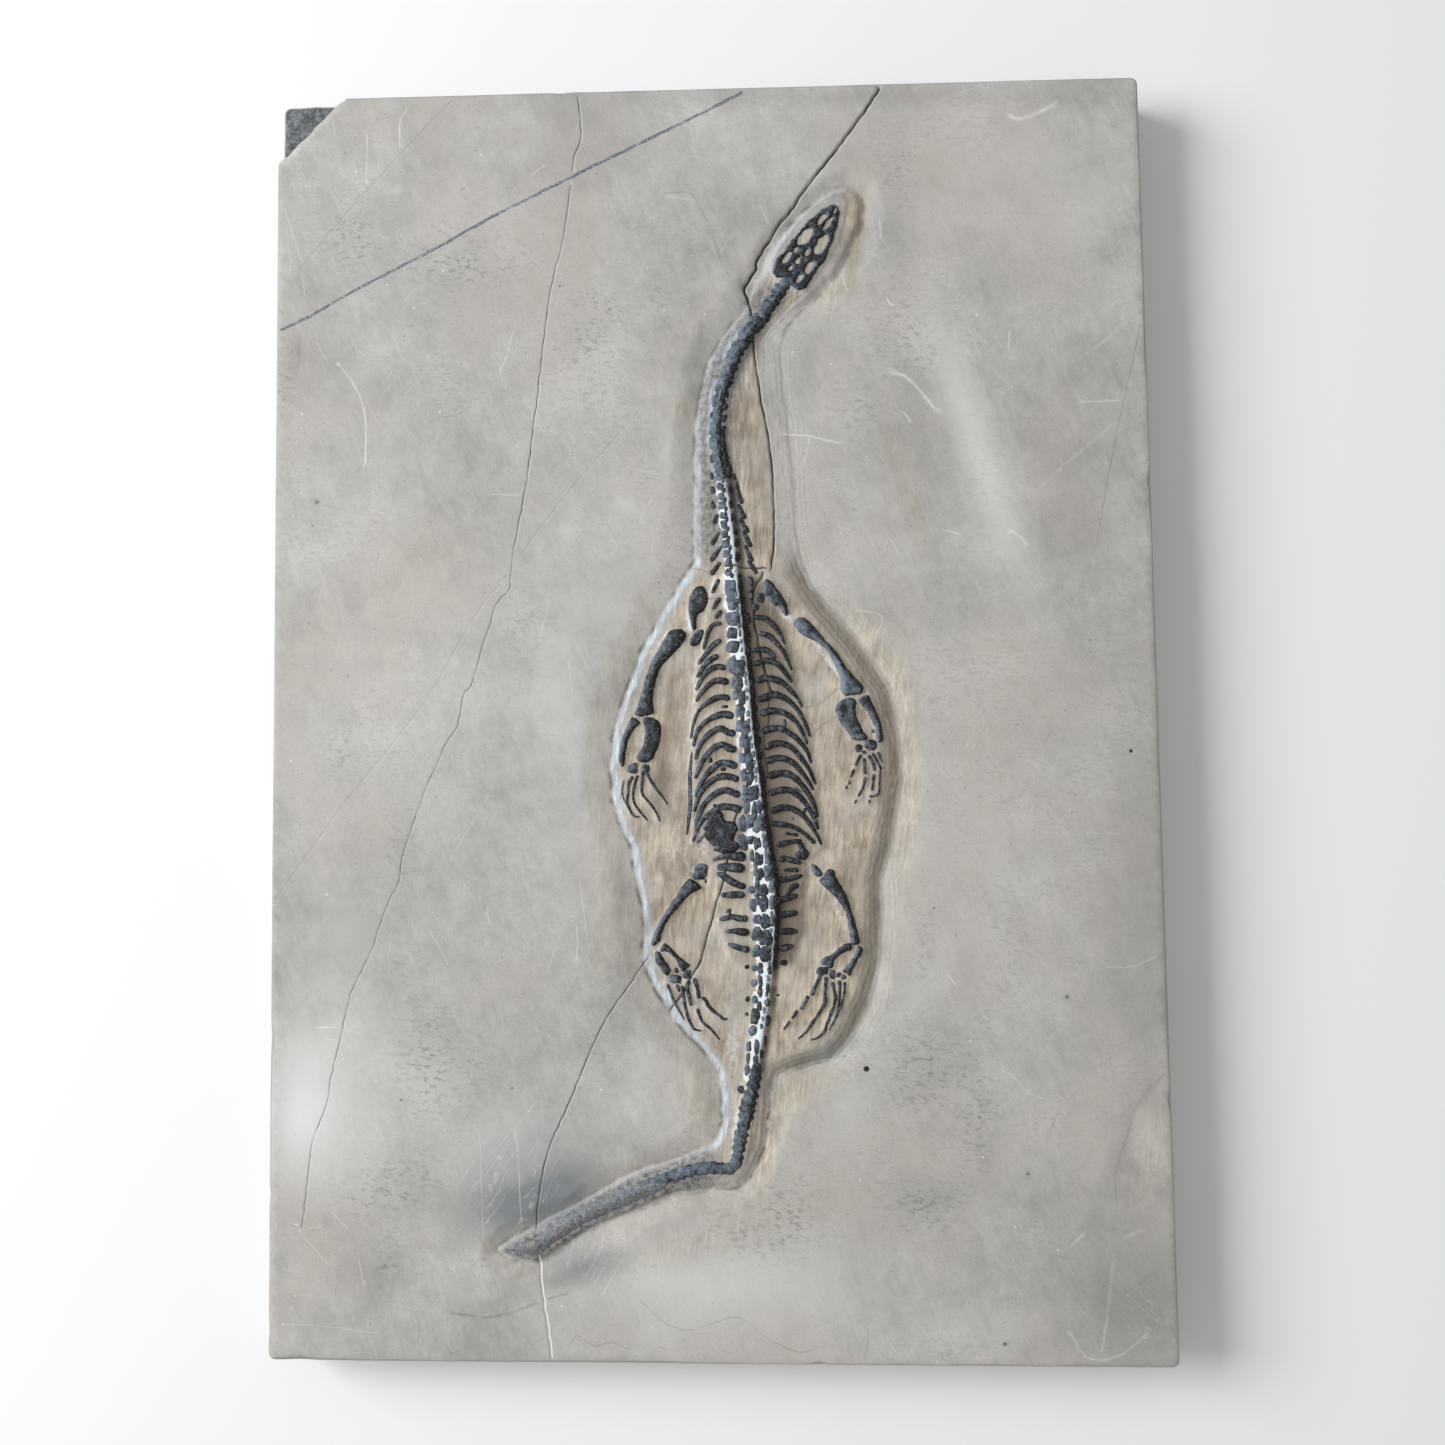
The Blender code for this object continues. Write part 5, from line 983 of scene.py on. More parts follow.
class Ground:
    """The stone's height and its markings, for every pixel of the frame."""

    def __init__(self):
        self.rim = self.raster(PLATEAU, 60)
        self.dish = self.raster(DISH, 40)
        self.cage = self.raster(CAGE, 50)
        self.skull = self.raster(SKULL_OUTLINE, 30)
        self.near = pedestals()
        self.offset = np.full(COLS.shape, FAR)
        self.strip = np.zeros(COLS.shape)
        where = window(PLATEAU, 60)
        x = COLS[where]
        y = ROWS[where]
        ridge, self.offset[where], width = crest_profile(x, y)
        ragged = 3.2 * noise(x, y, 6, 33, 2)
        self.strip[where] = smooth((self.offset[where] + width - 3 + ragged) / 3)
        self.strip *= self.offset < 1
        self.lay_stone(COLS, ROWS)
        self.height[where] += ridge * (1 + 0.05 * noise(x, y, 8, 31, 2))
        self.break_corner(COLS, ROWS)
        self.mark(COLS, ROWS)

    @staticmethod
    def raster(outline, margin):
        """How far inside an outline each pixel lies, worked out up to a margin outside it."""
        values = np.full(COLS.shape, -FAR)
        where, depth = closed(outline, margin)
        values[where] = depth
        return values

    def lay_stone(self, x, y):
        """The stone's height: the hollow, the raised stone and its walls, and the fine relief."""
        rim = self.rim + 1.2 * noise(x, y, 17, 3, 2)
        dish = self.dish + 4 * noise(x, y, 30, 5, 2)
        self.right = ramp_up(self.offset, -6, 16) * ramp_up(y, 300, 80) * ramp_down(y, 1040, 60)
        start = 3.5 + 9.5 * self.right
        hollow = self.hollow(x, y, rim, dish, start)
        wall = smooth((rim + start) / (7.5 + 8 * self.right))
        stepped = 0.55 * wall + 0.45 * terraced(wall + 0.04 * noise(x, y, 7, 9), 0.3, 3)
        wall = wall * (1 - self.right) + stepped * self.right
        top = -0.25 + 0.25 * ramp_up(rim, 4, 24)
        self.height = hollow * (1 - wall) + top * wall
        self.wall = smooth((rim + start) / 3) * ramp_down(rim, 4, 4)
        self.foot = ramp_up(rim + start, -3.2, 1.5) * ramp_down(rim + start, 0.2, 1.4)
        inner = ramp_up(rim, 6, 10)
        self.height += inner * (0.08 * noise(x, y, 26, 11, 2) + 0.03 * noise(x, y, 6, 13, 2))
        outer = ramp_up(-self.dish, -4, 12)
        self.height += outer * 0.05 * noise(x, y, 90, 17, 3)
        edge = ramp_up(self.cage, -5, 10)
        self.height += CAGE_HEIGHT * edge + CAGE_DOME * np.sqrt(np.clip(self.cage / 52, 0, 1)) * edge
        self.height += 0.45 * ramp_up(self.skull, -8, 12)
        self.height += PEDESTAL_HEIGHT * smooth(self.near)
        self.height += 0.07 * self.wall * noise(x, y, 5, 15, 2)

    def hollow(self, x, y, rim, dish, start):
        """The scraped hollow's height, which is shallower beside the neck."""
        beside_neck = ramp_up(self.offset, 0, 10) * ramp_up(y, 290, 40) * ramp_down(y, 545, 30)
        depth = DISH_DEPTH * (1 - 0.8 * beside_neck)
        foot = -np.clip(rim + start, None, 0)
        share = np.clip(dish, 0, None) / (np.clip(dish, 0, None) + foot + 0.001)
        hollow = -depth * share ** 1.2
        hollow = np.where((dish > 0) & (rim < -start), hollow, np.where(rim >= -start, -depth, 0))
        return 0.9 * hollow + 0.1 * terraced(hollow + 0.05 * noise(x, y, 9, 8), 0.23, 3)

    def break_corner(self, x, y):
        ax, ay = CHIP_BREAK[0]
        bx, by = CHIP_BREAK[1]
        across = ((y - ay) * (bx - ax) - (x - ax) * (by - ay)) / math.dist((ax, ay), (bx, by))
        self.chip = smooth((across + chip_waver(x, y)) / CHIP_STEP)
        floor = -CHIP_DEPTH + 0.35 * noise(x, y, 22, 23, 4) + 0.12 * noise(x, y, 5, 27, 3)
        self.height = self.height * (1 - self.chip) + floor * self.chip

    def mark(self, x, y):
        """The stone's colours: how warm, pale, dark and blue each pixel is, and its tone, with painted
        light and shade among them.
        """
        self.inner = ramp_up(self.rim, 4, 6)
        self.neck = ramp_down(y, *NECK_END)
        self.tail = ramp_up(y, *TAIL_START) * ramp_down(x, *TAIL_BEND)
        self.trunk = ramp_up(y, *TRUNK_START) * ramp_down(y, *TRUNK_END)
        self.right_wall = self.wall * self.right * (1 - 0.75 * self.neck)
        self.margin = ramp_up(self.skull, -3, 2) * ramp_down(self.skull, 7, 3)
        self.slope = np.gradient(self.height)[1]
        self.mark_warm(x, y)
        self.mark_pale()
        self.mark_painted_light(x, y)
        self.mark_ash(y)
        self.mark_dark(x, y)
        self.mark_earth_and_shade(x, y)
        self.mark_layers(x, y)
        self.blue = stamp_all(np.zeros(x.shape), BLUE_SPOTS)
        self.specks = stamp_all(np.zeros(x.shape), SPECK_SPOTS)
        self.tone = stamp_all(0.05 * noise(x, y, 55, 53, 3) - 0.3 * self.margin, TONE_SPOTS)

    def mark_warm(self, x, y):
        """Warm scraped stone on top of the raised stone and, fainter, round it."""
        self.warm = self.inner * (0.8 + 0.25 * noise(x, y, 30, 41, 2)) + 0.35 * self.right_wall
        self.warm *= ramp_up(self.rim, -16, 14)
        stamp_all(self.warm, WARM_SPOTS)
        self.warm += 0.2 * ramp_up(self.dish, -4, 10) * ramp_up(y, 560, 60) * (1 - self.inner)
        self.warm *= 1 - 0.6 * self.margin

    def mark_pale(self):
        """White stone between the vertebrae, and painted light on the sides of pedestals that face left."""
        left_facing = ramp_up(self.slope, 0, 0.11)
        lit = 0.35 * left_facing * smooth(self.near) * self.inner
        self.pale = np.clip(0.85 * self.strip * self.trunk + lit, 0, 1)
        stamp_all(self.pale, PALE_SPOTS)

    def mark_painted_light(self, x, y):
        """Painted blue light on slopes that face the light: on the left wall, left of the neck and the
        skull, and on the crest.
        """
        self.painted_light = self.wall * (1 - self.right) * ramp_up(y, 190, 40) * ramp_up(self.slope, 0, 0.05)
        high_neck = ramp_down(y, *HIGH_NECK_END)
        self.painted_light *= 1 - 0.35 * self.neck - 0.55 * high_neck - 0.85 * self.tail
        line = self.offset + 1.6 * noise(x, y, 24, 65, 2)
        neck_line = ramp_up(line, -14.5, 2.5) * ramp_down(line, -9, 2.5)
        neck_line *= ramp_up(y, 318, 30) * ramp_down(y, 450, 60)
        neck_line *= smooth(0.55 + 1.1 * noise(x, y, 11, 63, 3))
        self.painted_light = np.maximum(self.painted_light, neck_line)
        self.painted_light *= 0.5 + 0.5 * smooth(0.6 + 1.2 * noise(x, y, 7, 67, 3))
        # The skull's left side, which takes the painted blue light
        lit_left_side = smooth(1.5 * np.gradient(self.skull)[1])
        skull_line = np.exp(-((self.skull + 3.5) / 1.7) ** 2) * lit_left_side * ramp_up(y, 200, 20)
        self.painted_light = np.maximum(self.painted_light * (1 - 0.6 * ramp_up(self.skull, -16, 6)), 0.85 * skull_line)
        crest_edge = ramp_up(self.offset, -4, 2) * ramp_down(self.offset, 0.5, 1.5)
        self.painted_light = np.maximum(self.painted_light, 0.9 * crest_edge * ramp_up(y, 430, 60) * self.trunk)

    def mark_ash(self, y):
        """Ashen stone under the tail's end and left of the neck."""
        beside_neck = ramp_down(self.offset, 8, 8)
        self.ash = ramp_up(self.rim, -2, 4) * self.tail
        self.ash += 0.8 * self.neck * ramp_up(self.rim, -3, 3) * beside_neck * ramp_up(y, 270, 30)
        self.ash = np.clip(self.ash, 0, 1)

    def mark_dark(self, x, y):
        """Painted shade right of the crest, along the walls' foot and round the skull, and the dark spots:
        residue, and painted shade under the tail.
        """
        beside = ramp_up(self.offset, 0.5, 2) * ramp_down(self.offset, 6, 5)
        ragged = 0.75 + 0.4 * noise(x, y, 6, 43, 2)
        self.dark = 0.85 * beside * ragged * ramp_up(y, 400, 80) * ramp_down(y, 1060, 40)
        broken = smooth(0.45 + 0.8 * noise(x, y, 9, 47, 3))
        self.dark += (0.75 - 0.4 * self.tail - 0.2 * self.neck) * self.foot * (1 - self.right) * broken
        self.dark += 0.35 * self.foot * self.right
        self.dark += 0.34 * np.exp(-(self.skull / 1.2) ** 2) * (0.7 + 0.5 * noise(x, y, 12, 69, 2))
        stamp_all(self.dark, DARK_SPOTS)
        self.dark = np.clip(self.dark, 0, 1)

    def mark_earth_and_shade(self, x, y):
        """Deep brown, mostly painted shade: on the ribcage's right, between its bones and on the right
        wall; the noise and some spots are brown earth.
        """
        shaded = ramp_up(self.offset, 0, 3) * ramp_down(self.offset, 0, 60) * ramp_up(self.cage, -10, 20)
        self.earth_and_shade = 0.95 * shaded + 0.16 * self.inner * noise(x, y, 16, 49, 3) + 0.5 * self.right_wall
        self.earth_and_shade += 0.16 * ramp_up(self.cage, 0, 10)
        close = np.clip(self.near - 0.15, 0, 1) * self.inner
        self.earth_and_shade += 0.22 * close * ramp_up(self.cage, 0, 8)
        stamp_all(self.earth_and_shade, EARTH_AND_SHADE_SPOTS)
        self.earth_and_shade = np.clip(self.earth_and_shade, 0, 1)

    def mark_layers(self, x, y):
        """Where the stone shows split layers, and the level that draws their lines."""
        base = ramp_up(y, 1050, 30) * ramp_down(y, 1165, 15) * ramp_up(self.rim, -16, 6)
        near_neck = ramp_up(self.offset, -24, 8) * ramp_down(self.offset, 20, 14)
        right_slope = ramp_up(self.rim, -34, 8) * ramp_down(self.rim, -10, 6) * self.right
        self.layers = 0.35 * right_slope + 0.9 * near_neck * self.neck * ramp_up(self.rim, -1, 3)
        self.layers += ramp_up(self.offset, 0, 5) * base + self.right_wall
        self.layers = np.clip(self.layers * ramp_up(y, 240, 60), 0, 1)
        self.level = self.rim / 5.0 + 0.5 * noise(x, y, 26, 59, 2)


def slab_outline():
    """The slab's outline in metres, its corners rounded, with a point about every millimetre."""
    points = []
    for i, corner in enumerate(SLAB_CORNERS):
        here = Vector(corner)
        before = (Vector(SLAB_CORNERS[i - 1]) - here).normalized()
        after = (Vector(SLAB_CORNERS[(i + 1) % 4]) - here).normalized()
        half = before.angle(after) / 2
        centre = here + (before + after).normalized() * CORNER_RADIUS / math.sin(half)
        start = here + before * CORNER_RADIUS / math.tan(half) - centre
        end = here + after * CORNER_RADIUS / math.tan(half) - centre
        turn = start.angle_signed(end)
        for k in range(7):
            points.append(centre + Matrix.Rotation(-turn * k / 6, 2) @ start)
    dense = []
    for a, b in zip(points, points[1:] + points[:1]):
        count = max(1, round((b - a).length / OUTLINE_STEP))
        dense += [a.lerp(b, k / count) for k in range(count)]
    return np.array([tuple(p) for p in dense])


def outward_normals(loop):
    along = np.roll(loop, -1, axis=0) - np.roll(loop, 1, axis=0)
    along /= np.linalg.norm(along, axis=1)[:, None]
    normals = np.stack((-along[:, 1], along[:, 0]), axis=1)
    return normals * np.sign(np.sum(normals * loop, axis=1))[:, None]


def edge_wear(outline):
    """How far the slab's top edge is worn away at each point of its outline, in metres."""
    wear = ARRIS * (1 + 0.45 * noise(outline[:, 0], outline[:, 1], 0.012, 61, 3))
    for (px, py), reach, depth in EDGE_CHIPS:
        x, y = at(px, py)
        wear += depth * np.exp(-((outline[:, 0] - x) ** 2 + (outline[:, 1] - y) ** 2) / reach ** 2)
    return wear


def rim_loop():
    """The top face's own edge, inside the worn arris, as pixels."""
    outline = slab_outline()
    rim = outline - outward_normals(outline) * edge_wear(outline)[:, None] * ARRIS_RUN
    return np.stack(back(*rim.T), axis=1)


def scattered(spacing, where, taken):
    """Slightly shaken points of a triangular grid, kept where a test of pixels allows them."""
    rng = np.random.default_rng(int(spacing * 100))
    rows = np.arange(*SCATTER_ROWS, spacing * ROW_SHARE)
    cols = np.arange(*SCATTER_COLS, spacing)
    x, y = np.meshgrid(cols, rows)
    x = x + (np.arange(len(rows)) % 2)[:, None] * spacing / 2
    x = (x + rng.uniform(-0.22, 0.22, x.shape) * spacing).ravel()
    y = (y + rng.uniform(-0.22, 0.22, y.shape) * spacing).ravel()
    i = y.round().astype(int)
    j = x.round().astype(int)
    keep = where[i, j] & ~taken[i, j]
    return x[keep], y[keep]


class SlabPoints:
    """The slab's top face as points: places in pixels, a drop in mm, and each line's marks."""

    def __init__(self, loop):
        self.loop = [tuple(p) for p in loop]
        self.depth = depth_inside(COLS, ROWS, PHOTO_CORNERS)
        self.x = []
        self.y = []
        self.drop = []
        self.marks = {"crack": [], "vein": [], "scratch": []}
        self.taken = np.zeros((FRAME_SIZE, FRAME_SIZE), bool)

    def add(self, x, y, drop=0.0, **marks):
        x = np.atleast_1d(x)
        self.x.append(x)
        self.y.append(np.atleast_1d(y))
        self.drop.append(np.broadcast_to(drop, x.shape))
        for name, values in self.marks.items():
            values.append(np.broadcast_to(marks.get(name, 0.0), x.shape))

    def add_line(self, line, half_width, drop, mark, amount, glint=0.0, wobble=0.5, step=2.6):
        """Rows of points: the middle one carries the mark, the next end it, the outer two are flat."""
        middle = curve_through([(*p, 1) for p in line], step)[:, :2]
        shake = noise(middle[:, 0] * 1.7, middle[:, 1], 7, 51, 2) * wobble
        along = np.gradient(middle, axis=0)
        along /= np.linalg.norm(along, axis=1)[:, None]
        across = np.stack((-along[:, 1], along[:, 0]), axis=1)
        across *= np.where(across[:, :1] < 0, -1, 1)
        middle = middle + across * shake[:, None]
        fade = amount * np.clip(0.8 + 0.3 * noise(middle[:, 0], middle[:, 1], 9, 55, 2), 0.3, 1)
        outer = half_width + FLAT_BAND
        for side, share in ((0, 1), (-half_width, 0), (half_width, 0), (-outer, 0), (outer, 0)):
            if abs(side) == outer and drop == 0 and glint == 0:
                continue
            row = middle + across * side
            keep = self.free(row)
            marks = {mark: (fade * share)[keep]}
            if glint and side == half_width:
                marks["scratch"] = glint
            self.add(row[keep, 0], row[keep, 1], drop * share, **marks)
        for px, py in middle.round().astype(int):
            reach = math.ceil(outer if drop or glint else half_width) + 1
            self.taken[py - reach:py + reach + 1, px - reach:px + reach + 1] = True

    def add_dot(self, place, radius, mark, amount, drop=0.0):
        """A round spot: its centre carries the mark and the ring round it ends it."""
        turns = np.arange(DOT_SIDES) * 2 * math.pi / DOT_SIDES
        is_centre = np.arange(DOT_SIDES + 1) == 0
        ring = np.array(place) + radius * np.column_stack((np.cos(turns), np.sin(turns)))
        row = np.vstack((place, ring))
        if self.free(row).all():
            self.add(row[:, 0], row[:, 1], np.where(is_centre, drop, 0.0),
                     **{mark: np.where(is_centre, amount, 0.0)})
            px, py = np.round(place).astype(int)
            reach = math.ceil(radius) + 1
            self.taken[py - reach:py + reach + 1, px - reach:px + reach + 1] = True

    def free(self, row):
        """Which points of a row lie on the slab and clear of the lines drawn before."""
        px = row.round().astype(int)
        near_lines = self.taken[px[:, 1], px[:, 0]]
        return self.on_face(row[:, 0], row[:, 1]) & ~near_lines

    def on_face(self, x, y):
        """Which pixels lie on the top face, clear of its edge."""
        depth = look_up(self.depth, x, y)
        result = depth > EDGE_BAND
        near = np.abs(depth) <= EDGE_BAND
        if near.any():
            result[near] = depth_inside(x[near], y[near], self.loop) > EDGE_CLEARANCE
        return result

    def add_break(self):
        """Rows of points along the broken corner's top edge and along its foot."""
        a, b = np.array(CHIP_BREAK, float)
        length = math.dist(a, b)
        along = (b - a) / length
        across = np.array((-along[1], along[0]))
        run = np.arange(-20, length + 20, 1.2)
        for away in (-0.1, CHIP_STEP + 0.1):
            row = a + run[:, None] * along + across * away
            row = row - across * chip_waver(*row.T)[:, None]
            keep = self.free(row)
            self.add(row[keep, 0], row[keep, 1])
        for away in np.arange(-1.2, CHIP_STEP + 1.3, 0.6):
            band = (a + run[:, None] * along + across * away).round().astype(int)
            self.taken[band[:, 1], band[:, 0]] = True


def fine_scratches():
    """Straight fine scratches, scattered over their fields."""
    rng = np.random.default_rng(57)
    lines = []
    for centre, reach, direction, count, length, paleness in SCRATCH_FIELDS:
        for _ in range(count):
            x, y = rng.normal(centre, np.array(reach) * 0.6)
            angle = math.radians(direction + rng.normal(0, 7))
            half = length * rng.uniform(0.3, 0.8)
            dx = math.cos(angle) * half
            dy = math.sin(angle) * half
            amount = paleness * rng.uniform(0.4, 1.2)
            middle = (x + dx * 0.1, y + dy * 0.1 + 0.5)
            lines.append((0.6, amount, ((x - dx, y - dy), middle, (x + dx, y + dy))))
    return lines


def top_points(ground):
    """All points of the slab's top face, without its outline."""
    loop = rim_loop()
    cloud = SlabPoints(loop)
    cloud.add_break()
    cloud.add_line(VEIN, VEIN_HALF_WIDTH, 0.0, "vein", 1.0, wobble=0.4, step=3.5)
    for half_width, drop, darkness, glint, line in CRACKS:
        cloud.add_line(line, half_width, drop, "crack", darkness, glint)
    for place, radius, darkness, drop in PITS:
        cloud.add_dot(place, radius, "crack", darkness, drop)
    for half_width, amount, line in SCRATCHES:
        cloud.add_line(line, half_width, 0.0, "scratch", amount, wobble=0.4, step=4)
    for place in FLAKES:
        cloud.add_dot(place, 1.9, "scratch", 0.8)
    for half_width, amount, line in fine_scratches():
        cloud.add_line(line, half_width, 0.0, "scratch", amount, wobble=0.3, step=6)
    fine = (ground.rim > -17) & (ground.rim < 13) | (np.abs(ground.offset) < 24) & (ground.rim > -20)
    fine |= (np.abs(ground.cage) < 6) | (ground.skull > -8)
    fine |= (ground.near > 0.02) & (ground.near < 0.98)
    fine |= (ground.chip > 0.02) & (ground.chip < 0.98)
    inner = (ground.rim > -17) | ((ground.dish > -6) & (ground.rim > -30)) | (ground.chip > 0.5)
    for spacing, zone in ((FINE_STEP, fine), (INNER_STEP, inner & ~fine),
                          (OUTER_STEP, ~inner & ~fine)):
        x, y = scattered(spacing, zone & (cloud.depth > 0), cloud.taken)
        keep = cloud.on_face(x, y)
        cloud.add(x[keep], y[keep])
    return cloud, loop


def grid_faces(rows, cols, first=0):
    """Faces between the rows of closed rings."""
    faces = []
    for i in range(rows - 1):
        for j in range(cols):
            a = first + i * cols + j
            b = first + i * cols + (j + 1) % cols
            faces.append((a, b, b + cols, a + cols))
    return faces


def capped_faces(rows, cols):
    """Faces between the rows of closed rings, and one face over each end."""
    faces = grid_faces(rows, cols)
    faces.append(tuple(range(cols))[::-1])
    faces.append(tuple(range((rows - 1) * cols, rows * cols)))
    return faces


def new_piece(name, verts, faces, marks, material, nodes):
    """A mesh piece with its vertex marks, riding on the slab's body in place of CAD nodes."""
    mesh = bpy.data.meshes.new(name)
    mesh.from_pydata(np.asarray(verts).tolist(), [], faces)
    for mark, values in marks.items():
        attribute = mesh.attributes.new(mark, "FLOAT", "POINT")
        attribute.data.foreach_set("value", np.asarray(values, np.float32))
    mesh.update()
    mesh.shade_smooth()
    obj = bpy.data.objects.new(name, mesh)
    bpy.context.scene.collection.objects.link(obj)
    mesh.materials.append(material)
    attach(obj, "root")
    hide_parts(*nodes)
    return obj


def slab_sides(outline, edge_height):
    """Rings of points round the slab, from its worn arris down to its back."""
    normals = outward_normals(outline)
    wear = edge_wear(outline)
    rings = []
    for share in ARRIS_SHARES:
        push = wear * ARRIS_RUN * (1 - share) ** 1.6
        rings.append(np.column_stack((outline - normals * push[:, None], edge_height - wear * share)))
    bottom_edge = BOTTOM_ARRIS * (1 + 0.4 * noise(outline[:, 0], outline[:, 1], 0.015, 67, 2))
    for k in range(1, WALL_ROWS):
        share = k / WALL_ROWS
        z = (edge_height - wear) * (1 - share) + bottom_edge * share
        rough = WALL_RELIEF * (1 + noise(outline[:, 0] + outline[:, 1], z, 0.0012, 71, 3))
        rings.append(np.column_stack((outline - normals * rough[:, None], z)))
    rings.append(np.column_stack((outline, bottom_edge)))
    rings.append(np.column_stack((outline - normals * bottom_edge[:, None], np.zeros(len(outline)))))
    return rings


def make_slab(ground, stone):
    """The slab: its carved top, its worn arris, its sawn sides and its back, in one closed mesh."""
    cloud, loop = top_points(ground)
    count = len(loop)
    x = np.concatenate((loop[:, 0], *cloud.x))
    y = np.concatenate((loop[:, 1], *cloud.y))
    drop = np.concatenate((np.zeros(count), *cloud.drop))
    points = [Vector(p) for p in zip(x, y)]
    _, _, triangles, sources, _, _ = delaunay_2d_cdt(points, [], [list(range(count))], 1, 1e-7)
    source = np.array([each[0] for each in sources])
    px = x[source]
    py = y[source]
    height = SLAB_TOP + (look_up(ground.height, px, py) - drop[source]) * MM
    top = np.column_stack((*at(px, py), height))
    faces = [tuple(t) for t in triangles]
    if signed_area(top[list(faces[0])]) < 0:
        faces = [t[::-1] for t in faces]
    place = np.empty(len(x), int)
    place[source] = np.arange(len(source))
    rim = place[:count]
    outline = slab_outline()
    rings = slab_sides(outline, top[rim, 2])
    first = len(top)
    sides = [(rim[j], rim[(j + 1) % count], first + (j + 1) % count, first + j)
             for j in range(count)]
    sides += grid_faces(len(rings), count, first)
    if signed_area(outline) > 0:
        sides = [f[::-1] for f in sides]
    back_points, back_faces = make_back(rings[-1], first + count * (len(rings) - 1))
    verts = np.vstack((top, *rings, back_points))
    marks = slab_marks(ground, cloud, source, px, py, count, len(verts))
    return new_piece("stone_slab", verts, faces + sides + back_faces, marks, stone,
                     ("slab",))


def signed_area(loop):
    x = loop[:, 0]
    y = loop[:, 1]
    return np.sum(x * np.roll(y, -1) - np.roll(x, -1) * y) / 2


def make_back(ring, first):
    """The slab's sawn back: points inside its last ring, and faces that look down."""
    rng = np.random.default_rng(73)
    half_width, half_length = BACK_REACH
    xs, ys = np.meshgrid(np.arange(-half_width, half_width, BACK_STEP),
                         np.arange(-half_length, half_length, BACK_STEP))
    xs = (xs + rng.uniform(-0.2, 0.2, xs.shape) * BACK_STEP).ravel()
    ys = (ys + rng.uniform(-0.2, 0.2, ys.shape) * BACK_STEP).ravel()
    keep = inside(xs, ys, [tuple(p) for p in ring[:, :2] * 0.985])
    xs = xs[keep]
    ys = ys[keep]
    points = [Vector(p[:2]) for p in ring] + [Vector(p) for p in zip(xs, ys)]
    _, _, triangles, sources, _, _ = delaunay_2d_cdt(points, [], [list(range(len(ring)))], 1, 1e-9)
    source = np.array([each[0] for each in sources])
    relief_width, relief_length = BACK_RELIEF_REACH
    inward = np.minimum(relief_width - np.abs(xs), relief_length - np.abs(ys))
    z = BACK_RELIEF * (1 + noise(xs, ys, 0.02, 79, 3) * 0.5) * smooth(inward / BACK_RELIEF_RUN)
    faces = [tuple(first + source[k] for k in t) for t in triangles]
    corner = np.array([points[source[k]] for k in triangles[0]])
    if signed_area(corner) > 0:
        faces = [f[::-1] for f in faces]
    return np.column_stack((xs, ys, z)), faces


def slab_marks(ground, cloud, source, px, py, outline_count, total):
    """The stone's marks for every vertex; the sides and the back keep plain stone."""
    marks = {}
    for name in ("warm", "pale", "painted_light", "ash", "dark", "earth_and_shade", "blue", "specks", "layers", "level",
                 "tone", "chip"):
        values = np.zeros(total)
        values[:len(px)] = look_up(getattr(ground, name), px, py)
        marks[name] = values
    for name, lists in cloud.marks.items():
        values = np.zeros(total)
        values[:len(px)] = np.concatenate((np.zeros(outline_count), *lists))[source]
        marks[name] = values
    marks["side"] = np.ones(total)
    marks["side"][:len(px)] = 0.0
    return marks


def hole_loop(cx, cy, long_half, short_half, lean):
    """An uneven oval: its centre and halves in pixels, and its lean in degrees from upright."""
    turns = np.arange(HOLE_SIDES) * 2 * math.pi / HOLE_SIDES
    a = math.radians(lean)
    u = np.cos(turns) * long_half * (1 + 0.07 * noise(turns * 4, turns, 3, 113))
    v = np.sin(turns) * short_half * (1 + 0.1 * noise(turns * 3, turns + cx, 3, 127))
    return np.column_stack((cx + u * math.sin(a) + v * math.cos(a),
                            cy - u * math.cos(a) + v * math.sin(a)))


def shaken(loop, amount):
    """A closed line with an uneven edge."""
    shake = noise(loop[:, 0], loop[:, 1], 3.5, 131, 2)
    return loop + amount * outward_normals(loop - loop.mean(axis=0)) * shake[:, None]


def border_faces(triangles, count):
    """Faces between the border of a flat mesh and its copy, whose points come count later."""
    used = dict.fromkeys(edge for a, b, c in triangles for edge in ((a, b), (b, c), (c, a)))
    return [(b, a, a + count, b + count) for a, b in used if (b, a) not in used]


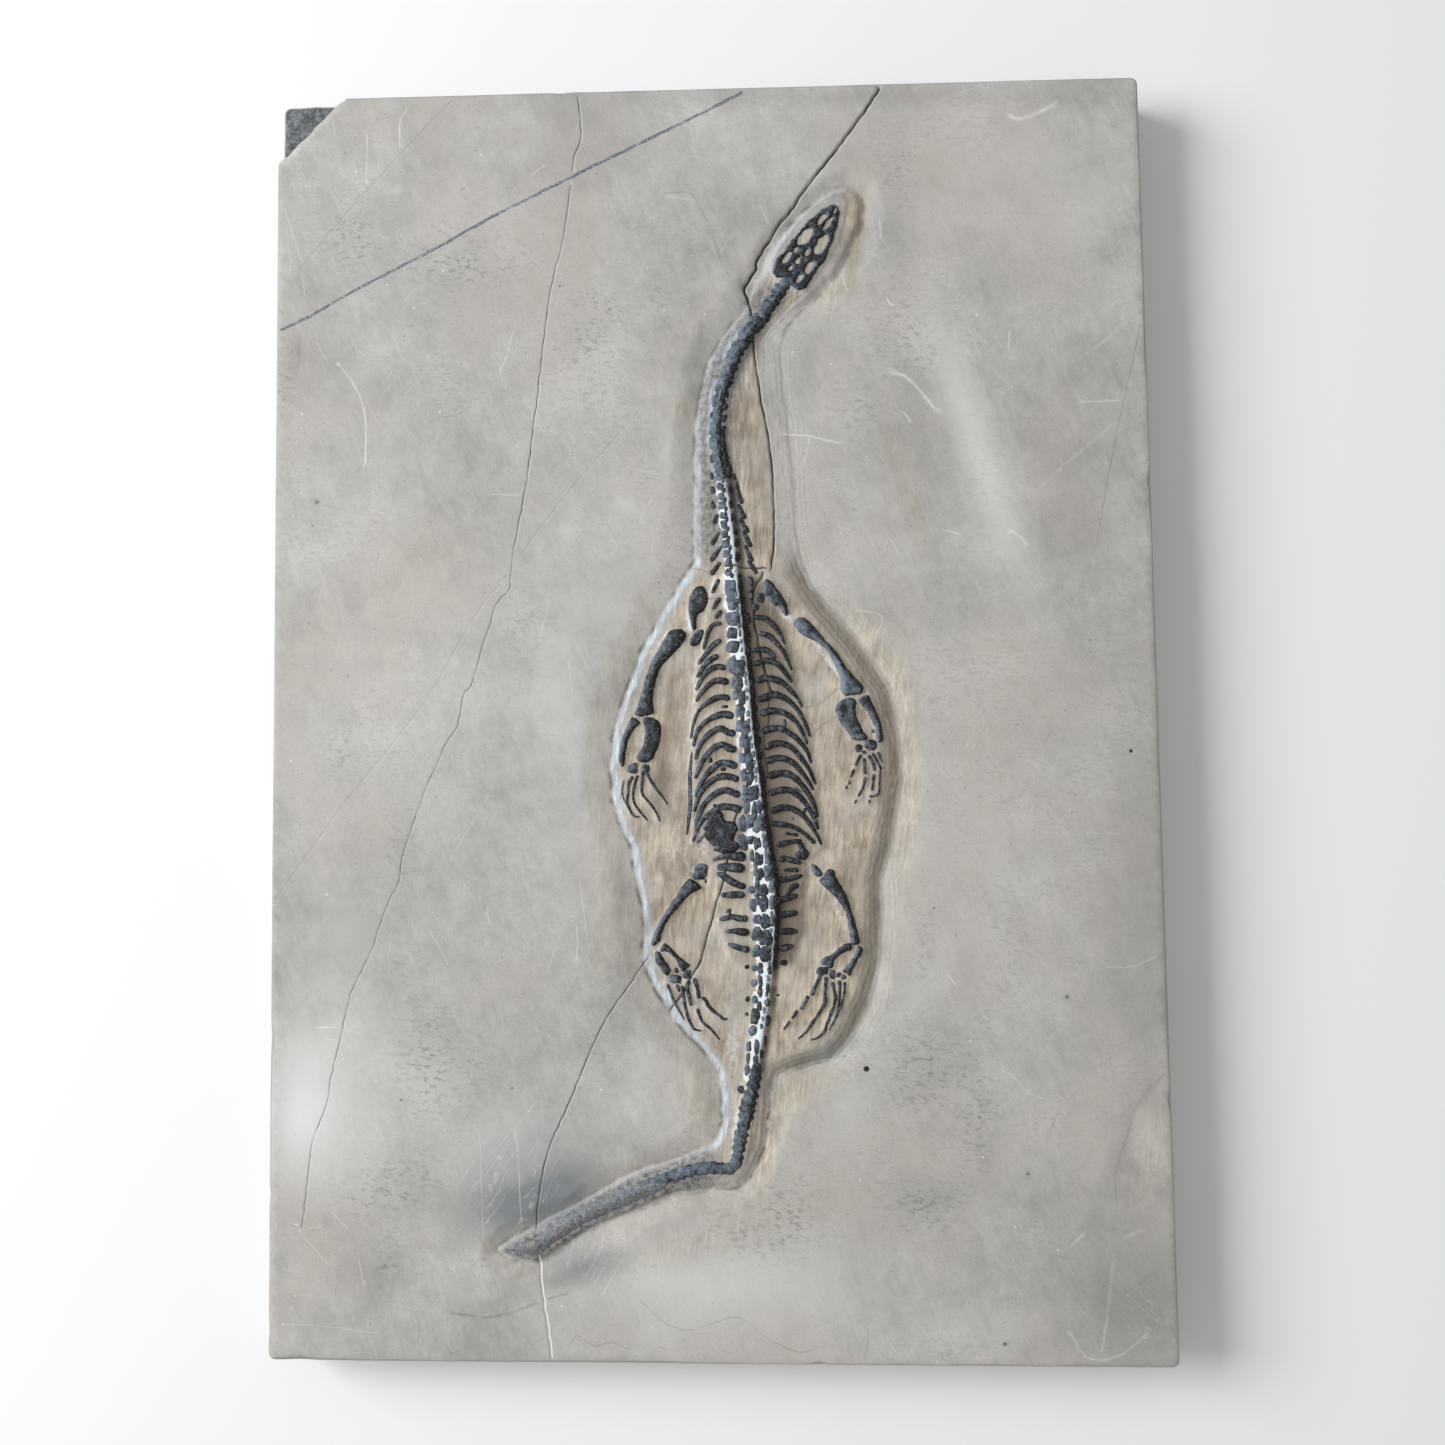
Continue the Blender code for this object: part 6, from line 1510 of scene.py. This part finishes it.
class Heap:
    """Closed bones gathered into one mesh, with a tone for each vertex."""

    def __init__(self, ground):
        self.ground = ground
        self.verts = []
        self.faces = []
        self.tones = []
        self.count = 0

    def place(self, px, py, lift):
        """Pixels and a lift over the stone in mm, as points in metres."""
        x, y = at(px, py)
        z = SLAB_TOP + (look_up(self.ground.height, px, py) + lift) * MM
        return np.column_stack((x, y, z))

    def add(self, verts, faces, tone):
        self.verts.append(verts)
        self.faces += [tuple(int(k) + self.count for k in face) for face in faces]
        self.tones.append(np.broadcast_to(tone, len(verts)))
        self.count += len(verts)

    def stroke(self, line, rise, tone, knobs=0.0, pitch=12.0, step=1.3, fullness=1.0, flank=0.0,
               fade=0.0, lift=0.0):
        """A half-round bone along a line of x, y and half width.

        Its left flank is paler by the flank amount, as painted light, and its rounded sides are darker, as
        painted shade; its tone changes by the fade to its end, and it is raised by the lift in mm.
        """
        path = curve_through(line, step)
        px, py, half = path.T
        half = np.maximum(half, 0.35) * fullness
        run = np.concatenate(([0], np.cumsum(np.hypot(np.diff(px), np.diff(py)))))
        from_end = np.minimum(run, run[-1] - run)
        half = half * (1 + knobs * np.cos(run / pitch * 2 * math.pi + noise(px, py, 12, 81)))
        half *= 1 + 0.12 * noise(px, py, 4.5, 83, 2)
        tip = np.clip(from_end / np.maximum(half, 0.5), 0.02, 1)
        half = half * np.sqrt(1 - (1 - tip) ** 2 * 0.98)
        along = np.column_stack((np.gradient(px), np.gradient(py)))
        along /= np.linalg.norm(along, axis=1)[:, None]
        nx = -along[:, 1]
        ny = along[:, 0]
        shares = -np.cos(np.linspace(0, math.pi, STROKE_SIDES))
        rings = []
        tones = []
        for share in (*shares, 0.75, -0.75):
            x = px + nx * half * share
            y = py + ny * half * share
            # Darker towards the edges: painted shade on the bone's rounded sides; the flank term pales its
            # left side as painted light
            edge = 0.3 * share ** 4
            mottle = 0.25 * noise(x, y, 4, 101, 3)
            tones.append(tone + fade * run / run[-1] - flank * nx * share + mottle - edge)
            if len(rings) >= len(shares):
                rings.append(self.place(x, y, np.full(len(px), -SINK)))
                continue
            dome = (1 - abs(share) ** 2.2) ** 0.5 if abs(share) < 1 else 0
            bulge = rise * half * PIXEL / MM * dome - (0.06 if abs(share) > 0.999 else 0)
            bulge = bulge * (1 + 0.14 * noise(x, y, 3.2, 89, 2)) + 0.05 * noise(x, y, 1.7, 97) * dome
            rings.append(self.place(x, y, bulge + lift))
        sides = len(rings)
        verts = np.stack(rings, axis=1).reshape(-1, 3)
        faces = capped_faces(len(px), sides)
        self.add(verts, [f[::-1] for f in faces], np.stack(tones, axis=1).ravel())

    def lump(self, left, right, top, bottom, tone, lift=0.3, grow=1.0):
        """A small rounded bone that fills a box of pixels."""
        turns = np.arange(LUMP_SIDES) * 2 * math.pi / LUMP_SIDES
        cx = (left + right) / 2
        cy = (top + bottom) / 2
        wobble = 1 + 0.28 * noise(np.cos(turns) * 3 + cx, np.sin(turns) * 3 + cy, 2.0, 103, 2)
        wobble *= grow
        ex = np.sign(np.cos(turns)) * np.abs(np.cos(turns)) ** 0.75 * (right - left) / 2 * wobble
        ey = np.sign(np.sin(turns)) * np.abs(np.sin(turns)) ** 0.75 * (bottom - top) / 2 * wobble
        rings = []
        for reach, share in ((0.08, 1), (0.35, 0.97), (0.62, 0.85), (0.84, 0.6), (0.96, 0.3), (1, -0.15)):
            x = cx + ex * reach
            y = cy + ey * reach
            grain = 0.05 * noise(x, y, 1.8, 107, 2) * (share > 0)
            rings.append(self.place(x, y, lift * share + grain))
        rings.append(self.place(cx + ex * 0.8, cy + ey * 0.8, np.full(LUMP_SIDES, -SINK)))
        verts = np.vstack(rings)
        faces = capped_faces(len(rings), LUMP_SIDES)
        # Paler on its left side and darker on its right: painted light and shade
        lit_left_side = (at(cx, cy)[0] - verts[:, 0]) / (at(right, cy)[0] - at(left, cy)[0])
        mottle = 0.25 * noise(verts[:, 0] / MM, verts[:, 1] / MM, 0.7, 109, 2)
        self.add(verts, faces, tone + mottle + 0.5 * lit_left_side)

    def patch(self, lift, round_width, tone, outline, holes=(), step=1.5, margin=-0.15, flank=0.55,
              ragged=0.35):
        """A flat-topped bone with rounded edges, and openings where the stone shows.

        Its edges are paler by the margin, and those that face left by the flank too, which is painted
        light.
        """
        loops = [rounded_loop(outline, step), *(hole_loop(*hole) for hole in holes)]
        loops = [shaken(loop, ragged) for loop in loops]
        line_points = np.vstack(loops)
        low = loops[0].min(axis=0)
        high = loops[0].max(axis=0)
        gx, gy = np.meshgrid(np.arange(low[0], high[0], step),
                             np.arange(low[1], high[1], step * ROW_SHARE))
        gx = gx + (np.arange(gx.shape[0]) % 2)[:, None] * step / 2
        gx = gx.ravel()
        gy = gy.ravel()
        keep = self.patch_depth(gx, gy, loops) > step * 0.55
        x = np.concatenate((line_points[:, 0], gx[keep]))
        y = np.concatenate((line_points[:, 1], gy[keep]))
        edges = []
        start = 0
        for loop in loops:
            edges += [(start + k, start + (k + 1) % len(loop)) for k in range(len(loop))]
            start += len(loop)
        points = [Vector(p) for p in zip(x, y)]
        _, _, triangles, sources, _, _ = delaunay_2d_cdt(points, edges, [], 0, 1e-6)
        source = np.array([each[0] if each else 0 for each in sources])
        tri = source[np.array(triangles)]
        mid_depth = self.patch_depth(x[tri].mean(axis=1), y[tri].mean(axis=1), loops)
        tri = tri[mid_depth > 0]
        depth = np.clip(self.patch_depth(x, y, loops), 0, None)
        depth[:len(line_points)] = 0
        round_share = np.clip(depth / round_width, 0, 1)
        dome = np.sqrt(1 - (1 - round_share) ** 2)
        bumps = 1 + 0.2 * noise(x, y, 6, 137, 3)
        height = lift * dome * bumps + 0.035 * noise(x, y, 2.2, 139, 2) * (depth > 0)
        height[:len(line_points)] = -0.05
        top = self.place(x, y, height)
        low_points = self.place(x, y, np.full(len(x), -SINK))
        if signed_area(top[tri[0]]) < 0:
            tri = tri[:, ::-1]
        faces = [tuple(t) for t in tri] + [tuple(t[::-1] + len(x)) for t in tri]
        faces += border_faces(tri, len(x))
        slope = (self.patch_depth(x + 1, y, loops) - self.patch_depth(x - 1, y, loops)) / 2
        band = 1 - smooth(depth / (round_width * 1.4))
        # The flank term pales the edges that face left: painted light
        tones = tone + 0.25 * noise(x, y, 6, 149, 4) + band * (margin + flank * slope)
        self.add(np.vstack((top, low_points)), faces, np.concatenate((tones, tones)))

    @staticmethod
    def patch_depth(x, y, loops):
        """How far points lie inside the first loop and outside the others."""
        depth = depth_inside(x, y, [tuple(p) for p in loops[0]])
        for loop in loops[1:]:
            depth = np.minimum(depth, -depth_inside(x, y, [tuple(p) for p in loop]))
        return depth

    def build(self, name, material, nodes):
        marks = {"tone": np.concatenate(self.tones)}
        return new_piece(name, np.vstack(self.verts), self.faces, marks, material, nodes)


def make_skull(ground, bone):
    heap = Heap(ground)
    heap.patch(0.5, 2.6, 0.02, SKULL_BONES, SKULL_HOLES, step=1.0, margin=0.2, flank=0.5,
               ragged=0.9)
    return heap.build("skull_bones", bone, ("skull",))


# Strands along the neck: the share of its half width, their half width and the widest gap
NECK_STRANDS = ((1.05, 1.9, 4), (0.65, 1.4, 6), (0.1, 1.1, 9))


def make_neck(ground, bone):
    heap = Heap(ground)
    heap.stroke(NECK, 0.32, 0.42, knobs=0.1, pitch=9, flank=0.55)
    neck_streaks(heap)
    for line in NECK_PROCESSES:
        heap.stroke(line, 0.5, 0.1, step=1, fullness=1.2)
    for x, half, top, bottom in NECK_SPOTS:
        heap.lump(x - half, x + half, top, bottom, -0.05, 0.2)
    for py in np.arange(440, 582, 9.5):
        px = np.interp(py, (440, 580), (716, 730))
        heap.lump(px - 4.2, px + 3.4, py - 4.4, py + 4.2, 0.45, 0.2)
        heap.lump(px + 1.2, px + 5.2, py + 0.8, py + 6.4, 0.05, 0.18)
    return heap.build("neck_bones", bone, ("neck_vertebrae",))


def neck_streaks(heap):
    """Short pale strands along the neck's left flank, which make it look like a bundle."""
    rng = np.random.default_rng(157)
    path = curve_through(NECK, 1)
    along = np.column_stack((np.gradient(path[:, 0]), np.gradient(path[:, 1])))
    along /= np.linalg.norm(along, axis=1)[:, None]
    for share, thick, gap in NECK_STRANDS:
        start = int(rng.uniform(8, 20))
        while start < len(path) - 16:
            stop = min(start + int(rng.uniform(7, 17)), len(path) - 2)
            bits = []
            for k in range(start, stop, 3):
                px, py, half = path[k]
                reach = half * share + rng.uniform(-0.5, 0.5)
                bits.append((px - along[k, 1] * reach, py + along[k, 0] * reach,
                             thick * rng.uniform(0.7, 1.2)))
            if len(bits) > 1:
                heap.stroke(bits, 0.45, rng.uniform(0.6, 0.9), step=1, lift=0.12 + 0.5 * (1 - share))
            start = stop + int(rng.uniform(1, gap))


def crest_beads(heap):
    """Bluish ends of the vertebrae's spines along the crest, with gaps between them."""
    rng = np.random.default_rng(151)
    line = curve_through([p[:2] + (0,) for p in CREST if 580 < p[1] < 1060], 1)
    for i in range(0, len(line), 8):
        px, py, _ = line[i] + (-2.2, 0, 0)
        long_half = rng.uniform(2.4, 3.8)
        half = rng.uniform(1.3, 2.3)
        if rng.random() > 0.15:
            heap.lump(px - half, px + half, py - long_half, py + long_half, rng.uniform(0.55, 1.0), 0.14)


def make_trunk(ground, bone):
    heap = Heap(ground)
    for line in LEFT_RIBS + LEFT_LOWER_RIBS:
        heap.stroke(line, 0.62, 0.12, fullness=RIB_FULLNESS, flank=0.12, fade=0.25)
    for line in RIGHT_RIBS + RIGHT_LOWER_RIBS:
        heap.stroke(line, 0.62, 0.08, fullness=RIB_FULLNESS, flank=0.12)
    heap.stroke(FORKED_RIB, 0.5, 0.1)
    for line in EXTRA_RIBS:
        heap.stroke(line, 0.5, 0.3)
    for left, right, top, bottom, tone in VERTEBRAE:
        heap.lump(left, right, top, bottom, tone * 0.9 - 0.05, 0.26, grow=1.22)
    for left, right, top, bottom, tone in SPINE_FOOT + FLECKS:
        heap.lump(left, right, top, bottom, tone, 0.2)
    crest_beads(heap)
    # A strip of bone down the crest's right side, darkened below the bones' usual tone as painted shade
    flank = [(x + 3.6, y, 2.4) for x, y, *_ in CREST if 570 < y < 975]
    heap.stroke(flank, 0.25, -0.2, knobs=0.25, pitch=13)
    return heap.build("trunk_bones", bone, ("backbone_and_ribs",))


def make_tail(ground, bone):
    heap = Heap(ground)
    heap.stroke(TAIL_BASE, 0.2, 0.26, knobs=0.12, pitch=8, flank=0.35, fade=0.5)
    heap.stroke(TAIL_END, 0.17, 1.5, knobs=0.06, pitch=9)
    for left, right, top, bottom, tone in TAIL_LUMPS:
        heap.lump(left, right, top, bottom, tone, 0.22)
    heap.lump(528, 544, 1238, 1254, 1.7, 0.5)
    return heap.build("tail_bones", bone, ("tail_vertebrae",))


def make_limbs(ground, bone):
    """Every bone that is an outline, a hand or a foot, each in place of its own CAD node."""
    for node in dict.fromkeys((*PATCHES, *DIGITS, *LUMPS)):
        heap = Heap(ground)
        for lift, round_width, tone, outline in PATCHES.get(node, ()):
            heap.patch(lift, round_width, tone, outline)
        for rise, tone, line in DIGITS.get(node, ()):
            heap.stroke(line, rise, tone, step=1)
        for left, right, top, bottom, tone in LUMPS.get(node, ()):
            heap.lump(left, right, top, bottom, tone, 0.35 if right - left > 12 else 0.3)
        heap.build(node + "_bone", bone, (node,))


class Shader:
    """A material whose nodes are added one call each."""

    def __init__(self, name):
        self.material = bpy.data.materials.new(name)
        self.material.use_nodes = True
        self.tree = self.material.node_tree
        self.surface = self.tree.nodes["Principled BSDF"]

    def node(self, kind, inputs=None, **settings):
        made = self.tree.nodes.new("ShaderNode" + kind)
        for key, value in settings.items():
            setattr(made, key, value)
        for key, value in (inputs or {}).items():
            self.set(made.inputs[key], value)
        return made

    def set(self, socket, value):
        if isinstance(value, bpy.types.NodeSocket):
            self.tree.links.new(value, socket)
        else:
            socket.default_value = value

    def mark(self, name):
        return self.node("Attribute", attribute_name=name).outputs["Fac"]

    def math(self, operation, a, b=0.0, clamp=False):
        made = self.node("Math", operation=operation, use_clamp=clamp)
        self.set(made.inputs[0], a)
        self.set(made.inputs[1], b)
        return made.outputs[0]

    def times(self, a, b, clamp=False):
        return self.math("MULTIPLY", a, b, clamp)

    def plus(self, a, b, clamp=False):
        return self.math("ADD", a, b, clamp)

    def minus(self, a, b):
        return self.math("SUBTRACT", a, b)

    def stretch(self, value, low, high):
        """A value drawn out so that low becomes 0 and high becomes 1."""
        made = self.node("MapRange", {"Value": value, "From Min": low, "From Max": high})
        return made.outputs[0]

    def mix(self, share, a, b):
        made = self.node("Mix", data_type="RGBA")
        self.set(made.inputs["Factor"], share)
        for key, colour in ((6, a), (7, b)):
            self.set(made.inputs[key], (*colour, 1) if isinstance(colour, tuple) else colour)
        return made.outputs[2]

    def millimetres(self, scale=(1, 1, 1), turn=0.0):
        """The surface's place in millimetres, stretched and turned."""
        place = self.node("TexCoord").outputs["Object"]
        mapping = self.node("Mapping", {"Vector": place})
        mapping.vector_type = "TEXTURE"
        mapping.inputs["Scale"].default_value = [MM / s for s in scale]
        mapping.inputs["Rotation"].default_value = (0, 0, turn)
        return mapping.outputs[0]

    def noise(self, vector, scale, detail=3.0, roughness=0.5, distortion=0.0):
        made = self.node("TexNoise", {"Vector": vector, "Scale": scale, "Detail": detail,
                                      "Roughness": roughness, "Distortion": distortion})
        return made.outputs["Fac"]


def make_stone():
    """Ground limestone: mottled grey, scraped and warm round the animal, pale beside the bones, with
    painted light and painted shade beside its raised parts.
    """
    s = Shader("stone")
    place = s.millimetres()
    mottle = s.noise(place, 0.16, 6, 0.62)
    blotch = s.noise(place, 0.75, 4, 0.62)
    grain = s.noise(place, 2.2, 3, 0.6)
    streak = s.noise(s.millimetres((2.6, 0.4, 1), math.radians(-6)), 0.5, 5, 0.66, 0.4)
    grit = s.minus(grain, 0.5)
    colour = slab_colour(s, place, mottle, blotch, grain)
    colour = plateau_colour(s, colour, streak, mottle, blotch, grit)
    blue = s.plus(s.mark("blue"), s.times(s.minus(mottle, 0.5), 0.7))
    blue = s.times(blue, s.stretch(s.mark("blue"), 0.0, 0.3), True)
    colour = s.mix(s.times(blue, 0.85), colour, BLUE_GREY)
    # The dark mark: painted shade beside the crest, the walls' foot and the skull, with some residue
    colour = s.mix(s.times(s.mark("dark"), 0.92, True), colour, SHADE_AND_RESIDUE)
    chip = s.plus(s.times(blotch, 0.5), s.times(grain, 0.5))
    colour = s.mix(s.mark("chip"), colour, s.mix(s.stretch(chip, 0.44, 0.6), CHIP_DARK, CHIP_PALE))
    colour = s.mix(s.times(s.mark("side"), 0.35), colour, STONE_SHADE)
    vein = s.mix(s.stretch(grain, 0.54, 0.66), VEIN_DARK, VEIN_WHITE)
    colour = s.mix(s.stretch(s.mark("vein"), 0.15, 0.6), colour, vein)
    scratch_share = s.stretch(s.mark("scratch"), 0.0, 0.2)
    broken = s.plus(s.mark("scratch"), s.times(grit, scratch_share))
    colour = s.mix(s.times(broken, 0.9, True), colour, SCRATCH)
    colour = s.mix(s.stretch(s.mark("crack"), 0.05, 0.8), colour, CRACK)
    s.set(s.surface.inputs["Base Color"], colour)
    rough = s.minus(0.66, s.times(s.mark("blue"), 0.25))
    s.set(s.surface.inputs["Roughness"], s.plus(rough, s.times(grain, 0.1), True))
    s.surface.inputs["Specular IOR Level"].default_value = SPECULAR
    scrape = s.times(streak, s.plus(s.mark("warm"), s.mark("painted_light")))
    rough_stone = s.times(blotch, s.plus(s.mark("chip"), s.mark("ash")))
    relief = s.plus(s.times(grain, 0.35), s.times(scrape, 1.6))
    relief = s.plus(relief, s.times(rough_stone, 2.0))
    bump = s.node("Bump", {"Height": relief, "Strength": 0.7, "Distance": 0.00018})
    s.set(s.surface.inputs["Normal"], bump.outputs[0])
    return s.material


def plateau_colour(s, colour, streak, mottle, blotch, grit):
    """The raised stone: warm scraped streaks, split layers, deep brown that is mostly painted shade, white
    round the spine that is partly painted light, and painted blue light on the rims.
    """
    warm_share = s.plus(s.times(streak, 0.6), s.times(mottle, 0.4))
    warm = s.mix(s.stretch(warm_share, 0.39, 0.59), WARM_DARK, WARM_PALE)
    colour = s.mix(s.times(s.mark("warm"), 0.92, True), colour, warm)
    ash = s.mix(s.stretch(s.plus(blotch, s.times(grit, 0.4)), 0.38, 0.62),
                ASH_DARK, ASH_PALE)
    colour = s.mix(s.times(s.mark("ash"), 0.9, True), colour, ash)
    level = s.plus(s.mark("level"), s.times(mottle, 0.8))
    line = s.math("ABSOLUTE", s.minus(s.math("FRACT", level), 0.5))
    line = s.times(s.stretch(line, 0.3, 0.5), s.mark("layers"))
    line = s.times(line, s.stretch(blotch, 0.35, 0.55))
    colour = s.mix(s.times(line, 0.6), colour, LAYER_DARK)
    # Deep brown: painted shade beside the crest, the bones and the right wall, with some brown earth
    earth_and_shade = s.plus(s.mark("earth_and_shade"), s.times(s.minus(streak, 0.5), 0.4))
    earth_and_shade = s.times(earth_and_shade, s.stretch(s.mark("earth_and_shade"), 0.0, 0.1), True)
    colour = s.mix(s.times(earth_and_shade, 0.85), colour, WARM_DEEP)
    edge = s.times(s.minus(blotch, 0.5), 1.3)
    ragged = s.plus(s.plus(s.mark("pale"), edge), s.times(grit, 0.5))
    ragged = s.times(s.stretch(ragged, 0.2, 0.75), s.stretch(s.mark("pale"), 0.02, 0.25), True)
    colour = s.mix(ragged, colour, PALE)
    # Painted blue light on the left-facing walls, beside the neck and the skull, and on the crest
    painted_light = s.mix(s.stretch(streak, 0.36, 0.6), PAINTED_LIGHT_DIM, PAINTED_LIGHT_BRIGHT)
    return s.mix(s.times(s.mark("painted_light"), 0.75, True), colour, painted_light)


def slab_colour(s, place, mottle, blotch, grain):
    """The ground face: soft clouds, a brushed grain, crowds of dark specks and pale flecks."""
    cloud = s.noise(place, 0.035, 5, 0.6)
    brushed = s.noise(s.millimetres((1.6, 0.3, 1), math.radians(22)), 0.36, 5, 0.6, 0.9)
    blend = s.plus(s.times(cloud, 0.48), s.times(mottle, 0.22))
    blend = s.plus(blend, s.times(brushed, 0.16))
    blend = s.plus(blend, s.times(blotch, 0.14))
    colour = s.mix(s.stretch(blend, 0.4, 0.6), STONE_DARK, STONE_PALE)
    tint = s.stretch(s.noise(place, 0.026, 3, 0.55), 0.42, 0.64)
    colour = s.mix(s.times(tint, 0.5), colour, STONE_WARM)
    crowd = s.plus(s.times(s.stretch(cloud, 0.5, 0.62), 0.3),
                   s.times(s.mark("specks"), 0.9), True)
    dashes = s.noise(s.millimetres((0.6, 1.3, 1), math.radians(-7)), 0.95, 3, 0.6)
    dash_share = s.times(s.stretch(dashes, 0.52, 0.64), crowd)
    colour = s.mix(s.times(dash_share, 0.7), colour, STONE_SPECK)
    smudge = s.times(s.stretch(mottle, 0.45, 0.62), s.mark("specks"))
    colour = s.mix(s.times(smudge, 0.22), colour, STONE_SPECK)
    specks = s.stretch(s.plus(blotch, s.times(grain, 0.3)), 0.78, 0.88)
    colour = s.mix(s.times(specks, 0.5), colour, STONE_SPECK)
    flecks = s.stretch(s.plus(blotch, s.times(grain, 0.3)), 0.48, 0.4)
    colour = s.mix(s.times(flecks, 0.4), colour, STONE_FLECK)
    colour = s.mix(s.times(s.stretch(grain, 0.35, 0.65), 0.14), colour, STONE_SPECK)
    tone = s.mark("tone")
    colour = s.mix(s.math("MAXIMUM", tone, 0.0), colour, STONE_LIGHT)
    return s.mix(s.times(s.math("MINIMUM", tone, 0.0), -1.0), colour, STONE_SHADE)


def make_bone():
    """Blue-black fossil bone with a fine grain and a low gloss."""
    s = Shader("bone")
    place = s.millimetres()
    fine = s.noise(place, 1.9, 4, 0.72)
    broad = s.noise(place, 0.8, 4, 0.6)
    tone = s.times(s.mark("tone"), 0.75)
    tone = s.plus(tone, s.times(s.minus(broad, 0.54), 1.7))
    colour = s.mix(s.plus(tone, 0.0, True), BONE_DARK, BONE_PALE)
    colour = s.mix(s.times(s.stretch(fine, 0.55, 0.67), 0.5), colour, BONE_FLECK)
    stony = s.mix(s.stretch(fine, 0.38, 0.62), BONE_STONY_DARK, BONE_STONY_PALE)
    colour = s.mix(s.stretch(s.mark("tone"), 0.9, 1.6), colour, stony)
    s.set(s.surface.inputs["Base Color"], colour)
    s.set(s.surface.inputs["Roughness"], s.plus(0.28, s.times(fine, 0.4)))
    s.surface.inputs["Specular IOR Level"].default_value = SPECULAR
    bump = s.node("Bump", {"Height": s.plus(fine, s.times(broad, 0.5)),
                           "Strength": 0.9, "Distance": 0.00022})
    s.set(s.surface.inputs["Normal"], bump.outputs[0])
    return s.material


def make_stage():
    """A pale floor, a cool window light from the left, a warm soft fill, and the camera."""
    bpy.ops.mesh.primitive_plane_add(size=FLOOR_SIZE, location=(0, 0, -FLOOR_GAP))
    floor = bpy.context.object
    floor.name = "floor"
    s = Shader("floor")
    s.surface.inputs["Base Color"].default_value = (*FLOOR_COLOUR, 1)
    s.surface.inputs["Roughness"].default_value = FLOOR_ROUGHNESS
    floor.data.materials.append(s.material)
    world = bpy.data.worlds.new("studio")
    world.use_nodes = True
    shade = world.node_tree.nodes["Background"]
    shade.inputs["Color"].default_value = (*FILL_COLOUR, 1)
    shade.inputs["Strength"].default_value = FILL_STRENGTH
    bpy.context.scene.world = world
    lamp = bpy.data.lights.new("window", "AREA")
    lamp.energy = KEY_POWER
    lamp.color = KEY_COLOUR
    lamp.size = KEY_SIZE
    window_light = bpy.data.objects.new("window", lamp)
    bpy.context.scene.collection.objects.link(window_light)
    azimuth, elevation = (math.radians(a) for a in KEY_DIRECTION)
    away = Vector((math.cos(azimuth) * math.cos(elevation), math.sin(azimuth) * math.cos(elevation),
                   math.sin(elevation)))
    window_light.location = away * KEY_DISTANCE
    window_light.rotation_euler = away.to_track_quat("Z", "Y").to_euler()
    camera = bpy.data.cameras.new("camera")
    camera.lens = CAMERA_LENS
    camera.sensor_width = SENSOR_WIDTH
    camera.clip_start = 0.01
    eye = bpy.data.objects.new("camera", camera)
    bpy.context.scene.collection.objects.link(eye)
    eye.location = CAMERA_PLACE
    eye.rotation_euler = Euler([math.radians(a) for a in CAMERA_TILT])
    bpy.context.scene.camera = eye
    bpy.context.scene.view_settings.view_transform = "Standard"


def main():
    ground = Ground()
    stone = make_stone()
    bone = make_bone()
    make_slab(ground, stone)
    make_skull(ground, bone)
    make_neck(ground, bone)
    make_trunk(ground, bone)
    make_tail(ground, bone)
    make_limbs(ground, bone)
    make_stage()


main()
